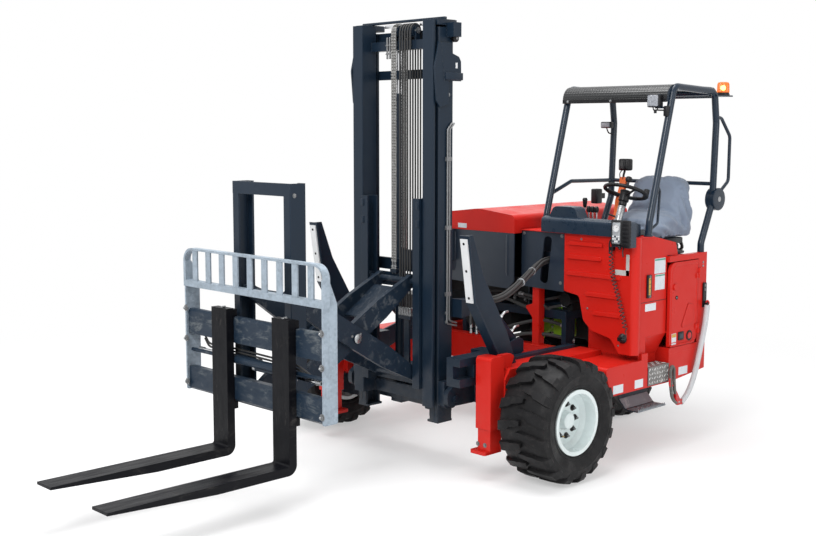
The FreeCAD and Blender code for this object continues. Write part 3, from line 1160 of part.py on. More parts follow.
def levers():
    y = "axle_y + post_foot_aft + 110"
    pieces = []
    for i in range(4):
        x = "lever_x + %d" % (i * 34)
        top = "body_top + " + ("lever_tall" if i == 0 else "lever_high")
        pieces.append(rod("lever_stem_%d" % i, "Z", "5", "body_top + 30", top, (x, y)))
        ball = doc.addObject("Part::Sphere", "lever_ball_%d" % i)
        tie(ball, "Radius", "14")
        for axis, spot in zip("xyz", (x, y, top + " + 10")):
            tie(ball, "Placement.Base." + axis, spot)
        pieces.append(ball)
    return pieces


def seat():
    front = "axle_y + seat_front_aft"
    x0, x1 = "seat_x - seat_wide / 2", "seat_x + seat_wide / 2"
    base = box("seat_box", (x0 + " + 40", x1 + " - 40"), (front + " + 60", front + " + seat_deep - 140"),
               ("deck_top", "seat_low"))
    cushion = prism("seat_soft", "YZ",
                    [(front, "seat_low"), (front + " + seat_deep", "seat_low"),
                     (front + " + seat_deep + 30", "back_high"),
                     (front + " + seat_deep - back_thick + 30", "back_high"),
                     (front + " + seat_deep - back_thick", "seat_high + 30"), (front, "seat_high")],
                    x0, x1, {2: 50, 3: 40, 5: 40})
    node("seat", cushion)
    return base


def guard_frame():
    """The overhead guard: two bent posts with rails and handles, and the curved roof."""
    r = "post_radius"
    foot_y = "axle_y + post_foot_aft"
    lip_y = "axle_y + canopy_front_aft"
    back_y = "axle_y + canopy_back_aft"
    near_x, far_x = "body_out - post_inset", "cab_in + post_radius"
    posts = []
    for name, x, end_z in (("near", near_x, "deck_top"), ("far", far_x, "deck_top - 60")):
        posts.append(pipe("post_" + name,
                          [(x, foot_y, "body_top + 3"), (x, foot_y + " + 12", "body_top + 100"),
                           (x, lip_y + " + canopy_bend", "canopy_top - post_radius + 8"),
                           (x, back_y + " - 40", "canopy_top - 40"),
                           (x, back_y + " - 8", "canopy_top - 260"),
                           (x, back_y + " - 30", "1690"),
                           (x, "axle_y + body_end_aft - 34", "deck_top + 90"),
                           (x, "axle_y + body_end_aft - 34", end_z)], r, "60"))
    roof = prism("roof", "YZ",
                 [(lip_y, "canopy_lip"), (lip_y + " + canopy_thick", "canopy_lip"),
                  (lip_y + " + canopy_thick + 6", "canopy_top - canopy_thick - 8"),
                  (back_y + " - 60", "canopy_top - canopy_thick - 15"),
                  (back_y, "canopy_top - canopy_thick - 60"),
                  (back_y, "canopy_top - 50"), (back_y + " - 50", "canopy_top - 14"),
                  (lip_y + " + 8", "canopy_top - 4")],
                 far_x, near_x, {2: "canopy_bend - 25", 6: 30, 7: "canopy_bend + 10"})
    tail_bar = rod("roof_cross", "X", r, far_x, near_x, (back_y + " - 110", "canopy_top - 48"))
    rail_far = pipe("rail_far", [(far_x, foot_y + " + 60", "1740"), (far_x, foot_y + " + 290", "1822"),
                                 (far_x, back_y + " - 25", "1815")], "14", "60")
    rail_back = rod("rail_back", "X", "14", far_x, near_x, (back_y + " - 20", "1815"))
    handle_rear = pipe("handle_rear", [(near_x, back_y + " - 14", "2290"),
                                       (near_x, back_y + " + 60", "2278"),
                                       (near_x, back_y + " + 180", "2150"),
                                       (near_x, back_y + " + 176", "1830"),
                                       (near_x, back_y + " - 14", "1700")], "12", "50")
    cap = rod("post_disc", "X", "drum_radius", near_x + " - 32", near_x + " + 32",
              (back_y + " + 4", "1706"))
    handle_front = pipe("handle_front", [(near_x, foot_y + " + 78", "1850"),
                                         (near_x, foot_y + " + 125", "1790"),
                                         (near_x, foot_y + " + 105", "1570"),
                                         (near_x, foot_y + " + 12", "1530")], "9", "30")
    plate = box("beacon_plate", ("body_out - 92", "body_out"), (back_y + " - 60", back_y + " + 150"),
                ("canopy_top - 75", "canopy_top - 65"))
    feet = [rod("post_foot_" + name, "Z", r + " + 6", "body_top", "body_top + 8", (x, foot_y))
            for name, x in (("near", near_x), ("far", far_x))]
    whole = posts + feet + [roof, tail_bar, rail_far, rail_back, handle_rear, handle_front, plate, cap]
    lamp_y = back_y + " + 95"
    lamp = rod("beacon_lens", "Z", "45", "canopy_top - 45", "canopy_top + 30",
               ("body_out - 46", lamp_y))
    foot = rod("beacon_foot", "Z", "46", "canopy_top - 65", "canopy_top - 45",
               ("body_out - 46", lamp_y))
    node("beacon", fuse("beacon", [lamp, foot]))
    lamps = [box("lamp_near", (near_x + " - 125", near_x + " - 35"), (lip_y + " - 45", lip_y + " + 5"),
                 ("lamp_z - 42", "lamp_z + 42")),
             box("lamp_arm", (near_x + " - 90", near_x), (lip_y + " - 8", lip_y + " + 8"),
                 ("lamp_z - 52", "lamp_z - 40")),
             box("lamp_arm_back", (near_x + " - 6", near_x + " + 6"), (lip_y + " - 8", lip_y + " + 20"),
                 ("lamp_z - 52", "lamp_z - 40")),
             box("lamp_far", (far_x + " - 30", far_x + " + 50"), (back_y + " - 130", back_y + " - 90"),
                 ("lamp_z - 180", "lamp_z - 140")),
             box("lamp_far_arm", (far_x + " - 5", far_x + " + 5"), (back_y + " - 92", back_y + " - 10"),
                 ("lamp_z - 172", "lamp_z - 160"))]
    node("overhead_guard", fuse("overhead_guard", whole + lamps))


# ---------------------------------------------------------------------------
# Engine side
# ---------------------------------------------------------------------------
def hood():
    front = "axle_y + hood_front_aft"
    end = "axle_y + hood_end_aft"
    outer = prism("hood_shell", "XZ",
                  [("-hood_out", "hood_low"), ("hood_in", "hood_low"),
                   ("hood_in", "hood_top - 10"), ("hood_in - 350", "hood_top + 25"),
                   ("-hood_out + 60", "hood_top - 40")], front, end,
                  {2: 40, 3: 400, 4: "hood_round"})
    inside = prism("hood_inside", "XZ",
                   [("-hood_out + hood_wall", "hood_low - 5"), ("hood_in - hood_wall", "hood_low - 5"),
                    ("hood_in - hood_wall", "hood_top - 10 - hood_wall"),
                    ("hood_in - 350", "hood_top + 25 - hood_wall"),
                    ("-hood_out + 60 + hood_wall", "hood_top - 40 - hood_wall")],
                   front + " + hood_wall", end + " - hood_wall", {2: 34, 3: 394, 4: "hood_round"})
    shell = cut("hood_open_shell", outer, inside)
    parts = [shell]
    for i, (x0, x1) in enumerate((("-hood_out + 131", "-hood_out + 171"),
                                  ("hood_in - 171", "hood_in - 131"))):
        parts.append(rod("hood_knuckle_top_%d" % i, "X", "9", x0, x1, (end + " + 12", "hood_low")))
        parts.append(box("hood_strap_top_%d" % i, (x0, x1), (end + " - 3", end + " + 12"),
                         ("hood_low + 3", "hood_low + 30")))
    node("engine_hood", fuse("engine_hood", parts))


def engine_side():
    """Front, side, rear and inner panels under the hood, with the engine inside."""
    front = "axle_y + hood_front_aft"
    end = "axle_y + hood_end_aft"
    top = "hood_low - slide_gap"
    fascia = prism("bay_fascia", "XZ",
                   [("-hood_out + 4", "1085"), ("hood_in - 60", "1060"), ("hood_in - 5", "1120"),
                    ("hood_in - 5", top), ("-hood_out + 4", top)],
                   front + " + 2", front + " + 12", {1: 40})
    side = prism("bay_side", "YZ",
                 [(front + " + 2", "leg_top"), (end + " - 4", "leg_top + 60"), (end + " - 4", top),
                  (front + " + 2", top)], "-hood_out + 4", "-hood_out + 12")
    rear = box("bay_rear", ("-hood_out + 4", "hood_in - 5"), (end + " - 14", end + " - 4"),
               ("spine_top", top))
    inner = box("bay_inner", ("hood_in - 15", "hood_in - 5"), (front + " + 180", end + " - 4"),
                ("spine_top", top))
    flue = rod("bay_intake", "Z", "45", "1230", top + " - 2", ("-hood_out + 330", front + " - 25"))
    hinge = [rod("hood_knuckle_%d" % i, "X", "9", x0, x1, (end + " + 12", "hood_low"))
             for i, (x0, x1) in enumerate((("-hood_out + 90", "-hood_out + 130"),
                                           ("hood_in - 130", "hood_in - 90")))]
    straps = [box("hood_strap_%d" % i, (x0, x1), (end + " - 8", end + " + 12"),
                  ("hood_low - 30", "hood_low - 3"))
              for i, (x0, x1) in enumerate((("-hood_out + 90", "-hood_out + 130"),
                                            ("hood_in - 130", "hood_in - 90")))]
    node("engine_panels", fuse("engine_panels", [fascia, side, rear, inner, flue] + hinge + straps))
    block = prism("engine_mass", "XZ",
                  [("-720", "965"), ("-80", "965"), ("-80", "1330"), ("-160", "1400"), ("-640", "1400"),
                   ("-720", "1330")], "axle_y + 830", "axle_y + 1640")
    mount = box("engine_mount", ("-420", "-240"), ("axle_y + 845", "axle_y + 1340"),
                ("spine_top", "966"))
    radiator = box("radiator", ("-760", "-60"), ("axle_y + 1800", "axle_y + 1920"),
                   ("spine_top", "1430"))
    tank = prism("fuel_tank_body", "XY",
                 [("-1130", "axle_y + 700"), ("-leg_out - 10", "axle_y + 700"),
                  ("-leg_out - 10", "axle_y + 1540"), ("-1130", "axle_y + 1540")],
                 "beam_top", "905", {0: 50, 1: 50, 2: 50, 3: 50})
    node("fuel_tank", tank)
    valve = box("valve_block", ("-40", "125"), ("axle_y + 860", "axle_y + 1010"), ("spine_top", "1120"))
    pump = rod("filter_can", "Y", "48", "axle_y + 830", "axle_y + 1010", ("464", "1000"))
    pump_foot = box("filter_foot", ("420", "508"), ("axle_y + 860", "axle_y + 980"),
                    ("spine_top", "990"))
    node("engine", group("engine", [fuse("engine_all", [block, mount]), radiator, valve,
                                    fuse("filter_all", [pump, pump_foot])]))


# ---------------------------------------------------------------------------
# Guard posts, steps, cord
# ---------------------------------------------------------------------------
def guards():
    top_y, foot_y = "axle_y - guard_top_fwd", "axle_y - guard_foot_fwd"
    x0, x1 = "guard_x - guard_wide / 2", "guard_x + guard_wide / 2"
    web = prism("guard_web", "YZ",
                [(foot_y + " - 70", "leg_top"), (foot_y + " + 90", "leg_top"),
                 (foot_y, "guard_foot + 120"), (foot_y + " - 230", "guard_top - 260"),
                 (top_y + " + 75", "guard_top"), (top_y, "guard_top"),
                 (top_y + " + 62", "guard_top - 420")],
                "guard_x - guard_plate / 2", "guard_x + guard_plate / 2")
    flange = prism("guard_flange", "YZ",
                   [(top_y, "guard_top"), (top_y + " + 62", "guard_top - 420"),
                    (foot_y + " - 70", "leg_top"), (foot_y + " - 58", "leg_top"),
                    (top_y + " + 74", "guard_top - 420"), (top_y + " + 12", "guard_top")], x0, x1)
    post = fuse("guard_post", [web, flange])
    posts = group("guard_posts", [fuse("guard_post_near", [post, hose_bundle()]),
                                  mirror("guard_post_far", post)])
    strip = prism("guard_strip_near", "YZ",
                  [(top_y + " - 10 + 62 * 20 / 420", "guard_top - 20"),
                   (top_y + " + 62 * 20 / 420", "guard_top - 20"),
                   (top_y + " + 62", "guard_top - 420"), (top_y + " + 62 - 10", "guard_top - 420")],
                  x0 + " + 12", x1 + " - 12")
    node("guard_strips", both("guard_strips", strip))
    return posts


def steps():
    """The chequered step in the beam's side and the bent step that hangs under it."""
    y0, y1 = "axle_y + step_start_aft", "axle_y + step_end_aft"
    riser = box("step_riser", ("beam_out", "beam_out + step_plate"), (y0 + " + 2", y1 + " - 2"),
                ("beam_low + 8", "step_top + step_plate"))
    tread = box("step_tread", ("beam_out - step_deep + 2", "beam_out + step_plate"),
                (y0 + " + 2", y1 + " - 2"), ("step_top", "step_top + step_plate"))
    bent = prism("step_bent", "XZ",
                 [("hang_in", "beam_low"), ("hang_in + 8", "beam_low"),
                  ("hang_in + 20", "hang_z + 70"), ("hang_in + 75", "hang_z + 8"),
                  ("hang_out", "hang_z + 8"), ("hang_out", "hang_z"), ("hang_in + 70", "hang_z"),
                  ("hang_in + 12", "hang_z + 66")], y0 + " - 60", y1 + " + 20", {3: 40, 6: 46})
    return group("steps", [fuse("step_high", [riser, tread]), bent])


def sling():
    """The sleeved lashing chain that hangs from a bracket on the rear left corner."""
    x = "body_out + 30"
    y = "axle_y + 1530"
    bracket = prism("sling_bracket_body", "YZ",
                    [(y + " - 18", "950"), (y + " + 22", "950"), (y + " + 22", "1125"), (y + " - 18", "1125")],
                    "body_out", "body_out + 10", {2: 12, 3: 12})
    eye = rod("sling_eye", "X", "14", "body_out + 8", "body_out + 40", (y + " + 2", "980"))
    bracket_all = fuse("sling_bracket_all", [bracket, eye])
    points = [(x, y + " + 2", "966"), (x, y + " - 8", "870"), (x, y + " - 40", "760"),
              (x, y + " - 80", "640"), (x, y + " - 122", "520"), (x, y + " - 180", "412"),
              (x, y + " - 240", "345"), (x, y + " - 300", "312")]
    sleeve = cord("sling_sleeve", points, "17")
    node("sling_sleeve", sleeve)
    node("sling_bracket", cut("sling_bracket", bracket_all, sleeve))
    hook = prism("sling_hook_body", "YZ",
                 [(y + " - 290", "300"), (y + " - 290", "338"), (y + " - 380", "400"),
                  (y + " - 400", "560"), (y + " - 440", "560"), (y + " - 425", "360"), (y + " - 340", "290")],
                 x + " - 12", x + " + 12", {4: 15, 3: 15})
    node("sling_hook", cut("sling_hook_cut", hook, sleeve))


def mast_plumbing():
    """Two steel pipes clamped along the near side of the outer mast."""
    back = "axle_y - mast_front_fwd + mast_deep"
    parts = []
    for i in range(2):
        x = "mast_half + 10"
        y = back + " - %d" % (60 - 20 * i)
        parts.append(pipe("pipe_long_%d" % i, [(x, y + " + 40", "2240"), (x, y, "2200"),
                                               (x, y, "%d" % (950 + 18 * i)),
                                               (x, back + " + 30", "%d" % (930 + 18 * i))],
                          "6", "20"))
    for i, z in enumerate(("1130", "1560", "2000")):
        parts.append(box("pipe_clamp_%d" % i, ("mast_half", "mast_half + 16"),
                         (back + " - 72", back + " - 28"), (z, z + " + 26")))
    node("mast_pipe", fuse("mast_pipe", parts))


def coil_cord():
    """The curly lead from its clip under the dash to its socket low on the front panel."""
    y = "axle_y + coil_aft"
    coil_foot = ("1100", y, "880")
    fat = cord("coil_cord", [("972", y, "1400"), ("972", y, "1296"), ("1000", y, "1190"),
                             ("1052", y, "1060"), coil_foot], "coil_radius")
    node("coil_cord", fat)
    lead = cord("coil_lead_run", [coil_foot, ("1108", y, "850"), ("1108", y, "826"),
                              ("1092", y, "812"), ("1068", y, "812")], "4")
    node("coil_lead", cut("coil_lead_cut", lead, fat))
    wall = "axle_y + body_front_aft"
    clip = box("coil_clip", ("960", "984"), (y + " - 8", wall), ("1400", "1424"))
    socket = box("coil_socket", ("1044", "1068"), (y + " - 14", wall), ("800", "826"))
    node("coil_fittings", group("coil_fittings", [clip, socket]))


def hose_bundle():
    """The sheathed hoses that come out of the slot and run forward to the guard post."""
    stop = "axle_y - guard_foot_fwd - 156"
    low = "1118"
    points = [("384", "axle_y + 800", "1286"), ("384", "axle_y + 680", "1286"),
              ("425", "axle_y + 540", "1246"), ("500", "axle_y + 370", "1212"),
              ("580", "axle_y + 200", "1186"), ("636", "axle_y + 40", "1150"),
              ("guard_x - 62", "axle_y - 100", low), ("guard_x - 62", stop, low)]
    node("hose_bundle", cord("hose_bundle", points, "26"))
    return box("bundle_clamp", ("guard_x - 90", "guard_x - guard_plate / 2 + 1"),
               (stop + " - 14", stop), ("1085", "1150"))


dark = [wheels(), chassis_back(), rails(), guards(), steps()]
node("chassis_frame", group("chassis_frame", dark))
legs()
rear_yoke()
stabilisers()
mast_carrier()
tilt_cylinders()
mast_outer()
mast_inner()
lift_cylinders()
lift_frame()
arms()
reach_frame()
carriage()
backrest()
forks()
body_left()
side_door()
slot_plate()
fittings = dash() + steering() + levers() + [seat()]
node("cab_fittings", fuse("cab_fittings", fittings))
guard_frame()
hood()
engine_side()
sling()
mast_plumbing()
coil_cord()
doc.recompute()

for thing in doc.Objects:
    if {"Invalid", "Error"} & set(thing.State):
        raise RuntimeError("%s did not compute: %s" % (thing.Name, thing.State))
for thing in NODES:
    if thing.Shape.isNull() or not thing.Shape.isValid() or not thing.Shape.Solids:
        raise RuntimeError("%s has no sound shape" % thing.Label)
for thing in NODES:
    thing.Shape.exportStep("parts/%s.step" % thing.Label)
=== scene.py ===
"""Looks of a truck-mounted forklift.

The steel parts are loaded as a fixed frame and given their finishes. The pieces that they
leave out are made here: treads, chains, hoses, cords, the seat's cover, fittings and marks.
"""
import bmesh
import bpy
import json
import math
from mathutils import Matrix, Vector, noise


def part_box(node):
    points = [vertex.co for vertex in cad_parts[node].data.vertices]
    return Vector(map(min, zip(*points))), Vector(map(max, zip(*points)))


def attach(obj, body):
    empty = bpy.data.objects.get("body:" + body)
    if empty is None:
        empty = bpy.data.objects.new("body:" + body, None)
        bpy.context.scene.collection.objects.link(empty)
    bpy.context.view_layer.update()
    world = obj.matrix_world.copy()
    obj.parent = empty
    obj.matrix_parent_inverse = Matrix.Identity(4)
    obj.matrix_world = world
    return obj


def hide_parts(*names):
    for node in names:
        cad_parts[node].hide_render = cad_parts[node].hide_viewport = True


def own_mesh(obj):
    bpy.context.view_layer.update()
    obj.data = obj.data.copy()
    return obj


bl_info = {
    "name": "Truck-mounted forklift looks",
    "version": (1, 0, 0),
    "blender": (4, 5, 0),
    "location": "3D View > Sidebar > Forklift",
    "description": "Finishes and fine pieces for a forklift that rides on the back of a truck",
    "category": "Object",
}

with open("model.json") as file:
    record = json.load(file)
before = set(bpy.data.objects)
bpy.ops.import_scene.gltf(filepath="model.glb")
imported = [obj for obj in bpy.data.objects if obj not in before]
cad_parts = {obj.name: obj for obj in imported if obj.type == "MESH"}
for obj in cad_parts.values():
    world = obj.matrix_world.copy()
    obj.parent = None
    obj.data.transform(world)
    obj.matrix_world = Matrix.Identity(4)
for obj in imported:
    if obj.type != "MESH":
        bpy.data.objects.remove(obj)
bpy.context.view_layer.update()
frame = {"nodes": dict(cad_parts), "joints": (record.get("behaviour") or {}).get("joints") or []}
NODES = frame["nodes"]
JOINTS = {joint["name"]: joint for joint in frame["joints"]}
AXLE = JOINTS["front_left_spin"]["pos_m"][1]
X, Y, Z = Vector((1, 0, 0)), Vector((0, 1, 0)), Vector((0, 0, 1))


# ---------------------------------------------------------------------------
# Sizes and colours that a user may change
# ---------------------------------------------------------------------------
LENGTH = {"min": 0.0, "unit": "LENGTH", "subtype": "DISTANCE"}
COUNT = {"min": 1, "subtype": "UNSIGNED"}
COLOUR = {"size": 3, "min": 0.0, "max": 1.0, "subtype": "COLOR"}


class ForkliftSizes(bpy.types.PropertyGroup):
    """Sizes of the pieces that the steel parts leave out."""
    lug_high: bpy.props.FloatProperty(
        name="Lug height", description="How far a tread lug stands over the tyre",
        default=0.027, **LENGTH)
    lug_count: bpy.props.IntProperty(
        name="Lugs a side", description="Tread lugs on each half of a tyre",
        default=17, **COUNT)
    nut_round: bpy.props.FloatProperty(
        name="Wheel nut circle", description="Radius of the circle of wheel nuts",
        default=0.103, **LENGTH)
    nut_count: bpy.props.IntProperty(
        name="Wheel nuts", description="Nuts that hold a front wheel",
        default=9, **COUNT)
    link_pitch: bpy.props.FloatProperty(
        name="Chain pitch", description="Distance between the pins of the lift chains",
        default=0.0095, **LENGTH)
    coil_wire: bpy.props.FloatProperty(
        name="Coiled lead", description="Thickness of the curly lead's wire",
        default=0.0064, **LENGTH)
    coil_pitch: bpy.props.FloatProperty(
        name="Coil pitch", description="Distance between turns of the curly lead",
        default=0.027, **LENGTH)
    hose_thick: bpy.props.FloatProperty(
        name="Hose", description="Diameter of each hose in the bundle",
        default=0.0188, **LENGTH)
    sling_thick: bpy.props.FloatProperty(
        name="Sling sleeve", description="Diameter of the fabric sleeve on the sling",
        default=0.038, **LENGTH)
    cover_fold: bpy.props.FloatProperty(
        name="Cover folds", description="Depth of the folds in the seat cover",
        default=0.014, **LENGTH)
    cover_voxel: bpy.props.FloatProperty(
        name="Cover weave", description="Mesh size of the seat cover before it is swollen",
        default=0.009, **LENGTH)


class ForkliftColours(bpy.types.PropertyGroup):
    """Base colours of the finishes."""
    red: bpy.props.FloatVectorProperty(
        name="Body red", description="Gloss paint of the bodywork and legs",
        default=(0.58, 0.015, 0.009), **COLOUR)
    slate: bpy.props.FloatVectorProperty(
        name="Slate", description="Dark blue-grey paint of the mast and frames",
        default=(0.008, 0.0185, 0.0345), **COLOUR)
    black: bpy.props.FloatVectorProperty(
        name="Black", description="Black steel and plastic",
        default=(0.0075, 0.0075, 0.0092), **COLOUR)
    zinc: bpy.props.FloatVectorProperty(
        name="Zinc", description="Hot-dip coat of the load backrest",
        default=(0.3, 0.36, 0.42), **COLOUR)
    steel: bpy.props.FloatVectorProperty(
        name="Steel", description="Bare steel of chains and pins",
        default=(0.44, 0.45, 0.46), **COLOUR)
    rim: bpy.props.FloatVectorProperty(
        name="Wheel white", description="Paint of the wheel rims",
        default=(0.7, 0.78, 0.78), **COLOUR)
    tyre: bpy.props.FloatVectorProperty(
        name="Tyre", description="Rubber of the tyres",
        default=(0.007, 0.0069, 0.0078), **COLOUR)
    cover: bpy.props.FloatVectorProperty(
        name="Seat cover", description="Grey cloth over the seat",
        default=(0.235, 0.288, 0.38), **COLOUR)
    amber: bpy.props.FloatVectorProperty(
        name="Amber", description="Lens of the beacon",
        default=(0.9, 0.17, 0.004), **COLOUR)


def size(word):
    """One of the user's sizes."""
    return getattr(bpy.context.scene.forklift_sizes, word)


GRIME = (0.2, 0.17, 0.14)
UNDER_PAINT = (0.16, 0.17, 0.18)
RUBBER_DUST = (0.05, 0.045, 0.042)


def toned(base, times, plus=0.0):
    """A colour made darker or lighter."""
    return tuple(min(1.0, c * times + plus) for c in base)


def tint(word, times=1.0):
    """One of the user's colours, made darker or lighter."""
    return toned(getattr(bpy.context.scene.forklift_colours, word), times)


# ---------------------------------------------------------------------------
# Finishes
# ---------------------------------------------------------------------------
class Shader:
    """Builds one material's nodes."""

    def __init__(self, name):
        self.material = bpy.data.materials.new(name)
        self.material.use_nodes = True
        self.tree = self.material.node_tree
        self.tree.nodes.clear()
        self.end = self.add("OutputMaterial")
        self.place = self.add("TexCoord").outputs["Object"]

    def feed(self, socket, value):
        """Links a node's output to a socket, or sets the socket's own number or colour."""
        if isinstance(value, bpy.types.NodeSocket):
            self.tree.links.new(value, socket)
        elif socket.type == "RGBA":
            socket.default_value = tuple(value)[:3] + (1.0,)
        else:
            socket.default_value = value

    def add(self, kind, settings=None, **inputs):
        """A node; its inputs are given by name, or by number as i0, i1 and so on."""
        node = self.tree.nodes.new("ShaderNode" + kind)
        for key, value in (settings or {}).items():
            setattr(node, key, value)
        for key, value in inputs.items():
            numbered = key[0] == "i" and key[1:].isdigit()
            self.feed(node.inputs[int(key[1:]) if numbered else key.replace("_", " ")], value)
        return node

    def stretched(self, scale):
        """The object's own position, scaled along each axis."""
        return self.add("Mapping", Vector=self.place, Scale=scale).outputs["Vector"]

    def noise(self, scale, detail=4.0, rough=0.55, stretch=None, warp=0.0):
        """Cloudy values between 0 and 1."""
        place = self.stretched(stretch) if stretch else self.place
        return self.add("TexNoise", Vector=place, Scale=scale, Detail=detail, Roughness=rough,
                        Distortion=warp).outputs["Fac"]

    def step(self, value, low, high, to_low=0.0, to_high=1.0):
        """A soft change from one value to another as the input goes from low to high."""
        return self.add("MapRange", {"interpolation_type": "SMOOTHSTEP"}, Value=value,
                        i1=low, i2=high, i3=to_low, i4=to_high).outputs["Result"]

    def mix(self, factor, first, second):
        """The first colour where the factor is 0 and the second where it is 1."""
        return self.add("Mix", {"data_type": "RGBA"}, i0=factor, i6=first, i7=second).outputs[2]

    def maths(self, kind, a, b):
        return self.add("Math", {"operation": kind}, i0=a, i1=b).outputs[0]

    def times(self, a, b):
        return self.maths("MULTIPLY", a, b)

    def height(self, low, high):
        """1 at the low height and 0 at the high one."""
        z = self.add("SeparateXYZ", Vector=self.place).outputs["Z"]
        return self.step(z, low, high, 1.0, 0.0)

    def soft_edges(self):
        """The surface's direction, rounded at its edges."""
        return self.add("Bevel", {"samples": 4}, Radius=0.003).outputs["Normal"]

    def bump(self, height, far, strength=1.0, normal=None):
        """The surface's direction where a height in metres stands on it."""
        inputs = {"Height": height, "Distance": far, "Strength": strength}
        if normal:
            inputs["Normal"] = normal
        return self.add("Bump", **inputs).outputs["Normal"]

    def surface(self, base, rough, normal, **fixed):
        """Ends the material in one shader; fixed holds its other inputs by name."""
        shader = self.add("BsdfPrincipled", Roughness=rough, Base_Color=base, Normal=normal,
                          **fixed)
        self.tree.links.new(shader.outputs[0], self.end.inputs["Surface"])
        return self.material


def painted(name, base, gloss=0.32, fade=0.8, dust=0.12, worn=0.0, coat=0.05, shine=0.3,
            dust_top=0.9):
    """Sprayed paint: a soft change of tone, a rippled skin, dust below and worn edges."""
    s = Shader(name)
    body = s.mix(s.noise(2.2, 3), toned(base, fade), base)
    speck = s.step(s.noise(45, 6, 0.7), 0.6, 0.76)
    body = s.mix(s.times(speck, 0.22), body, toned(base, 0.55, 0.02))
    low = s.times(s.height(0.15, dust_top), s.step(s.noise(9, 6, 0.7), 0.35, 0.75))
    body = s.mix(s.times(low, dust), body, GRIME)
    soft = s.soft_edges()
    if worn:
        flat = s.add("NewGeometry").outputs["Normal"]
        turn = s.add("VectorMath", {"operation": "DOT_PRODUCT"}, i0=soft, i1=flat).outputs["Value"]
        edge = s.times(s.step(turn, 0.985, 0.88), s.step(s.noise(60, 5, 0.7), 0.42, 0.6))
        body = s.mix(s.times(edge, worn), body, UNDER_PAINT)
    skin = s.bump(s.noise(420, 2), 0.00012, 0.6, soft)
    rough = s.step(s.noise(7, 5, 0.6), 0.3, 0.75, gloss * 0.8, gloss * 1.35)
    return s.surface(body, rough, skin, Coat_Weight=coat, Coat_Roughness=0.2,
                     Specular_IOR_Level=shine)


def scraped(name, base, bare, stretch, amount, gloss=0.45, low=0.52, high=0.62, shine=0.28):
    """Paint rubbed off in streaks along one direction, with bare metal or old rust under it."""
    s = Shader(name)
    streak = s.step(s.noise(16, 8, 0.72, stretch, 0.4), low, high)
    patch = s.step(s.noise(3.2, 4), 0.38, 0.62)
    rub = s.times(s.times(streak, patch), amount)
    body = s.mix(s.noise(5, 4), toned(base, 0.7), base)
    body = s.mix(rub, body, bare)
    soft = s.soft_edges()
    skin = s.bump(s.noise(90, 7, 0.7, stretch), 0.0006, 0.6, soft)
    rough = s.step(s.noise(12, 5, 0.7, stretch), 0.3, 0.7, gloss * 0.75, gloss * 1.3)
    return s.surface(body, rough, skin, Specular_IOR_Level=shine)


def galvanised(name, base):
    """Hot-dip zinc: crystals of slightly different greys, runs and dull bloom."""
    s = Shader(name)
    cell = s.add("TexVoronoi", Vector=s.place, Scale=62.0).outputs["Color"]
    grey = s.add("RGBToBW", Color=cell).outputs["Val"]
    body = s.mix(grey, toned(base, 0.78), toned(base, 1.15))
    bloom = s.step(s.noise(8, 6, 0.65), 0.42, 0.7)
    body = s.mix(s.times(bloom, 0.55), body, toned(base, 1.28, 0.03))
    streak = s.step(s.noise(18, 6, 0.7, (1, 1, 0.12)), 0.55, 0.75)
    body = s.mix(s.times(streak, 0.4), body, toned(base, 0.45))
    soft = s.soft_edges()
    skin = s.bump(s.noise(140, 4), 0.0004, 0.5, soft)
    return s.surface(body, s.step(grey, 0.2, 0.8, 0.42, 0.62), skin, Metallic=0.35)


def bare_metal(name, base, rough=0.3, metallic=0.9, stain=0.35):
    """Unpainted metal with patches of stain and a very fine grain."""
    s = Shader(name)
    scale = 40
    body = s.mix(s.noise(scale, 5, 0.65), toned(base, 1 - stain), base)
    gloss = s.step(s.noise(scale * 2, 4), 0.3, 0.7, rough * 0.7, rough * 1.4)
    skin = s.bump(s.noise(scale * 8, 3), 0.0001, 0.4)
    return s.surface(body, gloss, skin, Metallic=metallic)


def moulded(name, base, rough=0.5, grain=260.0, deep=0.00025, scuff=0.25, **fixed):
    """Plastic or rubber with a fine grain and pale scuffs."""
    s = Shader(name)
    body = s.mix(s.noise(4, 4), toned(base, 0.75), toned(base, 1.15))
    rub = s.step(s.noise(30, 7, 0.75), 0.58, 0.8)
    body = s.mix(s.times(rub, scuff), body, toned(base, 1.6, 0.02))
    skin = s.bump(s.noise(grain, 3, 0.6), deep, 0.7)
    gloss = s.step(s.noise(14, 5, 0.6), 0.3, 0.7, rough * 0.8, rough * 1.2)
    return s.surface(body, gloss, skin, **fixed)


def tyre_rubber(name, base):
    """Black rubber: darker and lighter patches, brown dust in spots and a gloss that changes from
    place to place.
    """
    s = Shader(name)
    body = s.mix(s.noise(7, 6, 0.7), toned(base, 0.6), toned(base, 1.25))
    dust = s.step(s.noise(22, 8, 0.75), 0.48, 0.72)
    body = s.mix(s.times(dust, 0.3), body, RUBBER_DUST)
    skin = s.bump(s.noise(130, 8, 0.72), 0.0011, 0.7)
    gloss = s.step(s.noise(10, 5, 0.6), 0.3, 0.7, 0.42, 0.72)
    return s.surface(body, gloss, skin, Specular_IOR_Level=0.22)


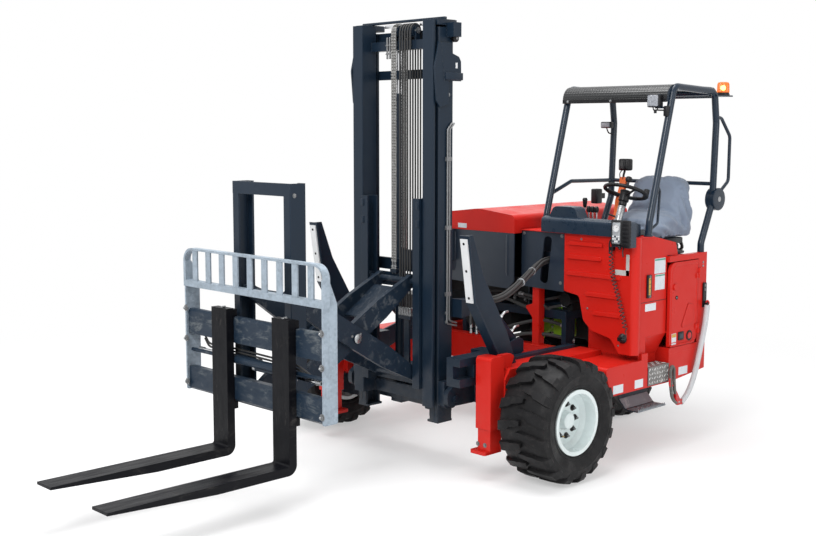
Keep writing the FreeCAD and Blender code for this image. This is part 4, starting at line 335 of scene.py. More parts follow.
def woven(name, base, threads=900.0, deep=0.0004):
    """Plain cloth: crossing threads, soft patches of fading."""
    s = Shader(name)
    waves = [s.add("TexWave", {"bands_direction": way}, Vector=s.place, Scale=threads / 6.28,
                   Distortion=0.6, Detail=1.0).outputs["Fac"] for way in "XYZ"]
    weave = s.maths("ADD", s.maths("ADD", waves[0], waves[1]), waves[2])
    body = s.mix(s.noise(5, 4), toned(base, 0.86), toned(base, 1.08))
    body = s.mix(s.times(s.step(weave, 0.9, 2.1), 0.18), body, toned(base, 0.7))
    crease = s.bump(s.noise(26, 3, 0.5, (1, 1, 0.35)), 0.003, 0.35)
    skin = s.bump(weave, deep, 0.5, crease)
    return s.surface(body, s.step(s.noise(9, 3), 0.3, 0.7, 0.7, 0.85), skin, Sheen_Weight=0.25,
                     Sheen_Roughness=0.5)


def ribbed_sheet(name, base):
    """Dark roof sheet with fine ribs and a dull shine."""
    s = Shader(name)
    rib = s.add("TexWave", {"bands_direction": "X"}, Vector=s.place, Scale=14.0).outputs["Fac"]
    body = s.mix(s.noise(3, 4), toned(base, 0.7), toned(base, 1.5))
    return s.surface(body, s.step(rib, 0, 1, 0.22, 0.34), s.bump(rib, 0.0006, 0.4),
                     Coat_Weight=0.15)


def glowing(name, base, strength):
    """A lens with a pattern of small cells, lit from behind where it has a strength."""
    s = Shader(name)
    spot = s.add("TexVoronoi", Vector=s.place, Scale=70.0).outputs["Distance"]
    body = s.mix(spot, base, toned(base, 0.5))
    return s.surface(body, s.step(spot, 0, 1, 0.1, 0.3), s.bump(spot, 0.001, 0.5),
                     Emission_Color=base, Emission_Strength=strength, Coat_Weight=0.5)


FINISHES = {
    "red paint": lambda n: painted(n, tint("red"), 0.34, 0.9, 0.08, coat=0.03, shine=0.2),
    "slate paint": lambda n: painted(n, tint("slate"), 0.36, 0.8, 0.2, 0.35, 0.03, 0.24),
    "slate gloss": lambda n: painted(n, tint("slate", 1.1), 0.26, 0.85, 0.05, coat=0.15),
    # A darker slate for the thin strips down the mast's flange edges: painted shade.
    "slate edge": lambda n: painted(n, tint("slate", 0.45), 0.4, 0.8, 0.1),
    "black paint": lambda n: painted(n, tint("black"), 0.38, 0.8, 0.25),
    "white paint": lambda n: painted(n, tint("rim"), 0.26, 0.95, 0.2, coat=0.2, dust_top=0.6),
    "green paint": lambda n: painted(n, (0.2, 0.4, 0.02), 0.4),
    "carriage steel": lambda n: scraped(n, tint("slate", 1.35), (0.24, 0.26, 0.26),
                                        (0.5, 1.0, 1.3), 0.5, 0.45, 0.48, 0.7),
    "fork steel": lambda n: scraped(n, (0.0042, 0.0046, 0.0068), (0.06, 0.055, 0.052),
                                    (3, 0.3, 0.8), 0.5, 0.42, 0.54, 0.68, 0.12),
    "arm steel": lambda n: scraped(n, tint("slate"), (0.13, 0.14, 0.15), (2, 1, 1), 0.45),
    "tread plate": lambda n: scraped(n, (0.21, 0.205, 0.2), (0.4, 0.39, 0.37), (1, 1, 1), 0.6),
    "worn steel": lambda n: scraped(n, (0.27, 0.3, 0.33), (0.5, 0.52, 0.54), (1, 1, 1), 0.6),
    "forged steel": lambda n: scraped(n, (0.13, 0.125, 0.115), (0.3, 0.29, 0.27), (1, 1, 1), 0.6),
    "zinc": lambda n: galvanised(n, tint("zinc")),
    "bare steel": lambda n: bare_metal(n, tint("steel")),
    "dull steel": lambda n: bare_metal(n, tint("steel", 0.62), 0.45, 0.7),
    "bright steel": lambda n: bare_metal(n, (0.62, 0.62, 0.61), 0.35, 0.75, 0.25),
    "chrome": lambda n: bare_metal(n, (0.75, 0.76, 0.78), 0.12, 1.0, 0.12),
    "brass": lambda n: bare_metal(n, (0.6, 0.42, 0.16)),
    "black plastic": lambda n: moulded(n, tint("black", 1.1), 0.4, Specular_IOR_Level=0.3),
    "grey plastic": lambda n: moulded(n, (0.016, 0.026, 0.043), 0.36, 220.0, 0.0002, 0.08),
    "slate plastic": lambda n: moulded(n, tint("slate", 1.2), 0.3, 260.0, 0.0002, 0.1),
    "silver plastic": lambda n: moulded(n, (0.36, 0.38, 0.4), 0.3, 300.0, 0.0001, 0.1),
    "white plastic": lambda n: moulded(n, (0.72, 0.73, 0.74), 0.4, 300.0, 0.0001, 0.15),
    "red plastic": lambda n: moulded(n, (0.55, 0.012, 0.012), 0.35, 300.0, 0.0002, 0.1),
    "rubber": lambda n: moulded(n, (0.0036, 0.0042, 0.0056), 0.38, 300.0, 0.00008, 0.02,
                                Specular_IOR_Level=0.12),
    "engine iron": lambda n: moulded(n, (0.009, 0.01, 0.011), 0.55, 90.0, 0.001, 0.2,
                                     Specular_IOR_Level=0.2),
    "amber oil": lambda n: moulded(n, (0.55, 0.33, 0.05), 0.2, 300.0, 0.0001, 0.1),
    "blank label": lambda n: moulded(n, (0.66, 0.7, 0.74), 0.3, 500.0, 0.0001, 0.1),
    "silver label": lambda n: moulded(n, (0.5, 0.5, 0.48), 0.3, 300.0, 0.0002, 0.25),
    "green label": lambda n: moulded(n, (0.05, 0.32, 0.22), 0.3, 500.0, 0.0001, 0.1),
    "tyre": lambda n: tyre_rubber(n, tint("tyre")),
    "seat cloth": lambda n: woven(n, tint("cover"), 1100.0),
    "sleeve cloth": lambda n: woven(n, (0.56, 0.58, 0.6), 700.0, 0.0008),
    "orange belt": lambda n: woven(n, (0.8, 0.14, 0.015), 1500.0),
    "red belt": lambda n: woven(n, (0.5, 0.01, 0.02), 1500.0),
    "roof sheet": lambda n: ribbed_sheet(n, (0.01, 0.011, 0.012)),
    "amber lens": lambda n: glowing(n, tint("amber"), 0.3),
    "lit bulb": lambda n: glowing(n, (1.0, 0.62, 0.12), 5.0),
    "lamp glass": lambda n: glowing(n, (0.4, 0.42, 0.46), 0.05),
    "dark glass": lambda n: glowing(n, (0.012, 0.012, 0.014), 0.0),
}


def finish(name):
    """The named finish, made the first time that it is asked for."""
    return bpy.data.materials.get(name) or FINISHES[name](name)


# ---------------------------------------------------------------------------
# Shapes
# ---------------------------------------------------------------------------
def corners(node):
    """A steel part's lowest and highest corners at rest."""
    return [Vector(corner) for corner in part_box(node)]


def circle(centre, across, up, radius, sides):
    """Points round a centre, in the plane of two directions."""
    return [centre + (across * math.cos(t) + up * math.sin(t)) * radius
            for t in [math.tau * i / sides for i in range(sides)]]


class Piece:
    """Collects simple shapes into one mesh, each with its own finish."""

    def __init__(self, name, body, slot):
        self.name, self.body, self.slot = name, body, slot
        self.mesh = bmesh.new()
        self.finishes = []

    def mark(self, faces, name, smooth=False):
        """Gives faces their finish."""
        if name not in self.finishes:
            self.finishes.append(name)
        for face in faces:
            face.material_index = self.finishes.index(name)
            face.smooth = smooth

    def soften(self, verts, width, steps, name, smooth, profile=0.5):
        """Rounds every edge that meets the given points, always in the same order."""
        edges = list(dict.fromkeys(edge for vert in verts for edge in vert.link_edges))
        made = bmesh.ops.bevel(self.mesh, geom=edges, offset=width, segments=steps,
                               affect="EDGES", profile=profile)
        self.mark(made["faces"], name, smooth)

    def box(self, low, high, name, round=0.0, steps=1):
        """A block between two corners, its edges rounded."""
        low, high = Vector(low), Vector(high)
        made = bmesh.ops.create_cube(self.mesh, size=1.0)["verts"]
        for vert in made:
            vert.co = low + Vector([(c + 0.5) * (h - l) for c, l, h in zip(vert.co, low, high)])
        self.mark({face for vert in made for face in vert.link_faces}, name)
        if round:
            self.soften(made, round, steps, name, steps > 1)

    def block(self, spot, low, high, name, round=0.0, steps=1):
        """A block whose two corners are measured from a spot."""
        self.box(spot + Vector(low), spot + Vector(high), name, round, steps)

    def loops(self, rings, name, capped=True, smooth=True):
        """Faces between rings of points, each ring as long as the next."""
        rows = [[self.mesh.verts.new(p) for p in ring] for ring in rings]
        wide = len(rows[0])
        faces = []
        for first, second in zip(rows, rows[1:]):
            for i in range(wide):
                j = (i + 1) % wide
                faces.append(self.mesh.faces.new((first[i], first[j], second[j], second[i])))
        self.mark(faces, name, smooth)
        if capped:
            self.mark([self.mesh.faces.new(rows[0][::-1]), self.mesh.faces.new(rows[-1])], name)
        return rows

    def turned(self, centre, axis, outline, name, sides=24, smooth=True, capped=True):
        """A turned shape; outline holds (distance along the axis, radius)."""
        centre, axis = Vector(centre), Vector(axis).normalized()
        across = axis.orthogonal().normalized()
        up = axis.cross(across)
        rings = [circle(centre + axis * along, across, up, max(radius, 1e-5), sides)
                 for along, radius in outline]
        self.loops(rings, name, capped, smooth)

    def rod(self, start, end, radius, name, sides=16):
        """A round bar with softened ends."""
        start, end = Vector(start), Vector(end)
        long = (end - start).length
        soft = min(radius * 0.18, long * 0.2)
        self.turned(start, end - start, [(0, radius - soft), (soft, radius), (long - soft, radius),
                                         (long, radius - soft)], name, sides)

    def nut(self, spot, axis, radius, high, name="dull steel"):
        """A six-sided head on a washer."""
        spot, axis = Vector(spot), Vector(axis).normalized()
        self.turned(spot, axis, [(0, radius * 1.5), (high * 0.22, radius * 1.5)], name, 14)
        self.turned(spot + axis * high * 0.2, axis, [(0, radius), (high * 0.7, radius),
                                                     (high * 0.8, radius * 0.82)], name, 6, False)

    def tube(self, spots, radius, name, sides=10):
        """A round bar through the given points."""
        spots = [Vector(p) for p in spots]
        runs = [(b - a).normalized() for a, b in zip(spots, spots[1:])]
        across = runs[0].orthogonal().normalized()
        rings = []
        for i, spot in enumerate(spots):
            along = (runs[max(0, i - 1)] + runs[min(i, len(runs) - 1)]).normalized()
            across = (across - along * across.dot(along)).normalized()
            rings.append(circle(spot, across, along.cross(across), radius, sides))
        self.loops(rings, name)

    def pipe(self, spots, radius, name, turns):
        """A round bar along a rounded line; gives the line back."""
        line = smooth_line(spots, turns)
        self.tube(line, radius, name)
        return line

    def sheet(self, outline, low, high, axis, name, round=0.0):
        """A flat outline given thickness along one axis (0, 1 or 2)."""
        def at(point, depth):
            return Vector((*point[:axis], depth, *point[axis:]))
        rows = self.loops([[at(p, depth) for p in outline] for depth in (low, high)], name,
                          smooth=False)
        if round:
            self.soften([vert for row in rows for vert in row], round, 2, name, True, 0.0)

    def place(self, replaces=(), angle=0.6):
        """Writes the mesh and lets it ride on its body."""
        bmesh.ops.recalc_face_normals(self.mesh, faces=self.mesh.faces)
        data = bpy.data.meshes.new(self.name)
        self.mesh.to_mesh(data)
        self.mesh.free()
        for name in self.finishes:
            data.materials.append(finish(name))
        thing = bpy.data.objects.new(self.name, data)
        bpy.context.scene.collection.objects.link(thing)
        data.set_sharp_from_angle(angle=angle)
        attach(thing, self.body)
        if replaces:
            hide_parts(*replaces)
        return thing


def smooth_line(spots, turns=10):
    """Points along a rounded line through the given corners."""
    spots = [Vector(p) for p in spots]
    line = [spots[0]]
    for before, corner, after in zip(spots, spots[1:], spots[2:]):
        reach = 0.42 * min((corner - before).length, (after - corner).length)
        first = corner + (before - corner).normalized() * reach
        last = corner + (after - corner).normalized() * reach
        for i in range(turns + 1):
            t = i / turns
            line.append(first.lerp(corner, t).lerp(corner.lerp(last, t), t))
    line.append(spots[-1])
    return line


def nurbs(name, points, thick, finish_name, body, resolution=8):
    """A smooth cord whose control points are the given ones."""
    data = bpy.data.curves.new(name, "CURVE")
    data.dimensions = "3D"
    data.resolution_u = resolution
    spline = data.splines.new("NURBS")
    spline.points.add(len(points) - 1)
    for point, spot in zip(spline.points, points):
        point.co = (*spot, 1.0)
    spline.order_u = 3
    spline.use_endpoint_u = True
    data.bevel_depth = thick / 2
    data.bevel_resolution = 4
    data.use_fill_caps = True
    thing = bpy.data.objects.new(name, data)
    bpy.context.scene.collection.objects.link(thing)
    if finish_name:
        data.materials.append(finish(finish_name))
        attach(thing, body)
    return thing


def read_line(name, points):
    """Points along the smooth line that a cord with these control points takes."""
    route = nurbs(name, points, 0.0, None, None, 24)
    data = bpy.data.meshes.new_from_object(route)
    line = [v.co.copy() for v in data.vertices]
    bpy.data.objects.remove(route)
    bpy.data.meshes.remove(data)
    return line


def distances(line):
    """How far along a line each of its points lies."""
    far = [0.0]
    for a, b in zip(line, line[1:]):
        far.append(far[-1] + (b - a).length)
    return far


def walk(line, stops):
    """The spot and the direction at each given distance along a line."""
    far = distances(line)
    at = 0
    for stop in stops:
        while at < len(line) - 2 and far[at + 1] < stop:
            at += 1
        share = (stop - far[at]) / max(far[at + 1] - far[at], 1e-6)
        yield line[at].lerp(line[at + 1], share), (line[at + 1] - line[at]).normalized()


def route(*spots):
    """Points given from the front axle."""
    return [axle(*spot) for spot in spots]


def axle(x, aft, z):
    """A point given from the front axle."""
    return Vector((x, AXLE + aft, z))


# ---------------------------------------------------------------------------
# Wheels
# ---------------------------------------------------------------------------
# Along a lug from the middle to the shoulder: how far out its top and its foot lie (in half
# widths), how far each is sunk, how far it has swung round, and half its width.
LUG_STATIONS = ((-0.075, -0.07, 0.0, 0.0, 0.0, 0.014), (0.1, 0.1, 0.0, 0.0, 0.012, 0.02),
                (0.36, 0.36, 0.0, 0.0, 0.036, 0.021), (0.43, 0.43, 0.001, 0.0, 0.05, 0.029),
                (0.68, 0.68, 0.003, 0.0, 0.082, 0.03), (0.88, 0.85, 0.011, 0.008, 0.108, 0.031),
                (0.975, 0.92, 0.034, 0.022, 0.122, 0.03), (1.0, 0.95, 0.068, 0.05, 0.132, 0.026))


def tyre(node, body, rim_node):
    """A tyre with a rounded casing, ringed sidewalls and stepped lugs swept to each shoulder."""
    low, high = corners(node)
    mid = (low + high) / 2
    outer, half = (high.z - low.z) / 2, (high.x - low.x) / 2
    flange = corners(rim_node)
    seat = (flange[1].z - flange[0].z) / 2
    core = outer - size("lug_high")
    wall = outer - seat
    p = Piece(node + "_tread", body, "tyre_rubber")
    side = [(half - 0.034, seat - 0.016), (half - 0.033, seat + 0.004),
            (half - 0.026, seat + 0.01), (half - 0.018, seat + 0.024),
            (half - 0.02, seat + 0.03), (half - 0.01, seat + 0.26 * wall),
            (half - 0.003, seat + 0.42 * wall), (half + 0.001, seat + 0.5 * wall),
            (half - 0.002, seat + 0.53 * wall), (half - 0.003, seat + 0.62 * wall),
            (half - 0.01, seat + 0.74 * wall), (half - 0.022, core - 0.01),
            (half - 0.048, core - 0.001), (half * 0.4, core + 0.003)]
    outline = [(-x, r) for x, r in side] + [(x, r) for x, r in reversed(side)]
    p.turned(mid, X, outline + [outline[0]], "tyre", 96, capped=False)
    lugs = size("lug_count")
    sunk = core - 0.006
    for way in (-1, 1):
        for i in range(lugs):
            start = math.tau * (i + (0.5 if way > 0 else 0.0)) / lugs
            rings = []
            for top_x, base_x, top_in, base_in, swing, wide in LUG_STATIONS:
                ring = []
                for x, r, w in ((base_x, sunk - base_in, -wide * 1.18),
                                (top_x, outer - top_in, -wide), (top_x, outer - top_in, wide),
                                (base_x, sunk - base_in, wide * 1.18)):
                    turn = start + swing + w / outer
                    ring.append(mid + Vector((way * x * half, -r * math.sin(turn),
                                              r * math.cos(turn))))
                rings.append(ring[::way])
            p.loops(rings, "tyre", smooth=False)
    return p.place(replaces=(node,), angle=0.5)


def wheel_nuts(node, body, out):
    """Nuts round the hub, its cap and the valve in the dish."""
    low, high = corners(node)
    disc = (low + high) / 2 + X * out * 0.055
    p = Piece(node + "_nuts", body, "bare_steel")
    nuts = size("nut_count")
    for i in range(nuts):
        turn = math.tau * i / nuts
        spot = disc + Vector((0, math.cos(turn), math.sin(turn))) * size("nut_round")
        p.nut(spot, X * out, 0.0135, 0.018, "black paint")
        p.rod(spot, spot + X * out * 0.03, 0.007, "dull steel", 8)
    p.turned(disc, X * out, [(-0.004, 0.062), (0.004, 0.062), (0.01, 0.056), (0.042, 0.05),
                             (0.048, 0.04)], "white paint", 32)
    valve = disc + Vector((out * 0.02, -0.12, -0.085))
    p.rod(valve, valve + Vector((out * 0.055, 0.012, 0.012)), 0.005, "rubber", 10)
    p.rod(valve + Vector((out * 0.05, 0.011, 0.011)), valve + Vector((out * 0.066, 0.014, 0.014)),
          0.0042, "brass", 10)
    return p.place()


# ---------------------------------------------------------------------------
# Cords and hoses
# ---------------------------------------------------------------------------
COIL_WIDE = 0.033
COIL_POINTS = 12
COIL_ENDS = 0.006


def coiled_lead():
    """The curly lead from its clip to its socket, with its straight tail."""
    aft = 0.667
    line = read_line("coil_route", route(*[(x, aft, z) for x, z in (
        (0.972, 1.4), (0.972, 1.296), (1.0, 1.19), (1.052, 1.06), (1.1, 0.88))]))
    wire = size("coil_wire")
    wind = COIL_WIDE / 2 - wire / 2
    long = distances(line)[-1]
    marks = round(long / size("coil_pitch")) * COIL_POINTS
    points = [line[0]]
    stops = [COIL_ENDS + (long - 2 * COIL_ENDS) * i / marks for i in range(marks + 1)]
    for i, (spot, along) in enumerate(walk(line, stops)):
        across = along.cross(Y).normalized()
        turn = math.tau * i / COIL_POINTS
        up = along.cross(across)
        points.append(spot + (across * math.cos(turn) + up * math.sin(turn)) * wind)
    points += [axle(x, aft, z) for x, z in ((1.1, 0.872), (1.108, 0.85), (1.108, 0.826),
                                            (1.092, 0.812), (1.068, 0.812))]
    lead = nurbs("coiled_lead", points, wire, "rubber", "chassis", 3)
    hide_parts("coil_cord", "coil_lead")


def hose_bundle():
    """The bundled hoses from the slotted panel to the clamp on the guard post."""
    middle = route((0.384, 0.8, 1.286), (0.384, 0.68, 1.286), (0.425, 0.54, 1.246),
                   (0.5, 0.37, 1.212), (0.58, 0.2, 1.186), (0.636, 0.04, 1.15),
                   (0.66, -0.1, 1.118), (0.66, -0.246, 1.118))
    thick = size("hose_thick")
    hoses = 5
    spread = thick / 2 / math.sin(math.pi / hoses) + 0.0004
    for number in range(hoses):
        points = []
        for i, spot in enumerate(middle):
            along = (middle[min(i + 1, len(middle) - 1)] - middle[max(i - 1, 0)]).normalized()
            across = along.cross(Z).normalized()
            turn = math.tau * number / hoses + 0.25 * i
            points.append(spot + (across * math.cos(turn) + across.cross(along) * math.sin(turn))
                          * spread)
        made = distances(read_line("hose_route", points))[-1]
        hose = nurbs("bundle_hose_%d" % number, points, thick, "rubber", "chassis")
        if number == 0:
            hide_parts("hose_bundle")


def sling():
    """The fabric sleeve of the sling, from its bracket down to its hook."""
    points = [axle(1.18, aft, z) for aft, z in (
        (1.532, 0.966), (1.522, 0.87), (1.49, 0.76), (1.45, 0.64), (1.408, 0.52),
        (1.35, 0.412), (1.29, 0.345), (1.23, 0.312))]
    sleeve = nurbs("sling_cloth", points, size("sling_thick"), "sleeve cloth", "chassis")
    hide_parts("sling_sleeve")
    size("sling_thick")


# ---------------------------------------------------------------------------
# Mast: chains, hoses and fittings
# ---------------------------------------------------------------------------
STRANDS = ((-0.066, -0.048), (-0.042, -0.024))
PLATES = 7
HOSES = [0.014 + 0.024 * i for i in range(5)]
HOSE_ROUND = 0.0058
ANCHOR_RISE = 0.052
PULLEY_ROUND = 0.04


def chain_run(p, pins, depth):
    """Leaf chain: plates between neighbouring pins, laced by turns, for each strand."""
    for number, (first, second) in enumerate(zip(pins, pins[1:])):
        along = (second - first).normalized()
        across = X.cross(along)
        plate = []
        for t in range(6):
            turn = math.tau * (t + 0.5) / 6
            end = first if math.cos(turn) < 0 else second
            plate.append(end + along * (math.cos(turn) * depth * 0.42)
                         + across * (math.sin(turn) * depth / 2))
        for x0, x1 in STRANDS:
            thin = (x1 - x0) / PLATES
            for k in range(number % 2, PLATES, 2):
                low = x0 + thin * k
                p.loops([[Vector((low + d, q.y, q.z)) for q in plate]
                         for d in (0.0002, thin * 0.96)],
                        "forged steel" if number % 2 else "bright steel", smooth=False)
        for x0, x1 in STRANDS:
            p.rod((x0 - 0.0012, first.y, first.z), (x1 + 0.0012, first.y, first.z), depth * 0.22,
                  "dull steel", 8)


def chains_and_hoses():
    """Lift chains and hoses: front runs, and their way over the top."""
    low, high = corners("lift_chains")
    back = corners("mast_returns")[0].z
    front = (low.y + high.y) / 2
    depth = high.y - low.y
    top = high.z
    foot = low.z + ANCHOR_RISE
    turn_round = depth / 2 + PULLEY_ROUND
    pulley = front + turn_round
    steps = int((top - foot) / size("link_pitch"))
    pitch = (top - foot) / steps
    run = Piece("lift_chain_run", "mast_inner", "bare_steel")
    chain_run(run, [Vector((0, front, foot + pitch * i)) for i in range(steps + 1)], depth)
    thing = run.place(replaces=("lift_chains",))
    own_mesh(thing)

    over = Piece("chain_over_pulley", "mast_inner", "bare_steel")
    pins = [Vector((0, pulley - turn_round * math.cos(turn), top + turn_round * math.sin(turn)))
            for turn in [math.pi * i / 6 for i in range(7)]]
    pins += [Vector((0, pulley + turn_round, top - pitch * (i + 1)))
             for i in range(int((top - back) / pitch))]
    chain_run(over, pins, depth)
    reach = PULLEY_ROUND + HOSE_ROUND + 0.0003
    for x in HOSES:
        spots = [Vector((x, pulley - reach * math.cos(turn), top - 0.002 + reach * math.sin(turn)))
                 for turn in [math.pi * k / 14 for k in range(15)]]
        over.tube([*spots, (x, pulley + reach, back)], HOSE_ROUND, "rubber")
    over.place(replaces=("mast_returns",))

    hose_low, hose_high = corners("mast_hoses")
    middle = (hose_low.y + hose_high.y) / 2
    runs = Piece("mast_hose_runs", "mast_inner", "rubber")
    for x in HOSES:
        runs.tube([(x, middle, hose_low.z), (x, middle, hose_high.z)], HOSE_ROUND, "rubber", 12)
    thing = runs.place(replaces=("mast_hoses",))
    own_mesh(thing)

    ends = Piece("hose_ferrules", "lift_frame", "bare_steel")
    base = hose_low.z
    for x in HOSES:
        ends.turned((x, middle, base), Z, [(0, 0.0095), (0.004, 0.0105), (0.012, 0.0105),
                                           (0.013, 0.0095), (0.052, 0.0098), (0.054, 0.0088)],
                    "bare steel", 12)
        ends.turned((x, middle, base - 0.001), Z, [(0, 0.0118), (0.015, 0.0118)], "dull steel", 6,
                    False)
    for x0, x1 in STRANDS:
        x = (x0 + x1) / 2
        ends.rod((x, front, low.z - 0.03), (x, front, foot - depth / 2), 0.0065, "dull steel", 12)
        for z in (low.z + 0.002, low.z + 0.016):
            ends.nut((x, front, z), Z, 0.0095, 0.01, "bare steel")
    ends.place()


# ---------------------------------------------------------------------------
# Stage
# ---------------------------------------------------------------------------
GROUND_REACH = 60.0
GROUND_DROP = 0.0005
SKY_LIT, SKY_SEEN = 0.62, 1.0
LAMPS = (("lamp_key", (2.5, -6.5, 6.0), (0, -0.2, 1.0), 4.0, 360),
         ("lamp_top", (-0.5, 0.0, 8.0), (0, 0, 0.5), 6.0, 520),
         ("lamp_side", (7.5, 0.5, 3.2), (0.8, 0.6, 1.0), 4.0, 90))
EYE = (5.634, -5.383, 2.211)
EYE_DOWN, EYE_TURN = 6.48, 45.96
WHITE_FROM, WHITE_TO = 3.0, 6.5
LENS = 52.06
SHIFT = (0.0025, -0.0076)


def stage_finish(name, base, lit):
    """A pale ground that shows white where no shadow falls on it."""
    s = Shader(name)
    dull = s.add("BsdfDiffuse", Color=s.mix(s.noise(0.7, 2), toned(base, 0.985), base))
    white = s.add("Emission", Color=(1, 1, 1))
    away = s.add("VectorMath", {"operation": "LENGTH"}, Vector=s.stretched((1, 1, 0)))
    far = s.step(away.outputs["Value"], WHITE_FROM, WHITE_TO)
    path = s.add("LightPath")
    seen = s.maths("MAXIMUM", path.outputs["Is Camera Ray"], path.outputs["Is Glossy Ray"])
    seen = s.maths("MAXIMUM", seen, path.outputs["Is Transmission Ray"])
    near = s.maths("ADD", s.times(far, 1.0 - lit), lit)
    mixed = s.add("MixShader", i0=s.times(seen, near), i1=dull.outputs[0], i2=white.outputs[0])
    s.tree.links.new(mixed.outputs[0], s.end.inputs["Surface"])
    return s.material


def surroundings():
    """A sky that lights the object at one strength and shows white behind it."""
    world = bpy.data.worlds.new("studio")
    bpy.context.scene.world = world
    world.use_nodes = True
    tree = world.node_tree
    tree.nodes.clear()
    path, first, second, strength, sky, out = [tree.nodes.new("ShaderNode" + kind) for kind in (
        "LightPath", "Math", "Math", "MapRange", "Background", "OutputWorld")]
    first.operation = second.operation = "MAXIMUM"
    strength.inputs["To Min"].default_value = SKY_LIT
    strength.inputs["To Max"].default_value = SKY_SEEN
    sky.inputs["Color"].default_value = (1, 1, 1, 1)
    for start, end in ((path.outputs["Is Camera Ray"], first.inputs[0]),
                       (path.outputs["Is Glossy Ray"], first.inputs[1]),
                       (first.outputs[0], second.inputs[0]),
                       (path.outputs["Is Transmission Ray"], second.inputs[1]),
                       (second.outputs[0], strength.inputs["Value"]),
                       (strength.outputs[0], sky.inputs["Strength"]),
                       (sky.outputs[0], out.inputs["Surface"])):
        tree.links.new(start, end)


def make_stage():
    """Floor, plain white surroundings, soft lamps and the camera."""
    scene = bpy.context.scene
    scene.view_settings.view_transform = "Standard"
    data = bpy.data.meshes.new("ground")
    data.from_pydata([(x * GROUND_REACH, y * GROUND_REACH, 0)
                      for x, y in ((-1, -1), (1, -1), (1, 1), (-1, 1))], [], [(0, 1, 2, 3)])
    data.materials.append(stage_finish("ground", (0.93, 0.93, 0.935), 0.42))
    ground = bpy.data.objects.new("ground", data)
    ground.location.z = -GROUND_DROP
    scene.collection.objects.link(ground)
    surroundings()
    for name, spot, aim, wide, power in LAMPS:
        lamp = bpy.data.lights.new(name, "AREA")
        lamp.shape = "DISK"
        lamp.size = wide
        lamp.energy = power
        thing = bpy.data.objects.new(name, lamp)
        thing.location = spot
        thing.rotation_euler = (Vector(aim) - Vector(spot)).to_track_quat("-Z", "Y").to_euler()
        scene.collection.objects.link(thing)
    view = bpy.data.cameras.new("camera")
    view.lens = LENS
    view.sensor_width = 36.0
    view.shift_x, view.shift_y = SHIFT
    view.clip_end = 200
    eye = bpy.data.objects.new("camera", view)
    eye.location = EYE
    eye.rotation_euler = (math.radians(90 - EYE_DOWN), 0, math.radians(EYE_TURN))
    scene.collection.objects.link(eye)
    scene.camera = eye


def dress(finish_name, *names):
    """Gives steel parts their finish."""
    for name in names:
        for holder in NODES[name].material_slots:
            holder.material = finish(finish_name)


DRESSED = {
    "red paint": "chassis_legs body_left side_door engine_hood stabiliser_left stabiliser_right "
                 "rear_yoke",
    "slate paint": "chassis_frame mast_outer mast_bars mast_inner lift_frame mast_carrier "
                   "reach_frame tilt_barrels lift_barrels",
    "arm steel": "arm_a arm_b",
    "carriage steel": "fork_carriage",
    "fork steel": "fork_left fork_right",
    "zinc": "load_backrest",
    "white paint": "rim_front_left rim_front_right rim_rear_left rim_rear_right",
    "slate gloss": "overhead_guard",
    "chrome": "lift_rams tilt_rods",
    "dull steel": "mast_pipe",
    "black plastic": "steering_wheel fuel_tank sling_bracket coil_fittings",
    "slate plastic": "cab_fittings",
    "grey plastic": "engine_panels slot_plate",
    "engine iron": "engine",
    "white plastic": "guard_strips",
    "amber lens": "beacon",
}


# ---------------------------------------------------------------------------
# Cab
# ---------------------------------------------------------------------------
PUFF_FRAMES = 20
PUFF_CAP = 0.024


def cover_shape():
    """A closed L-shaped shell: cushion and back under one loose cloth."""
    low, high = corners("seat")
    high += Vector((0.04, 0.008, 0.03))
    mid = (low.x + high.x) / 2
    front, back = low.y, high.y
    profile = [(front + 0.01, low.z), (back - 0.02, low.z), (back - 0.016, low.z + 0.2),
               (back - 0.012, high.z - 0.055), (back - 0.045, high.z - 0.022),
               (back - 0.115, high.z - 0.02), (back - 0.155, high.z - 0.06),
               (back - 0.185, high.z - 0.17), (back - 0.225, low.z + 0.175),
               (front + 0.12, low.z + 0.13), (front + 0.03, low.z + 0.105),
               (front + 0.006, low.z + 0.06)]
    centre_y = back - 0.17
    rings = []
    across = 14
    for i in range(across + 1):
        t = -1 + 2 * i / across
        pinch = 1 - 0.2 * abs(t) ** 5
        x = mid + t * ((high.x - low.x) / 2 - 0.016)
        ring = []
        for y, z in profile:
            rise = (z - low.z) / (high.z - low.z)
            ring.append(Vector((x - t * 0.035 * rise ** 2, centre_y + (y - centre_y) * pinch,
                                low.z + (z - low.z) * (1 - 0.11 * abs(t) ** 4))))
        rings.append(ring)
    p = Piece("seat_cover", "chassis", "seat_fabric")
    p.loops(rings, "seat cloth")
    return p.place(replaces=("seat",), angle=3.1)


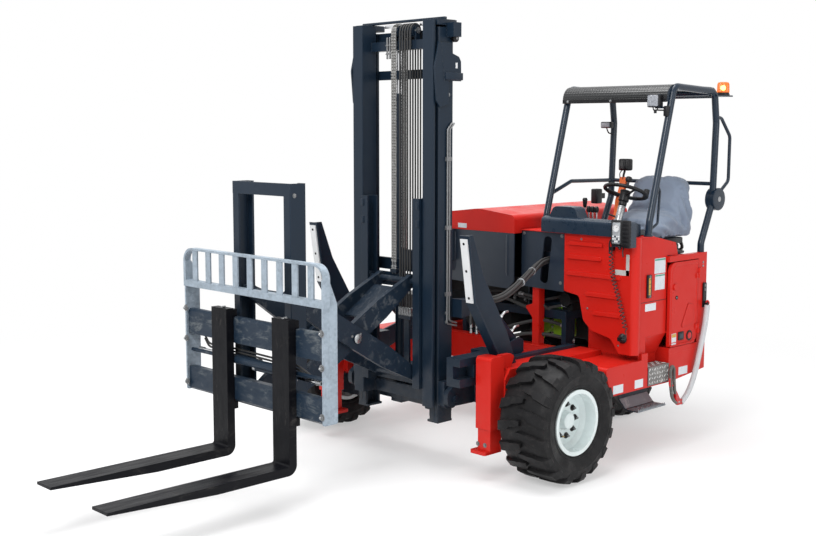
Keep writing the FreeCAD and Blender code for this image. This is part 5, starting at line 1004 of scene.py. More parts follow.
def swell(thing, cap):
    """Puffs a closed cloth up with cloth simulation, moving no point further than the cap."""
    remesh = thing.modifiers.new("even", "REMESH")
    remesh.mode = "VOXEL"
    remesh.voxel_size = size("cover_voxel")
    graph = bpy.context.evaluated_depsgraph_get()
    data = bpy.data.meshes.new_from_object(thing.evaluated_get(graph))
    thing.modifiers.clear()
    old, thing.data = thing.data, data
    data.materials.clear()
    data.materials.append(finish("seat cloth"))
    bpy.data.meshes.remove(old)
    start = [v.co.copy() for v in data.vertices]
    cloth = thing.modifiers.new("cloth", "CLOTH")
    cloth.settings.use_pressure = True
    for key, value in {"quality": 4, "uniform_pressure_force": 4.0, "bending_stiffness": 0.4,
                       "tension_stiffness": 8.0, "compression_stiffness": 8.0}.items():
        setattr(cloth.settings, key, value)
    cloth.settings.effector_weights.gravity = 0.0
    cloth.point_cache.frame_start, cloth.point_cache.frame_end = 1, PUFF_FRAMES
    scene = bpy.context.scene
    for step in range(1, PUFF_FRAMES + 1):
        scene.frame_set(step)
    graph = bpy.context.evaluated_depsgraph_get()
    puffed = thing.evaluated_get(graph).to_mesh()
    ends = [v.co.copy() for v in puffed.vertices]
    thing.evaluated_get(graph).to_mesh_clear()
    thing.modifiers.clear()
    scene.frame_set(1)
    for vert, a, b in zip(data.vertices, start, ends):
        move = b - a
        vert.co = a + move * min(1.0, cap / max(move.length, 1e-6))
    for face in data.polygons:
        face.use_smooth = True


def fold(data, low, high):
    """Creases a cover with long slanting folds and gathers it below."""
    deep = size("cover_fold")
    creases = (((high.y - 0.14, high.z - 0.03), (high.y - 0.02, low.z + 0.1), 1.0, 0.026),
               ((high.y - 0.17, high.z - 0.1), (high.y - 0.08, low.z + 0.05), 0.8, 0.022),
               ((high.y - 0.1, high.z - 0.06), (high.y + 0.0, high.z - 0.2), 0.6, 0.02),
               ((high.y - 0.22, high.z - 0.17), (high.y - 0.17, low.z + 0.06), 0.6, 0.022),
               ((low.y + 0.16, low.z + 0.15), (high.y - 0.13, low.z + 0.05), 0.6, 0.02),
               ((low.y + 0.05, low.z + 0.1), (low.y + 0.22, low.z + 0.03), 0.5, 0.018))
    middle = (low + high) / 2
    normals = [v.normal.copy() for v in data.vertices]
    for vert, normal in zip(data.vertices, normals):
        spot = vert.co
        push = noise.noise(spot * 9.0) * 0.25 + noise.noise(spot * 21.0) * 0.12
        side = 1.0 if spot.x > middle.x else 0.7
        for (ya, za), (yb, zb), much, wide in creases:
            run = Vector((0, yb - ya, zb - za))
            here = Vector((0, spot.y - ya, spot.z - za))
            share = here.dot(run) / run.length_squared
            if -0.1 < share < 1.1:
                away = (here - run * share).length
                fade = max(0.0, 1 - abs(2 * share - 1) ** 3)
                push += side * much * fade * (math.exp(-(away / wide) ** 2) * 1.5
                                              - math.exp(-((away - wide * 1.7) / wide) ** 2) * 0.9)
        hem = max(0.0, 1 - (spot.z - low.z) / 0.05)
        around = math.atan2(spot.y - middle.y, spot.x - middle.x)
        push += hem * (math.sin(around * 34) * 0.35 + math.sin(around * 13 + 1) * 0.3 - 0.9)
        vert.co += normal * push * deep
        vert.co.z = max(vert.co.z, low.z + 0.002)


def seat_base(low, middle):
    """Plate, bellows and hose under the seat."""
    base = Piece("seat_base", "chassis", "black_plastic")
    for z0, z1, grow, depth in ((1.395, 1.438, 0.035, 0.02), (1.345, 1.392, 0.015, 0.0),
                                (1.322, 1.343, 0.045, 0.03)):
        base.box((middle.x - 0.2 - grow, low.y + 0.055 - depth, z0),
                 (middle.x + 0.2 + grow, low.y + 0.345 + depth, z1), "black plastic", 0.01, 2)
    hose = base.pipe([(middle.x + x, low.y + y, z) for x, y, z in (
        (0.16, 0.37, 1.42), (0.19, 0.41, 1.395), (0.19, 0.43, 1.345), (0.15, 0.39, 1.325))],
        0.009, "rubber", 8)
    for a, b in zip(hose[::2], hose[1::2]):
        base.turned(a, b - a, [(0, 0.0125), (0.005, 0.0125)], "rubber", 12)
    base.place()


def seat_cover():
    """The swollen and folded cloth over the seat, and the base under it."""
    low, high = corners("seat")
    thing = cover_shape()
    swell(thing, PUFF_CAP)
    fold(thing.data, low, high)
    finer = thing.modifiers.new("finer", "SUBSURF")
    finer.levels = finer.render_levels = 1
    graph = bpy.context.evaluated_depsgraph_get()
    thing.data = bpy.data.meshes.new_from_object(thing.evaluated_get(graph))
    thing.modifiers.clear()
    seat_base(low, (low + high) / 2)


def steering():
    """Grip ridges, hub cap, silver column sleeve and spinner knob."""
    joint = JOINTS["steering_wheel_turn"]
    middle, along = Vector(joint["pos_m"]), Vector(joint["axis"]).normalized()
    low, high = corners("steering_wheel")
    p = Piece("steering_fittings", "steering_wheel", "black_plastic")
    p.turned(middle - along * 0.012, along, [(0, 0.036), (0.01, 0.041), (0.018, 0.036),
                                             (0.022, 0.02)], "black plastic", 28)
    reach = (high.x - low.x) / 2 - 0.013
    forward = along.cross(X).normalized()
    ball = middle + (X * 0.6 - forward * 0.8) * reach
    p.turned(ball + along * 0.01, along, [(0, 0.01), (0.022, 0.01), (0.026, 0.019),
                                           (0.036, 0.025), (0.048, 0.025), (0.058, 0.018),
                                           (0.062, 0.008)], "black plastic", 22)
    ribs = 40
    for i in range(ribs):
        turn = math.tau * i / ribs
        out = X * math.cos(turn) + forward * math.sin(turn)
        round_way = along.cross(out)
        p.turned(middle + out * reach - round_way * 0.004, round_way,
                 [(0, 0.0132), (0.001, 0.0142), (0.007, 0.0142), (0.008, 0.0132)],
                 "black plastic", 14)
    p.place()
    c = Piece("column_sleeve", "chassis", "bare_steel")
    top = middle - along * 0.073
    for down, outline, name in (
            (0, [(0, 0.0262), (0.004, 0.0285), (0.03, 0.0285), (0.034, 0.0262)], "black plastic"),
            (0.036, [(0, 0.025), (0.003, 0.0268), (0.182, 0.0268), (0.186, 0.025)], "bare steel"),
            (0.15, [(0, 0.0275), (0.006, 0.029), (0.016, 0.029), (0.02, 0.0275)], "bare steel")):
        c.turned(top - along * down, -along, outline, name)
    top -= along * 0.12
    c.rod(top - X * 0.02, top + Vector((-0.085, -0.01, 0.02)), 0.006, "black plastic")
    c.place()


def levers():
    """Knobs and chrome rods of the control levers, and their rubber boots."""
    p = Piece("lever_knobs", "chassis", "black_plastic")
    x0, aft, floor = 0.505, 0.988, 1.532
    tall = [(-0.045, 0.009), (-0.04, 0.013), (0.0, 0.017), (0.014, 0.0185), (0.024, 0.012)]
    short = [(-0.022, 0.01), (-0.016, 0.0155), (0.0, 0.0175), (0.014, 0.016), (0.022, 0.008)]
    for i, (top, shape) in enumerate(((1.69, tall), (1.635, short), (1.635, short),
                                      (1.635, short))):
        x = x0 + 0.034 * i
        top = axle(x, aft, top)
        p.rod(axle(x, aft, floor), top, 0.0062, "chrome")
        p.turned(top + Z * 0.004, Z, shape, "black plastic", 20)
        p.turned(axle(x, aft, floor - 0.001), Z, [(0, 0.015), (0.006, 0.0145), (0.008, 0.012),
                                                  (0.014, 0.0125), (0.016, 0.009),
                                                  (0.024, 0.0075)], "rubber", 18)
    p.place()


def gauge_unit():
    """Instrument box on the dash end: silver face with a dial and keys, and a slotted case."""
    x1, z0, z1 = 1.15, 1.432, 1.6
    face = AXLE + 0.638
    x0 = x1 - 0.15
    p = Piece("gauge_unit", "chassis", "black_plastic")
    p.box((x0 - 0.003, face - 0.012, z0 + 0.006), (x0 + 0.086, face + 0.004, z1 + 0.009),
          "black plastic", 0.012, 3)
    p.box((x0 + 0.01, face - 0.0155, z0 + 0.02), (x0 + 0.074, face - 0.006, z1 - 0.004),
          "silver plastic", 0.01, 3)
    dial = Vector((x0 + 0.042, face - 0.015, z1 - 0.044))
    p.turned(dial, -Y, [(0, 0.029), (0.004, 0.029), (0.005, 0.026), (0.002, 0.024)],
             "silver plastic", 28)
    p.turned(dial, -Y, [(0, 0.0238), (0.0025, 0.0236)], "white plastic", 28)
    mark = dial - Y * 0.0026
    for k in range(9):
        turn = math.radians(-130 + 32 * k)
        out = Vector((math.sin(turn), 0, math.cos(turn)))
        p.rod(mark + out * 0.018, mark + out * 0.022, 0.0009, "black plastic", 6)
    p.rod(dial - Y * 0.003, dial + Vector((0.012, -0.003, 0.01)), 0.001, "black plastic", 6)
    for row in range(3):
        for col in range(4):
            spot = Vector((x0 + 0.019 + 0.0155 * col, face - 0.015, z0 + 0.036 + 0.0165 * row))
            p.block(spot, (-0.0055, -0.0035, -0.0055), (0.0055, 0.001, 0.0055),
                    "white plastic" if (row + col) % 3 else "grey plastic", 0.0015)
    p.box((x0 + 0.086, face - 0.02, z0 - 0.004), (x1 + 0.002, face + 0.003, z1 + 0.01),
          "black plastic", 0.008, 2)
    for k in range(6):
        z = z0 + 0.014 + 0.026 * k
        p.box((x0 + 0.094, face - 0.0225, z), (x1 - 0.008, face - 0.018, z + 0.015),
              "black plastic", 0.003, 2)
        p.box((x1 - 0.002, face - 0.012, z), (x1 + 0.0032, face - 0.002, z + 0.015),
              "black plastic", 0.002)
    p.pipe([(x0 + 0.09, face + 0.01, z0 + 0.002), (x0 + 0.094, face - 0.012, z0 - 0.026),
            (x0 + 0.112, face - 0.03, z0 - 0.06)], 0.0045, "black plastic", 6)
    p.rod((x0 + 0.066, face - 0.016, z0 + 0.006), (x0 + 0.078, face - 0.016, z0 - 0.014), 0.009,
          "black plastic")
    p.place()


def belt():
    """The folded safety belt that stands behind the wheel, and its black box lamp."""
    p = Piece("safety_belt", "chassis", "black_plastic")
    base = axle(0.6, 1.235, 1.56)
    lean = Vector((0.015, 0.055, 0.3))
    wide = Vector((0.034, -0.006, 0.0))
    for layer, (finish_name, off, start, end) in enumerate((
            ("orange belt", -0.006, 0.0, 1.0), ("orange belt", 0.0, 0.1, 0.97),
            ("red belt", 0.006, 0.02, 0.62), ("orange belt", 0.012, 0.3, 0.9))):
        rings = []
        for k in range(17):
            t = start + (end - start) * k / 16
            spot = base + lean * t + Y * (off + 0.004 * math.sin(9 * t + layer * 2))
            grow = 1.0 - 0.14 * abs(math.sin(7 * t + layer))
            twist = 0.006 * math.sin(6 * t + layer)
            rings.append([spot + wide * grow * a + Y * (0.0014 * b + twist * c)
                          for a, b, c in ((-1, -1, -1), (1, -1, 1), (1, 1, 1), (-1, 1, -1))])
        p.loops(rings, finish_name)
    p.place()
    q = Piece("box_lamp", "chassis", "black_plastic")
    top = base + lean + Z * 0.01
    q.pipe([top - Z * 0.05, top + Z * 0.005, top + Vector((0.004, 0.01, 0.035))], 0.008,
           "black plastic", 5)
    q.pipe([top + Vector((-0.03, 0, -0.02)), top + Vector((-0.035, 0, 0.02)),
            top + Vector((-0.008, 0.01, 0.045))], 0.0035, "rubber", 6)
    spot = top + Vector((0.008, 0.012, 0.078))
    q.block(spot, (-0.045, -0.03, -0.042), (0.045, 0.03, 0.042), "black plastic", 0.012, 3)
    q.block(spot, (-0.036, -0.034, -0.033), (0.036, -0.026, 0.033), "dark glass", 0.005, 2)
    other = axle(0.245, 1.52, 1.7)
    q.block(other, (-0.03, -0.085, -0.055), (0.03, -0.015, 0.055), "black plastic", 0.01, 3)
    q.block(other, (-0.01, -0.018, -0.02), (0.01, 0.045, 0.02), "black plastic", 0.004, 2)
    q.place()


def roof_sheet(near, far, lip, back):
    """The ribbed sheet over the guard, bent down at the front, with its lip and screws."""
    top, under = 2.505, 2.385
    p = Piece("roof_sheet", "chassis", "black_plastic")
    path = [(lip - 0.002, under), (lip - 0.002, under + 0.03)]
    bend = 0.092
    for k in range(9):
        turn = math.pi / 2 * k / 8
        path.append((lip - 0.002 + bend * (1 - math.cos(turn)),
                     top - 0.002 - bend * (1 - math.sin(turn))))
    flat = back - 0.07 - lip - bend
    for k in range(1, 9):
        path.append((lip + bend + flat * k / 8, top - 0.002 - 0.0085 * k / 8))
    path += [(back - 0.025, top - 0.024), (back - 0.001, top - 0.055)]
    line = smooth_line([Vector((0, y, z)) for y, z in path], 2)
    long = distances(line)[-1]
    steps = int(long / 0.0025)
    stops = [long * i / steps for i in range(steps + 1)]
    x0, x1 = far - 0.004, near - 0.002
    rings = []
    for stop, (spot, along) in zip(stops, walk(line, stops)):
        out = along.cross(X)
        rib = 0.0013 * max(0.0, math.sin(math.tau * stop / 0.02)) ** 0.5 if stop > 0.045 else 0.0
        a, b = spot + out * (0.0012 + rib), spot + out * rib * 0.9
        rings.append([(x0, a.y, a.z), (x1, a.y, a.z), (x1, b.y, b.z), (x0, b.y, b.z)])
    p.loops(rings, "roof sheet", smooth=False)
    p.box((x0, lip - 0.0065, under - 0.002), (x1, lip + 0.001, under + 0.026), "black paint",
          0.002)
    for x in (far + 0.045, (near + far) / 2 - 0.02, near - 0.075):
        p.nut((x, lip - 0.006, under + 0.012), -Y, 0.0065, 0.006, "bare steel")
    p.place()


def work_lamps(near, far):
    """The two lamps under the roof."""
    lamps = Piece("work_lamps", "chassis", "black_plastic")
    mid = axle(near - 0.08, 1.04, 2.392)

    def from_mid(*spots):
        return [mid + Vector(spot) for spot in spots]
    lamps.block(mid, (-0.048, -0.028, -0.045), (0.048, 0.03, 0.045), "black plastic", 0.013, 3)
    lamps.block(mid, (-0.041, -0.033, -0.038), (0.041, -0.022, 0.038), "lamp glass", 0.009, 3)
    for k in range(7):
        x = -0.033 + 0.011 * k
        lamps.block(mid, (x - 0.0012, -0.0345, -0.034), (x + 0.0012, -0.0325, 0.034),
                    "lamp glass")
    for side in (-1, 1):
        lamps.tube(from_mid((side * 0.02, 0.005, -0.042), (side * 0.014, 0.005, -0.062),
                            (0, 0.005, -0.066)), 0.004, "black plastic", 8)
    lamps.rod(*from_mid((0, 0.005, -0.058), (0, 0.005, -0.084)), 0.01, "black plastic")
    lamps.pipe(from_mid((0.006, 0.006, -0.062), (0.045, 0.006, -0.064), (0.07, 0.03, -0.064)),
               0.005, "black plastic", 6)
    lamps.block(mid, (0.062, 0.004, -0.105), (0.094, 0.04, -0.035), "black plastic", 0.006, 2)
    away = axle(far + 0.01, 1.58, 2.232)
    lamps.block(away, (-0.045, -0.024, -0.024), (0.045, 0.024, 0.024), "black plastic", 0.009, 3)
    lamps.block(away, (-0.038, -0.028, -0.017), (0.038, -0.018, 0.017), "lamp glass", 0.005, 2)
    lamps.pipe([away + Vector(spot) for spot in (
        (-0.005, 0.0, -0.02), (-0.002, 0.02, -0.06), (-0.004, 0.085, -0.07))], 0.005,
        "black plastic", 8)
    lamps.place()


def roof():
    """The roof sheet, the work lamps under it and the drum at the rear post."""
    near, far = 1.118, 0.239
    roof_sheet(near, far, AXLE + 1.062, AXLE + 1.69)
    work_lamps(near, far)
    drum = Piece("post_drum", "chassis", "black_steel")
    hub = axle(1.15, 1.694, 1.706)
    drum.turned(hub - X * 0.0005, X, [(0, 0.0805), (0.004, 0.0775), (0.005, 0.07),
                                      (0.004, 0.03)], "slate gloss", 48)
    drum.turned(hub + X * 0.003, X, [(0, 0.019), (0.003, 0.019), (0.006, 0.012)], "bare steel")
    drum.turned(hub - X * 0.032, X, [(-0.001, 0.0808), (0.002, 0.0808)], "black paint", 48)
    drum.place()


def beacon():
    """Amber lens with its upright flutes, lit lamp and base ring."""
    low, high = corners("beacon")
    mid = (low + high) / 2
    wide, tall = (high.x - low.x) / 2, high.z - low.z
    p = Piece("beacon_lens", "chassis", "amber_lens")
    p.turned((mid.x, mid.y, low.z), Z, [(0, wide), (0.01, wide), (0.012, wide - 0.004),
                                        (0.019, wide - 0.004)], "black plastic", 36)
    flutes = 40
    rings = []
    for z, r in ((0.019, wide - 0.006), (0.022, wide - 0.002), (tall - 0.016, wide - 0.004),
                 (tall - 0.004, wide - 0.01), (tall, wide - 0.022)):
        ring = []
        for k in range(flutes * 4):
            turn = math.tau * k / (flutes * 4)
            out = r - 0.0012 * (0.5 + 0.5 * math.cos(turn * flutes))
            ring.append((mid.x + out * math.cos(turn), mid.y + out * math.sin(turn), low.z + z))
        rings.append(ring)
    p.loops(rings, "amber lens")
    front = Vector((mid.x + 0.5 * wide, mid.y - 0.86 * wide, mid.z + 0.004))
    p.turned(front, (0.5, -0.86, 0), [(-0.004, 0.018), (0.0005, 0.016), (0.002, 0.006)],
             "lit bulb", 18)
    p.place(replaces=("beacon",))


# ---------------------------------------------------------------------------
# Bodywork, steps and sling
# ---------------------------------------------------------------------------
# How far from the middle, and from a part, a line starts when it looks for a surface.
OUTSIDE = 1.6
CLEAR = 0.5
LABEL_SOFT = 0.0004


def surface_at(node, start, way):
    """Where a line from outside first meets a steel part, and how the surface faces there."""
    thing = NODES[node]
    back = thing.matrix_world.inverted()
    hit, spot, normal, _ = thing.ray_cast(back @ Vector(start), back.to_3x3() @ Vector(way))
    if not hit:
        raise RuntimeError("no surface of %s lies on the line from %s" % (node, tuple(start)))
    return thing.matrix_world @ spot, (thing.matrix_world.to_3x3() @ normal).normalized()


def bolt_on(p, node, start, way, radius, high, name="dull steel", sunk=0.0):
    """A bolt head where a line meets a steel part."""
    spot, normal = surface_at(node, start, way)
    p.nut(spot - normal * sunk, normal, radius, high, name)


def patch_on(p, node, low, high, name="blank label", thick=0.0012):
    """A blank label on a side that faces +X: low and high are (aft, height) corners."""
    spot, _ = surface_at(node, axle(OUTSIDE, (low[0] + high[0]) / 2, (low[1] + high[1]) / 2), -X)
    p.box(axle(spot.x - 0.0008, *low), axle(spot.x + thick, *high), name, LABEL_SOFT)


def body_details():
    """Blank labels, level gauge, seam, side screws and the front panel's small parts."""
    p = Piece("body_fittings", "chassis", "black_plastic")
    for low, high, *rest in (
            ((0.95, 1.232), (1.078, 1.335)), ((0.958, 1.12), (1.074, 1.226)),
            ((0.952, 1.32), (1.076, 1.331), "green label", 0.0018),
            ((0.96, 1.213), (1.072, 1.222), "green label", 0.0018),
            ((0.85, 0.985), (0.975, 1.035)), ((0.8, 1.046), (1.1, 1.05), "black plastic",
                                               0.0008)):
        patch_on(p, "body_left", low, high, *rest)
    x = surface_at("body_left", axle(OUTSIDE, 0.88, 1.15), -X)[0].x
    p.box(axle(x - 0.001, 0.858, 1.075), axle(x + 0.012, 0.908, 1.232), "black plastic", 0.005, 2)
    p.box(axle(x + 0.009, 0.871, 1.095), axle(x + 0.0135, 0.895, 1.212), "amber oil", 0.003, 2)
    for z in (1.088, 1.219):
        p.nut(axle(x + 0.012, 0.883, z), X, 0.007, 0.006)
    for k in range(4):
        z = 1.108 + 0.03 * k
        p.box(axle(x + 0.0125, 0.874, z), axle(x + 0.0142, 0.892, z + 0.003), "black plastic")
    for z in (1.245, 1.27):
        bolt_on(p, "body_left", axle(OUTSIDE, 1.512, z), -X, 0.006, 0.005, "bare steel", 0.0005)
    for x, z in ((1.072, 1.378), (0.985, 1.272)):
        p.box(axle(x, 0.6988, 1.236), axle(1.098, 0.701, z), "silver label", LABEL_SOFT)
    socket = axle(1.056, 0.7, 0.813)
    p.turned(socket + Y * 0.002, -Y, [(0, 0.034), (0.006, 0.034), (0.01, 0.029), (0.016, 0.026),
                                      (0.022, 0.019), (0.028, 0.016)], "black plastic", 26)
    clip = axle(0.972, 0.667, 1.424)
    p.pipe([clip + Vector((0.01 * s, -0.004, z)) for s, z in (
        (-1, -0.045), (-1.3, 0.02), (-0.2, 0.052), (1.1, 0.03), (1.2, -0.02), (0.4, -0.05))],
        0.0046, "black plastic", 4)
    for x, z in ((1.02, 0.76), (0.76, 0.985), (0.7, 1.455), (1.036, 1.455)):
        bolt_on(p, "body_left", axle(x, 0.3, z), Y, 0.0055, 0.004, "bare steel", 0.0005)
    rear = corners("body_left")[1].y
    p.box((0.62, rear - 0.001, 1.02), (0.86, rear + 0.0015, 1.16), "blank label", LABEL_SOFT)
    p.place()


def door_details():
    """Pressed border, recess, lock, sockets, ledge and blank label of the side door."""
    low, high = corners("side_door")
    x = surface_at("side_door", axle(OUTSIDE, 1.28, 0.95), -X)[0].x
    p = Piece("door_fittings", "side_door", "red_paint")
    y0, y1, z0, z1 = low.y + 0.018, high.y - 0.018, low.z + 0.022, high.z - 0.018
    inset, corner = 0.01, 0.06
    outline = [(y0, z0), (y1, z0), (y1, z1 - 0.012), (y1 - 0.012, z1), (y0 + corner, z1)]
    for k in range(1, 6):
        turn = math.pi / 2 * k / 5
        outline.append((y0 + corner * (1 - math.sin(turn)), z1 - corner * (1 - math.cos(turn))))
    middle_y, middle_z = (y0 + y1) / 2, (z0 + z1) / 2
    p.loops([[(x + lift, y - math.copysign(shrink, y - middle_y),
               z - math.copysign(shrink, z - middle_z)) for y, z in outline]
             for shrink, lift in ((0, -0.001), (0.003, 0.0022), (inset - 0.003, 0.0022),
                                  (inset, -0.001))], "red paint", capped=False)
    pressed = [(1.33, 1.0), (1.395, 0.985), (1.4, 0.85), (1.262, 0.832), (1.25, 0.852)]
    p.sheet([(AXLE + a, z) for a, z in pressed], x - 0.001, x + 0.0035, 0, "red paint", 0.0025)
    p.turned(axle(x - 0.001, 1.185, 1.05), X, [(0, 0.0135), (0.004, 0.0135), (0.005, 0.01),
                                                (0.002, 0.009)], "black plastic", 22)
    p.rod(axle(x, 1.185, 1.05), axle(x + 0.0035, 1.185, 1.05), 0.0055, "bare steel")
    for sunk, out, aft, z, wide, tall, *rest in (
            (0.001, 0.0012, 1.135, 0.722, 0.055, 0.08, "blank label", LABEL_SOFT),
            (0.001, 0.0018, 1.138, 0.775, 0.049, 0.024, "amber oil", LABEL_SOFT),
            (0.001, 0.006, 1.212, 0.748, 0.07, 0.058, "black plastic", 0.005, 2),
            (-0.002, 0.0075, 1.224, 0.76, 0.046, 0.034, "grey plastic", 0.004, 2)):
        p.box(axle(x - sunk, aft, z), axle(x + out, aft + wide, z + tall), *rest)
    ring = axle(x - 0.001, 1.352, 0.768)
    p.turned(ring, X, [(0, 0.036), (0.005, 0.036), (0.007, 0.03), (0.004, 0.026)],
             "black plastic", 30)
    p.turned(ring, X, [(0, 0.024), (0.007, 0.022), (0.009, 0.015)], "red plastic")
    p.box((x - 0.001, low.y + 0.004, low.z + 0.001),
          (min(x + 0.01, high.x + 0.004), high.y - 0.055, low.z + 0.012), "red paint", 0.003, 2)
    for z in (low.z + 0.09, high.z - 0.09):
        p.rod((x, high.y - 0.01, z - 0.026), (x, high.y - 0.01, z + 0.026), 0.006, "red paint")
    p.place()


def bars(p, origin, along, up, columns, rows, pitch):
    """Short raised lozenges in two directions, as rolled on tread plate."""
    origin, along, up = Vector(origin), Vector(along), Vector(up)
    out = along.cross(up).normalized()
    long, thin, high = pitch * 0.46, pitch * 0.16, 0.0022
    for i in range(columns):
        for j in range(rows):
            middle = origin + along * pitch * (i + 0.5) + up * pitch * (j + 0.5)
            tilt = math.radians(45 if (i + j) % 2 else -45)
            a = along * math.cos(tilt) + up * math.sin(tilt)
            b = along * -math.sin(tilt) + up * math.cos(tilt)
            base = [middle + a * long, middle + b * thin, middle - a * long, middle - b * thin]
            top = [middle + (q - middle) * 0.72 + out * high for q in base]
            # The lozenges are a lighter steel than the plate they stand on: a painted highlight on
            # the raised bars.
            p.loops([base, top], "bright steel", smooth=False)


def step_plates():
    """Tread plate in the side step, and the toothed edge and boss holes of the hanging step."""
    p = Piece("step_plates", "chassis", "bare_steel")
    out, top, deep = 1.154, 0.604, 0.11
    y0, y1 = AXLE + 0.864, AXLE + 1.106
    p.box((out - 0.001, y0, 0.48), (out + 0.0012, y1, top), "tread plate", 0.0005)
    p.box((out - deep, y0, top - 0.001), (out + 0.0012, y1, top + 0.0012), "tread plate", 0.0005)
    bars(p, (out + 0.0012, y0 + 0.002, 0.482), Y, Z, 8, 4, 0.03)
    bars(p, (out - deep + 0.004, y0 + 0.002, top + 0.0012), X, Y, 3, 8, 0.03)
    hang_in, hang_out, hang = 0.945, 1.12, 0.3
    s0, s1 = AXLE + 0.802, AXLE + 1.128
    p.box((hang_in + 0.08, s0, hang + 0.008), (hang_out, s1, hang + 0.0095), "worn steel", 0.0004)
    p.sheet([(hang_in + 0.0205, hang + 0.07), (hang_in + 0.0225, hang + 0.0715),
             (hang_in + 0.0775, hang + 0.0095), (hang_in + 0.0755, hang + 0.008)], s0, s1, 1,
            "worn steel")
    p.box((hang_out - 0.0005, s0, hang - 0.001), (hang_out + 0.0015, s1, hang + 0.0095),
          "worn steel")
    teeth = 16
    pitch = (s1 - s0) / teeth
    for k in range(teeth):
        y = s0 + pitch * k
        p.sheet([(y + 0.002, hang + 0.008), (y + pitch / 2, hang + 0.021),
                 (y + pitch - 0.002, hang + 0.008)], hang_out - 0.004, hang_out + 0.0015, 0,
                "worn steel")
    for k in range(2):
        for j in range(5):
            spot = Vector((hang_in + 0.102 + 0.034 * k, s0 + 0.045 + 0.059 * j, hang + 0.0094))
            p.turned(spot, Z, [(0, 0.014), (0.004, 0.011), (0.0045, 0.009), (0.0, 0.008)],
                     "worn steel", 16, capped=False)
            # A black disc fills each boss ring: painted shade for the dark space under the step
            # seen through the hole.
            p.rod(spot - Z * 0.0005, spot + Z * 0.0006, 0.0082, "black paint")
    for aft, rise, wide in ((0.475, 0.482, 0.11), (0.715, 0.484, 0.095), (1.235, 0.5, 0.11)):
        patch_on(p, "chassis_legs", (aft, rise), (aft + wide, rise + 0.056))
    p.place()


def sling_hook():
    """Grey forged hook with its red ring and latch, at the end of the sleeve."""
    low, high = corners("sling_hook")
    x = (low.x + high.x) / 2
    p = Piece("sling_hook_forged", "chassis", "bare_steel")
    line = smooth_line([axle(x, aft, z) for aft, z in (
        (1.232, 0.322), (1.168, 0.318), (1.118, 0.36), (1.098, 0.44), (1.09, 0.56),
        (1.108, 0.59), (1.132, 0.57), (1.138, 0.47), (1.148, 0.4), (1.18, 0.345),
        (1.228, 0.33))], 5)
    rings = []
    for i, spot in enumerate(line):
        along = (line[min(i + 1, len(line) - 1)] - line[max(i - 1, 0)]).normalized()
        rings.append(circle(spot, X * 0.012, X.cross(along).normalized() * 0.01, 1.0, 12))
    p.loops(rings, "forged steel")
    p.pipe([axle(x, aft, z) for aft, z in ((1.106, 0.505), (1.086, 0.5), (1.082, 0.462),
                                           (1.1, 0.44), (1.122, 0.452))], 0.0068,
           "red plastic", 5)
    latch = [(AXLE + aft, z) for aft, z in (
        (1.148, 0.42), (1.166, 0.4), (1.196, 0.345), (1.236, 0.338), (1.236, 0.302),
        (1.176, 0.303), (1.146, 0.352))]
    p.sheet(latch, x - 0.0115, x + 0.0115, 0, "red plastic", 0.004)
    p.rod(axle(x - 0.0125, 1.19, 0.325), axle(x + 0.0125, 1.19, 0.325), 0.008, "bare steel")
    return p.place(replaces=("sling_hook",))


def sling_fittings():
    """Bolts of the sling's bracket and the red tab over the sleeve's top end."""
    p = Piece("sling_tab", "chassis", "black_plastic")
    for z in (1.075, 1.105):
        p.nut(axle(1.1605, 1.53, z), X, 0.0075, 0.006)
    p.pipe(route((1.176, 1.522, 0.985), (1.186, 1.524, 1.002), (1.19, 1.54, 0.985),
                 (1.182, 1.54, 0.962), (1.178, 1.534, 0.935)), 0.0055, "red plastic", 5)
    p.place()


# ---------------------------------------------------------------------------
# Engine bay and guards
# ---------------------------------------------------------------------------
def bay_machinery():
    """Pump, hoses, ferrules, tray and a dark back wall behind the slotted panel."""
    p = Piece("bay_machinery", "chassis", "black_steel")
    p.box(axle(-0.62, 1.14, 0.67), axle(0.535, 1.16, 1.44), "engine iron", 0.004)
    p.box(axle(-0.44, 0.9, 0.675), axle(-0.1, 1.13, 0.86), "engine iron", 0.02, 2)
    p.rod(axle(-0.34, 0.74, 0.8), axle(-0.34, 0.93, 0.8), 0.085, "engine iron", 28)
    p.rod(axle(0.205, 0.92, 0.78), axle(0.205, 1.12, 0.78), 0.062, "green paint", 28)
    p.box(axle(0.3, 0.9, 0.7), axle(0.4, 1.06, 0.93), "green paint", 0.015, 3)
    p.box(axle(0.13, 0.88, 0.675), axle(0.19, 0.96, 0.9), "green paint", 0.01, 2)
    for k in range(4):
        z = 0.735 + 0.045 * k
        p.rod(axle(0.295, 0.935, z), axle(0.302, 0.893, z), 0.008, "bare steel")
    for thick, spots in (
            (0.012, ((-0.3, 0.74, 0.9), (-0.05, 0.73, 0.99), (0.22, 0.78, 0.9),
                     (0.46, 0.86, 0.96))),
            (0.011, ((-0.36, 0.76, 0.97), (-0.08, 0.75, 1.03), (0.24, 0.8, 0.97),
                     (0.48, 0.92, 1.03))),
            (0.012, ((-0.1, 0.72, 0.72), (0.12, 0.73, 0.8), (0.3, 0.78, 0.85),
                     (0.44, 0.88, 0.8))),
            (0.013, ((0.02, 0.72, 0.69), (0.2, 0.74, 0.74), (0.38, 0.8, 0.74),
                     (0.5, 0.9, 0.7))),
            (0.01, ((0.1, 0.76, 1.02), (0.26, 0.77, 1.0), (0.33, 0.8, 0.92),
                     (0.4, 0.86, 0.9)))):
        line = p.pipe(route(*spots), thick, "rubber", 7)
        for end, near in ((line[0], line[1]), (line[-1], line[-2])):
            way = (near - end).normalized()
            p.rod(end - way * 0.002, end + way * 0.042, thick * 1.25, "bare steel")
            p.turned(end + way * 0.01, way, [(0, thick * 1.6), (0.014, thick * 1.6)], "dull steel",
                     6, False)
    for x, z in ((-0.02, 0.965), (0.03, 0.985), (0.085, 0.96)):
        p.rod(axle(x, 0.848, z), axle(x, 0.862, z), 0.014, "bare steel")
        p.nut(axle(x, 0.85, z), -Y, 0.01, 0.012)
    p.place()


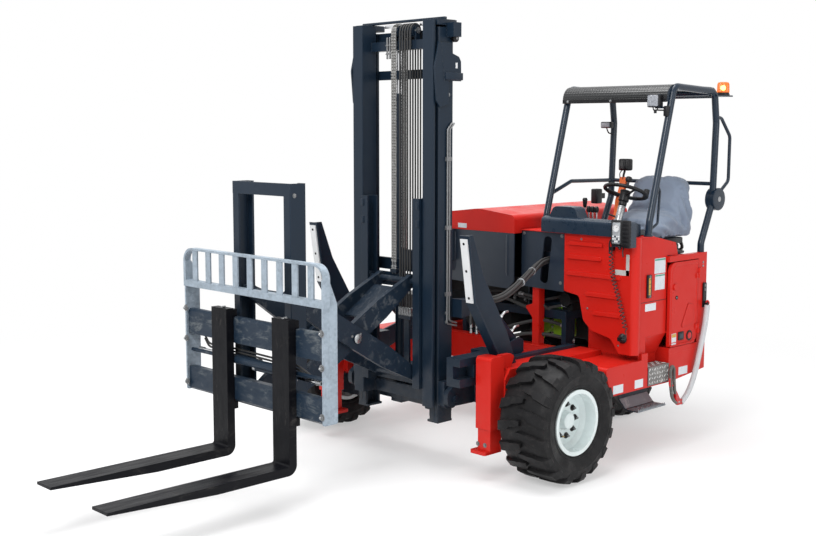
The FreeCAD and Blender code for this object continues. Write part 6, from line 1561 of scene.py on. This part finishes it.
def panel_screws():
    """Screws of the slotted panel, and the rods that stand in its opening."""
    q = Piece("panel_screws", "chassis", "bare_steel")
    low, high = corners("slot_plate")
    for x, z in ((low.x + 0.022, high.z - 0.02), (high.x - 0.022, high.z - 0.02),
                 (low.x + 0.022, low.z + 0.024), (high.x - 0.03, low.z + 0.06)):
        q.nut((x, low.y + 0.0005, z), -Y, 0.0085, 0.006)
    for k in range(5):
        z = 1.385 - 0.028 * k
        q.rod(axle(0.381, 0.8, z), axle(0.415, 0.8, z - 0.004), 0.0045, "bare steel")
    q.rod(axle(0.409, 0.785, 1.23), axle(0.409, 0.785, 1.42), 0.006, "dull steel")
    q.place()


def bay_details():
    """Everything round the engine: machinery, screws, the hood's label and catches, flues."""
    bay_machinery()
    panel_screws()
    h = Piece("hood_fittings", "engine_hood", "black_plastic")
    low, high = corners("engine_hood")
    front = surface_at("engine_hood", axle(-0.355, 0.0, 1.492), Y)[0].y
    h.box((-0.4, front - 0.0016, 1.474), (-0.315, front + 0.002, 1.508), "blank label",
          LABEL_SOFT)
    for x in (low.x + 0.1, high.x - 0.1):
        rear = surface_at("engine_hood", axle(x, 2.6, 1.5), -Y)[0].y
        h.box((x - 0.035, rear - 0.004, 1.482), (x + 0.035, rear + 0.012, 1.518),
              "black plastic", 0.006, 2)
    h.place()

    f = Piece("fascia_flue", "chassis", "grey_plastic")
    panel = surface_at("engine_panels", axle(-0.3, 0.0, 1.3), Y)[0].y
    for x, wide in ((-0.475, 0.052), (0.085, 0.026)):
        f.turned((x, panel + 0.02, 1.15), Z, [(0, wide * 0.8), (0.03, wide), (0.26, wide),
                                                (0.3, wide * 0.9)], "grey plastic", 30)
    f.place()


def bundle_ties():
    """Straps round the hose bundle, its clamp bolt and the hose ends beyond the clamp."""
    p = Piece("bundle_ties", "chassis", "black_plastic")
    for spot, onward in ((axle(0.452, 0.475, 1.231), axle(0.5, 0.37, 1.212)),
                         (axle(0.572, 0.22, 1.189), axle(0.6, 0.15, 1.178))):
        p.turned(spot, onward - spot, [(-0.003, 0.0272), (-0.002, 0.0282), (0.002, 0.0282),
                                       (0.003, 0.0272)], "silver plastic", 26)
    for dx, dz in ((-0.012, 0.011), (0.012, 0.011), (-0.012, -0.012), (0.012, -0.012)):
        start = axle(0.66 + dx, -0.236, 1.118 + dz)
        line = p.pipe([start, start + Vector((0.0, -0.05, -0.012)),
                       start + Vector((-0.03 + dx, -0.07, -0.075)),
                       start + Vector((-0.034 + dx, -0.06, -0.155))], 0.0085, "rubber", 6)
        p.rod(line[-1] + Z * 0.002, line[-1] - Z * 0.036, 0.0105, "bare steel")
    p.nut(axle(0.634, -0.2745, 1.138), -Y, 0.01, 0.009)
    p.place()


def guard_screws():
    """Dark screws in the pale strips on the guard posts."""
    p = Piece("guard_screws", "chassis", "bare_steel")
    for x in (-0.722, 0.722):
        for z in (1.165, 1.335, 1.505):
            spot, normal = surface_at("guard_strips", axle(x, -1.2, z), Y)
            p.turned(spot - normal * 0.001, normal, [(0, 0.0088), (0.003, 0.008),
                                                     (0.0035, 0.004)], "black plastic", 16)
    p.place()


# ---------------------------------------------------------------------------
# Mast, arms, carriage and legs
# ---------------------------------------------------------------------------
def outer_mast_details(front):
    """Painted-shade lines at the flange edges, top shelves, pads and bolts on the outer mast."""
    p = Piece("mast_outer_fittings", "mast_outer", "black_steel")
    # Thin dark strips down the flange edges of the front face: painted shade where the channels
    # meet.
    for side in (-1, 1):
        for x in (0.378, 0.352, 0.312):
            y = surface_at("mast_outer", (side * x, front - CLEAR, 2.2), Y)[0].y
            p.box((side * x - 0.0035, y - 0.0016, 0.34), (side * x + 0.0035, y + 0.001, 2.83),
                  "slate edge", 0.0008)
    shelf = [(front + y, z) for y, z in (
        (0.006, 2.746), (0.098, 2.746), (0.103, 2.68), (0.172, 2.66), (0.19, 2.632),
        (0.194, 2.506), (0.036, 2.506))]
    for side in (-1, 1):
        p.sheet(shelf, *sorted((side * 0.386, side * 0.3992)), 0, "slate paint", 0.002)
        inner, outer = sorted((side * 0.386, side * 0.41))
        p.box((inner, front + 0.042, 2.512), (outer, front + 0.198, 2.558), "slate paint",
              0.003, 2)
        # A white block in the side plate's slot: painted light of the white backdrop seen through
        # the slot.
        p.block(Vector((side * 0.3994, front + 0.147, 2.604)), (-0.001, -0.009, -0.018),
                (0.001, 0.009, 0.018), "white plastic", 0.0006)
        for x0, x1, radius, *rest in ((0.386, 0.418, 0.026, "black paint", 24),
                                      (0.414, 0.424, 0.012, "dull steel")):
            p.rod((side * x0, front + 0.128, 2.775), (side * x1, front + 0.128, 2.775), radius,
                  *rest)
    for aft, z in ((-0.3, 0.96), (-0.3, 1.02), (-0.285, 1.64), (-0.285, 2.42)):
        for side in (1, -1):
            bolt_on(p, "mast_outer", axle(side * 0.9, aft, z), X * -side, 0.0085, 0.008)
    p.place()


def mast_details():
    """Fittings of the outer mast, the inner mast's top bar, caps and pulley pins, frame pads."""
    front = AXLE - 0.375
    outer_mast_details(front)
    q = Piece("mast_inner_fittings", "mast_inner", "black_steel")
    top = corners("mast_inner")[1].z
    q.box((-0.384, front + 0.048, top + 0.0055), (0.384, front + 0.074, top + 0.022),
          "slate paint", 0.003, 2)
    for side in (-1, 1):
        cap = [(side * 0.336 + x, front + y) for x, y in (
            (-0.05, -0.012), (0.05, -0.012), (0.05, 0.15), (0.036, 0.176), (0.01, 0.186),
            (-0.05, 0.186))]
        q.sheet(cap, top - 0.032, top + 0.0055, 2, "slate paint", 0.0015)
    for x in (-0.117, -0.092):
        q.rod((x, front + 0.028, 2.66), (x, front + 0.028, 2.8), 0.0065, "dull steel")
        for z in (2.69, 2.745):
            q.nut((x, front + 0.028, z), Z, 0.01, 0.01)
    for x0, x1 in ((-0.082, -0.071), (0.122, 0.133)):
        q.rod(axle(x0, -0.3095, 2.835), axle(x1, -0.3095, 2.835), 0.021, "dull steel", 20)
    for x in (-0.086, 0.137):
        q.nut(axle(x, -0.3095, 2.835), X if x > 0 else -X, 0.013, 0.01)
    q.place()

    r = Piece("lift_frame_fittings", "lift_frame", "black_steel")
    low, high = corners("lift_frame")
    for x in (low.x + 0.02, high.x - 0.02):
        for z in (high.z - 0.045, high.z - 0.16):
            spot, _ = surface_at("lift_frame", (x, front - CLEAR, z), Y)
            r.block(spot, (-0.014, -0.006, -0.024), (0.014, 0.001, 0.024), "slate paint", 0.003, 2)
    r.place()


def arm_details():
    """Pin heads, keeper plates and grease points on the arms and the frame that they carry."""
    p = Piece("arm_pin_heads", "arm_b", "bare_steel")
    joint = JOINTS["arm_cross"]["pos_m"]
    for side in (-1, 1):
        out = X * side
        start = Vector((side, joint[1], joint[2]))
        spot, _ = surface_at("arm_b", start, -out)
        p.turned(spot - out * 0.001, out, [(0, 0.03), (0.003, 0.03), (0.005, 0.027)],
                 "bare steel", 32)
        p.turned(spot + out * 0.004, out, [(0, 0.007), (0.001, 0.006)], "dull steel", 12)
        for turn in (0.6, 2.7):
            off = Vector((0, math.cos(turn), math.sin(turn))) * 0.04
            bolt_on(p, "arm_b", start + off, -out, 0.006, 0.005)
    p.place()

    q = Piece("portal_fittings", "reach_frame", "bare_steel")
    low, high = corners("reach_frame")
    for side in (-1, 1):
        for z in (low.z + 0.1, low.z + 0.22, high.z - 0.07):
            bolt_on(q, "reach_frame", (side, (low.y + high.y) / 2 - 0.01, z), -X * side, 0.009,
                    0.008)
    q.place()


def backrest_bolts():
    """Bolts that hold the load backrest."""
    p = Piece("backrest_bolts", "fork_carriage", "bare_steel")
    low, high = corners("load_backrest")
    for side in (-1, 1):
        x = side * (high.x - 0.022)
        for z in (1.075, 0.88, 0.6):
            spot, normal = surface_at("load_backrest", (x, low.y - CLEAR, z), Y)
            p.nut(spot, normal, 0.014, 0.012)
            p.rod(spot, spot + normal * 0.02, 0.0075, "bare steel", 10)
    p.place()


def carriage_rods():
    """Side-shift rods and hoses between the carriage bars."""
    q = Piece("carriage_rods", "fork_carriage", "bare_steel")
    y = AXLE - 1.53
    for side, z in ((-1, 0.815), (1, 0.775)):
        x0, x1 = sorted((side * 0.6, -0.02))
        q.rod((x0, y, z), (x1, y, z), 0.011, "chrome")
        q.turned((side * 0.6, y, z), X * -side, [(0, 0.015), (0.045, 0.015), (0.047, 0.012)],
                 "bare steel", 18)
    q.rod((-0.3, y, 0.815), (0.02, y, 0.815), 0.0185, "slate paint", 20)
    q.rod((-0.02, y, 0.775), (0.3, y, 0.775), 0.0185, "slate paint", 20)
    for x, z in ((0.02, 0.815), (-0.02, 0.775)):
        q.rod((x - 0.012, y, z), (x + 0.012, y, z), 0.0205, "bare steel", 20)
    for drop in (0.0, 0.02):
        line = q.pipe([(x, y + off, z - drop) for x, off, z in (
            (-0.56, 0.01, 0.905), (-0.5, -0.002, 0.86), (-0.2, 0.012, 0.862),
            (0.3, 0.012, 0.852), (0.42, -0.004, 0.842), (0.55, 0.01, 0.78))], 0.0065, "rubber", 6)
        end = line[-1]
        q.rod(end, end + (line[-2] - end).normalized() * 0.035, 0.0088, "bare steel")
    q.place()


def carriage_details():
    """Backrest bolts, side-shift rods and hoses, and the catch on top of each fork."""
    backrest_bolts()
    carriage_rods()
    for node in ("fork_left", "fork_right"):
        low, high = corners(node)
        f = Piece(node + "_catch", node, "black_steel")
        top = Vector(((low.x + high.x) / 2, high.y - 0.06, high.z))
        f.rod(top - Z * 0.02, top + Z * 0.004, 0.013, "dull steel")
        f.rod(top + Z * 0.002, top + Vector((0.03, 0, 0.008)), 0.006, "dull steel")
        f.place()


def leg_details():
    """Stabiliser labels and foot bolts, and the fittings of the tilt cylinders."""
    for node in ("stabiliser_left", "stabiliser_right"):
        low, high = corners(node)
        p = Piece(node + "_fittings", node, "bare_steel")
        x = (low.x + high.x) / 2
        y = surface_at(node, (x, low.y - CLEAR, high.z - 0.2), Y)[0].y
        p.box((x - 0.02, y - 0.0012, high.z - 0.235), (x + 0.02, y + 0.001, high.z - 0.195),
              "blank label", LABEL_SOFT)
        for dx in (-0.03, 0.03):
            bolt_on(p, node, (x + dx, low.y - CLEAR, low.z + 0.06), Y, 0.01, 0.008)
        p.place()
    p = Piece("tilt_fittings", "tilt_barrels", "bare_steel")
    low, high = corners("tilt_barrels")
    for side in (-1, 1):
        for share in (0.25, 0.75):
            spot, normal = surface_at("tilt_barrels", (
                side * (high.x - 0.03), low.y + (high.y - low.y) * share, high.z + CLEAR), -Z)
            p.turned(spot - normal * 0.002, normal, [(0, 0.0125), (0.012, 0.0125)], "bare steel",
                     6, False)
            p.rod(spot, spot + normal * 0.026, 0.0078, "bare steel")
            p.pipe([spot + normal * 0.022, spot + normal * 0.042,
                    spot + normal * 0.046 + Y * 0.03], 0.0082, "bare steel", 4)
    p.place()


# ---------------------------------------------------------------------------
# Operators and panel
# ---------------------------------------------------------------------------
WHEELS = {"front_left": "wheel_front_left", "front_right": "wheel_front_right",
          "rear_left": "wheel_rear", "rear_right": "wheel_rear"}


class FORKLIFT_OT_stage(bpy.types.Operator):
    """Make the floor, the surroundings, the lamps and the camera"""
    bl_idname = "forklift.stage"
    bl_label = "Stage"

    def execute(self, context):
        make_stage()
        return {"FINISHED"}


class FORKLIFT_OT_coiled_lead(bpy.types.Operator):
    """Wind the curly lead between its clip and its socket"""
    bl_idname = "forklift.coiled_lead"
    bl_label = "Coiled lead"

    def execute(self, context):
        coiled_lead()
        return {"FINISHED"}


class FORKLIFT_OT_hose_bundle(bpy.types.Operator):
    """Lay the hoses from the slotted panel to the guard post"""
    bl_idname = "forklift.hose_bundle"
    bl_label = "Hose bundle"

    def execute(self, context):
        hose_bundle()
        return {"FINISHED"}


class FORKLIFT_OT_sling(bpy.types.Operator):
    """Hang the sleeved sling from its bracket"""
    bl_idname = "forklift.sling"
    bl_label = "Sling"

    def execute(self, context):
        sling()
        return {"FINISHED"}


class FORKLIFT_OT_finishes(bpy.types.Operator):
    """Give every steel part its finish"""
    bl_idname = "forklift.finishes"
    bl_label = "Finishes"

    def execute(self, context):
        for finish_name, names in DRESSED.items():
            dress(finish_name, *names.split())
        return {"FINISHED"}


class FORKLIFT_OT_tyres(bpy.types.Operator):
    """Make the four tyres with their treads"""
    bl_idname = "forklift.tyres"
    bl_label = "Tyres"

    def execute(self, context):
        for place, body in WHEELS.items():
            tyre("tyre_" + place, body, "rim_" + place)
        return {"FINISHED"}


class FORKLIFT_OT_wheel_nuts(bpy.types.Operator):
    """Make the hubs, nuts and valves of the wheels"""
    bl_idname = "forklift.wheel_nuts"
    bl_label = "Wheel nuts"

    def execute(self, context):
        for place, body in WHEELS.items():
            wheel_nuts("rim_" + place, body, 1 if place.endswith("left") else -1)
        return {"FINISHED"}


class FORKLIFT_OT_mast_runs(bpy.types.Operator):
    """Make the lift chains and hoses and their way over the pulleys"""
    bl_idname = "forklift.mast_runs"
    bl_label = "Mast runs"

    def execute(self, context):
        chains_and_hoses()
        return {"FINISHED"}


class FORKLIFT_OT_mast_fittings(bpy.types.Operator):
    """Make the plates, pads and bolts of the mast"""
    bl_idname = "forklift.mast_fittings"
    bl_label = "Mast fittings"

    def execute(self, context):
        mast_details()
        return {"FINISHED"}


class FORKLIFT_OT_arm_pins(bpy.types.Operator):
    """Make the pin heads of the arms and of the frame that they carry"""
    bl_idname = "forklift.arm_pins"
    bl_label = "Arm pins"

    def execute(self, context):
        arm_details()
        return {"FINISHED"}


class FORKLIFT_OT_carriage(bpy.types.Operator):
    """Make the carriage's bolts, rods and hoses"""
    bl_idname = "forklift.carriage"
    bl_label = "Carriage"

    def execute(self, context):
        carriage_details()
        return {"FINISHED"}


class FORKLIFT_OT_legs(bpy.types.Operator):
    """Make the fittings of the stabilisers and the tilt cylinders"""
    bl_idname = "forklift.legs"
    bl_label = "Legs"

    def execute(self, context):
        leg_details()
        return {"FINISHED"}


class FORKLIFT_OT_guard_screws(bpy.types.Operator):
    """Make the screws of the pale strips"""
    bl_idname = "forklift.guard_screws"
    bl_label = "Guard screws"

    def execute(self, context):
        guard_screws()
        return {"FINISHED"}


class FORKLIFT_OT_engine_bay(bpy.types.Operator):
    """Make the machinery, hoses and screws round the engine bay"""
    bl_idname = "forklift.engine_bay"
    bl_label = "Engine bay"

    def execute(self, context):
        bay_details()
        return {"FINISHED"}


class FORKLIFT_OT_bundle_ties(bpy.types.Operator):
    """Make the straps and clamp of the hose bundle"""
    bl_idname = "forklift.bundle_ties"
    bl_label = "Bundle ties"

    def execute(self, context):
        bundle_ties()
        return {"FINISHED"}


class FORKLIFT_OT_body_fittings(bpy.types.Operator):
    """Make the labels, gauge and small parts of the bodywork"""
    bl_idname = "forklift.body_fittings"
    bl_label = "Body fittings"

    def execute(self, context):
        body_details()
        return {"FINISHED"}


class FORKLIFT_OT_door_fittings(bpy.types.Operator):
    """Make the border, lock and sockets of the side door"""
    bl_idname = "forklift.door_fittings"
    bl_label = "Door fittings"

    def execute(self, context):
        door_details()
        return {"FINISHED"}


class FORKLIFT_OT_step_plates(bpy.types.Operator):
    """Make the tread plates and the toothed edge of the steps"""
    bl_idname = "forklift.step_plates"
    bl_label = "Step plates"

    def execute(self, context):
        step_plates()
        return {"FINISHED"}


class FORKLIFT_OT_sling_hook(bpy.types.Operator):
    """Make the sling's forged hook and the fittings of its bracket"""
    bl_idname = "forklift.sling_hook"
    bl_label = "Sling hook"

    def execute(self, context):
        sling_hook()
        sling_fittings()
        return {"FINISHED"}


class FORKLIFT_OT_seat_cover(bpy.types.Operator):
    """Make the cloth cover over the seat, and the seat's base"""
    bl_idname = "forklift.seat_cover"
    bl_label = "Seat cover"

    def execute(self, context):
        seat_cover()
        return {"FINISHED"}


class FORKLIFT_OT_steering(bpy.types.Operator):
    """Make the steering wheel's fittings and the column's sleeve"""
    bl_idname = "forklift.steering"
    bl_label = "Steering"

    def execute(self, context):
        steering()
        return {"FINISHED"}


class FORKLIFT_OT_levers(bpy.types.Operator):
    """Make the control levers"""
    bl_idname = "forklift.levers"
    bl_label = "Levers"

    def execute(self, context):
        levers()
        return {"FINISHED"}


class FORKLIFT_OT_gauge(bpy.types.Operator):
    """Make the instrument box on the dash"""
    bl_idname = "forklift.gauge"
    bl_label = "Gauge"

    def execute(self, context):
        gauge_unit()
        return {"FINISHED"}


class FORKLIFT_OT_belt(bpy.types.Operator):
    """Make the safety belt and the box lamps"""
    bl_idname = "forklift.belt"
    bl_label = "Belt"

    def execute(self, context):
        belt()
        return {"FINISHED"}


class FORKLIFT_OT_roof(bpy.types.Operator):
    """Make the roof sheet, the work lamps and the drum"""
    bl_idname = "forklift.roof"
    bl_label = "Roof"

    def execute(self, context):
        roof()
        return {"FINISHED"}


class FORKLIFT_OT_beacon(bpy.types.Operator):
    """Make the beacon's lens"""
    bl_idname = "forklift.beacon"
    bl_label = "Beacon"

    def execute(self, context):
        beacon()
        return {"FINISHED"}


STEPS = (FORKLIFT_OT_stage, FORKLIFT_OT_coiled_lead, FORKLIFT_OT_hose_bundle,
         FORKLIFT_OT_sling, FORKLIFT_OT_finishes, FORKLIFT_OT_tyres,
         FORKLIFT_OT_wheel_nuts, FORKLIFT_OT_mast_runs, FORKLIFT_OT_mast_fittings,
         FORKLIFT_OT_arm_pins, FORKLIFT_OT_carriage, FORKLIFT_OT_legs,
         FORKLIFT_OT_guard_screws, FORKLIFT_OT_engine_bay, FORKLIFT_OT_bundle_ties,
         FORKLIFT_OT_body_fittings, FORKLIFT_OT_door_fittings, FORKLIFT_OT_step_plates,
         FORKLIFT_OT_sling_hook, FORKLIFT_OT_seat_cover, FORKLIFT_OT_steering,
         FORKLIFT_OT_levers, FORKLIFT_OT_gauge, FORKLIFT_OT_belt,
         FORKLIFT_OT_roof, FORKLIFT_OT_beacon)


class FORKLIFT_PT_looks(bpy.types.Panel):
    """Lists the sizes, the colours and the steps"""
    bl_idname = "FORKLIFT_PT_looks"
    bl_label = "Forklift looks"
    bl_space_type = "VIEW_3D"
    bl_region_type = "UI"
    bl_category = "Forklift"

    def draw(self, context):
        for group in (context.scene.forklift_sizes, context.scene.forklift_colours):
            column = self.layout.column(align=True)
            for name in group.__annotations__:
                column.prop(group, name)
        column = self.layout.column(align=True)
        for step in STEPS:
            column.operator(step.bl_idname)


CLASSES = (ForkliftSizes, ForkliftColours, *STEPS, FORKLIFT_PT_looks)


def register():
    for made in CLASSES:
        bpy.utils.register_class(made)
    bpy.types.Scene.forklift_sizes = bpy.props.PointerProperty(
        type=ForkliftSizes, name="Sizes", description="Sizes of the pieces made here")
    bpy.types.Scene.forklift_colours = bpy.props.PointerProperty(
        type=ForkliftColours, name="Colours", description="Base colours of the finishes")


def unregister():
    del bpy.types.Scene.forklift_colours
    del bpy.types.Scene.forklift_sizes
    for made in reversed(CLASSES):
        bpy.utils.unregister_class(made)


def main():
    register()
    bpy.ops.forklift.stage()
    bpy.ops.forklift.coiled_lead()
    bpy.ops.forklift.hose_bundle()
    bpy.ops.forklift.sling()
    bpy.ops.forklift.finishes()
    bpy.ops.forklift.tyres()
    bpy.ops.forklift.wheel_nuts()
    bpy.ops.forklift.mast_runs()
    bpy.ops.forklift.mast_fittings()
    bpy.ops.forklift.arm_pins()
    bpy.ops.forklift.carriage()
    bpy.ops.forklift.legs()
    bpy.ops.forklift.guard_screws()
    bpy.ops.forklift.engine_bay()
    bpy.ops.forklift.bundle_ties()
    bpy.ops.forklift.body_fittings()
    bpy.ops.forklift.door_fittings()
    bpy.ops.forklift.step_plates()
    bpy.ops.forklift.sling_hook()
    bpy.ops.forklift.seat_cover()
    bpy.ops.forklift.steering()
    bpy.ops.forklift.levers()
    bpy.ops.forklift.gauge()
    bpy.ops.forklift.belt()
    bpy.ops.forklift.roof()
    bpy.ops.forklift.beacon()


if __name__ == "__main__":
    main()
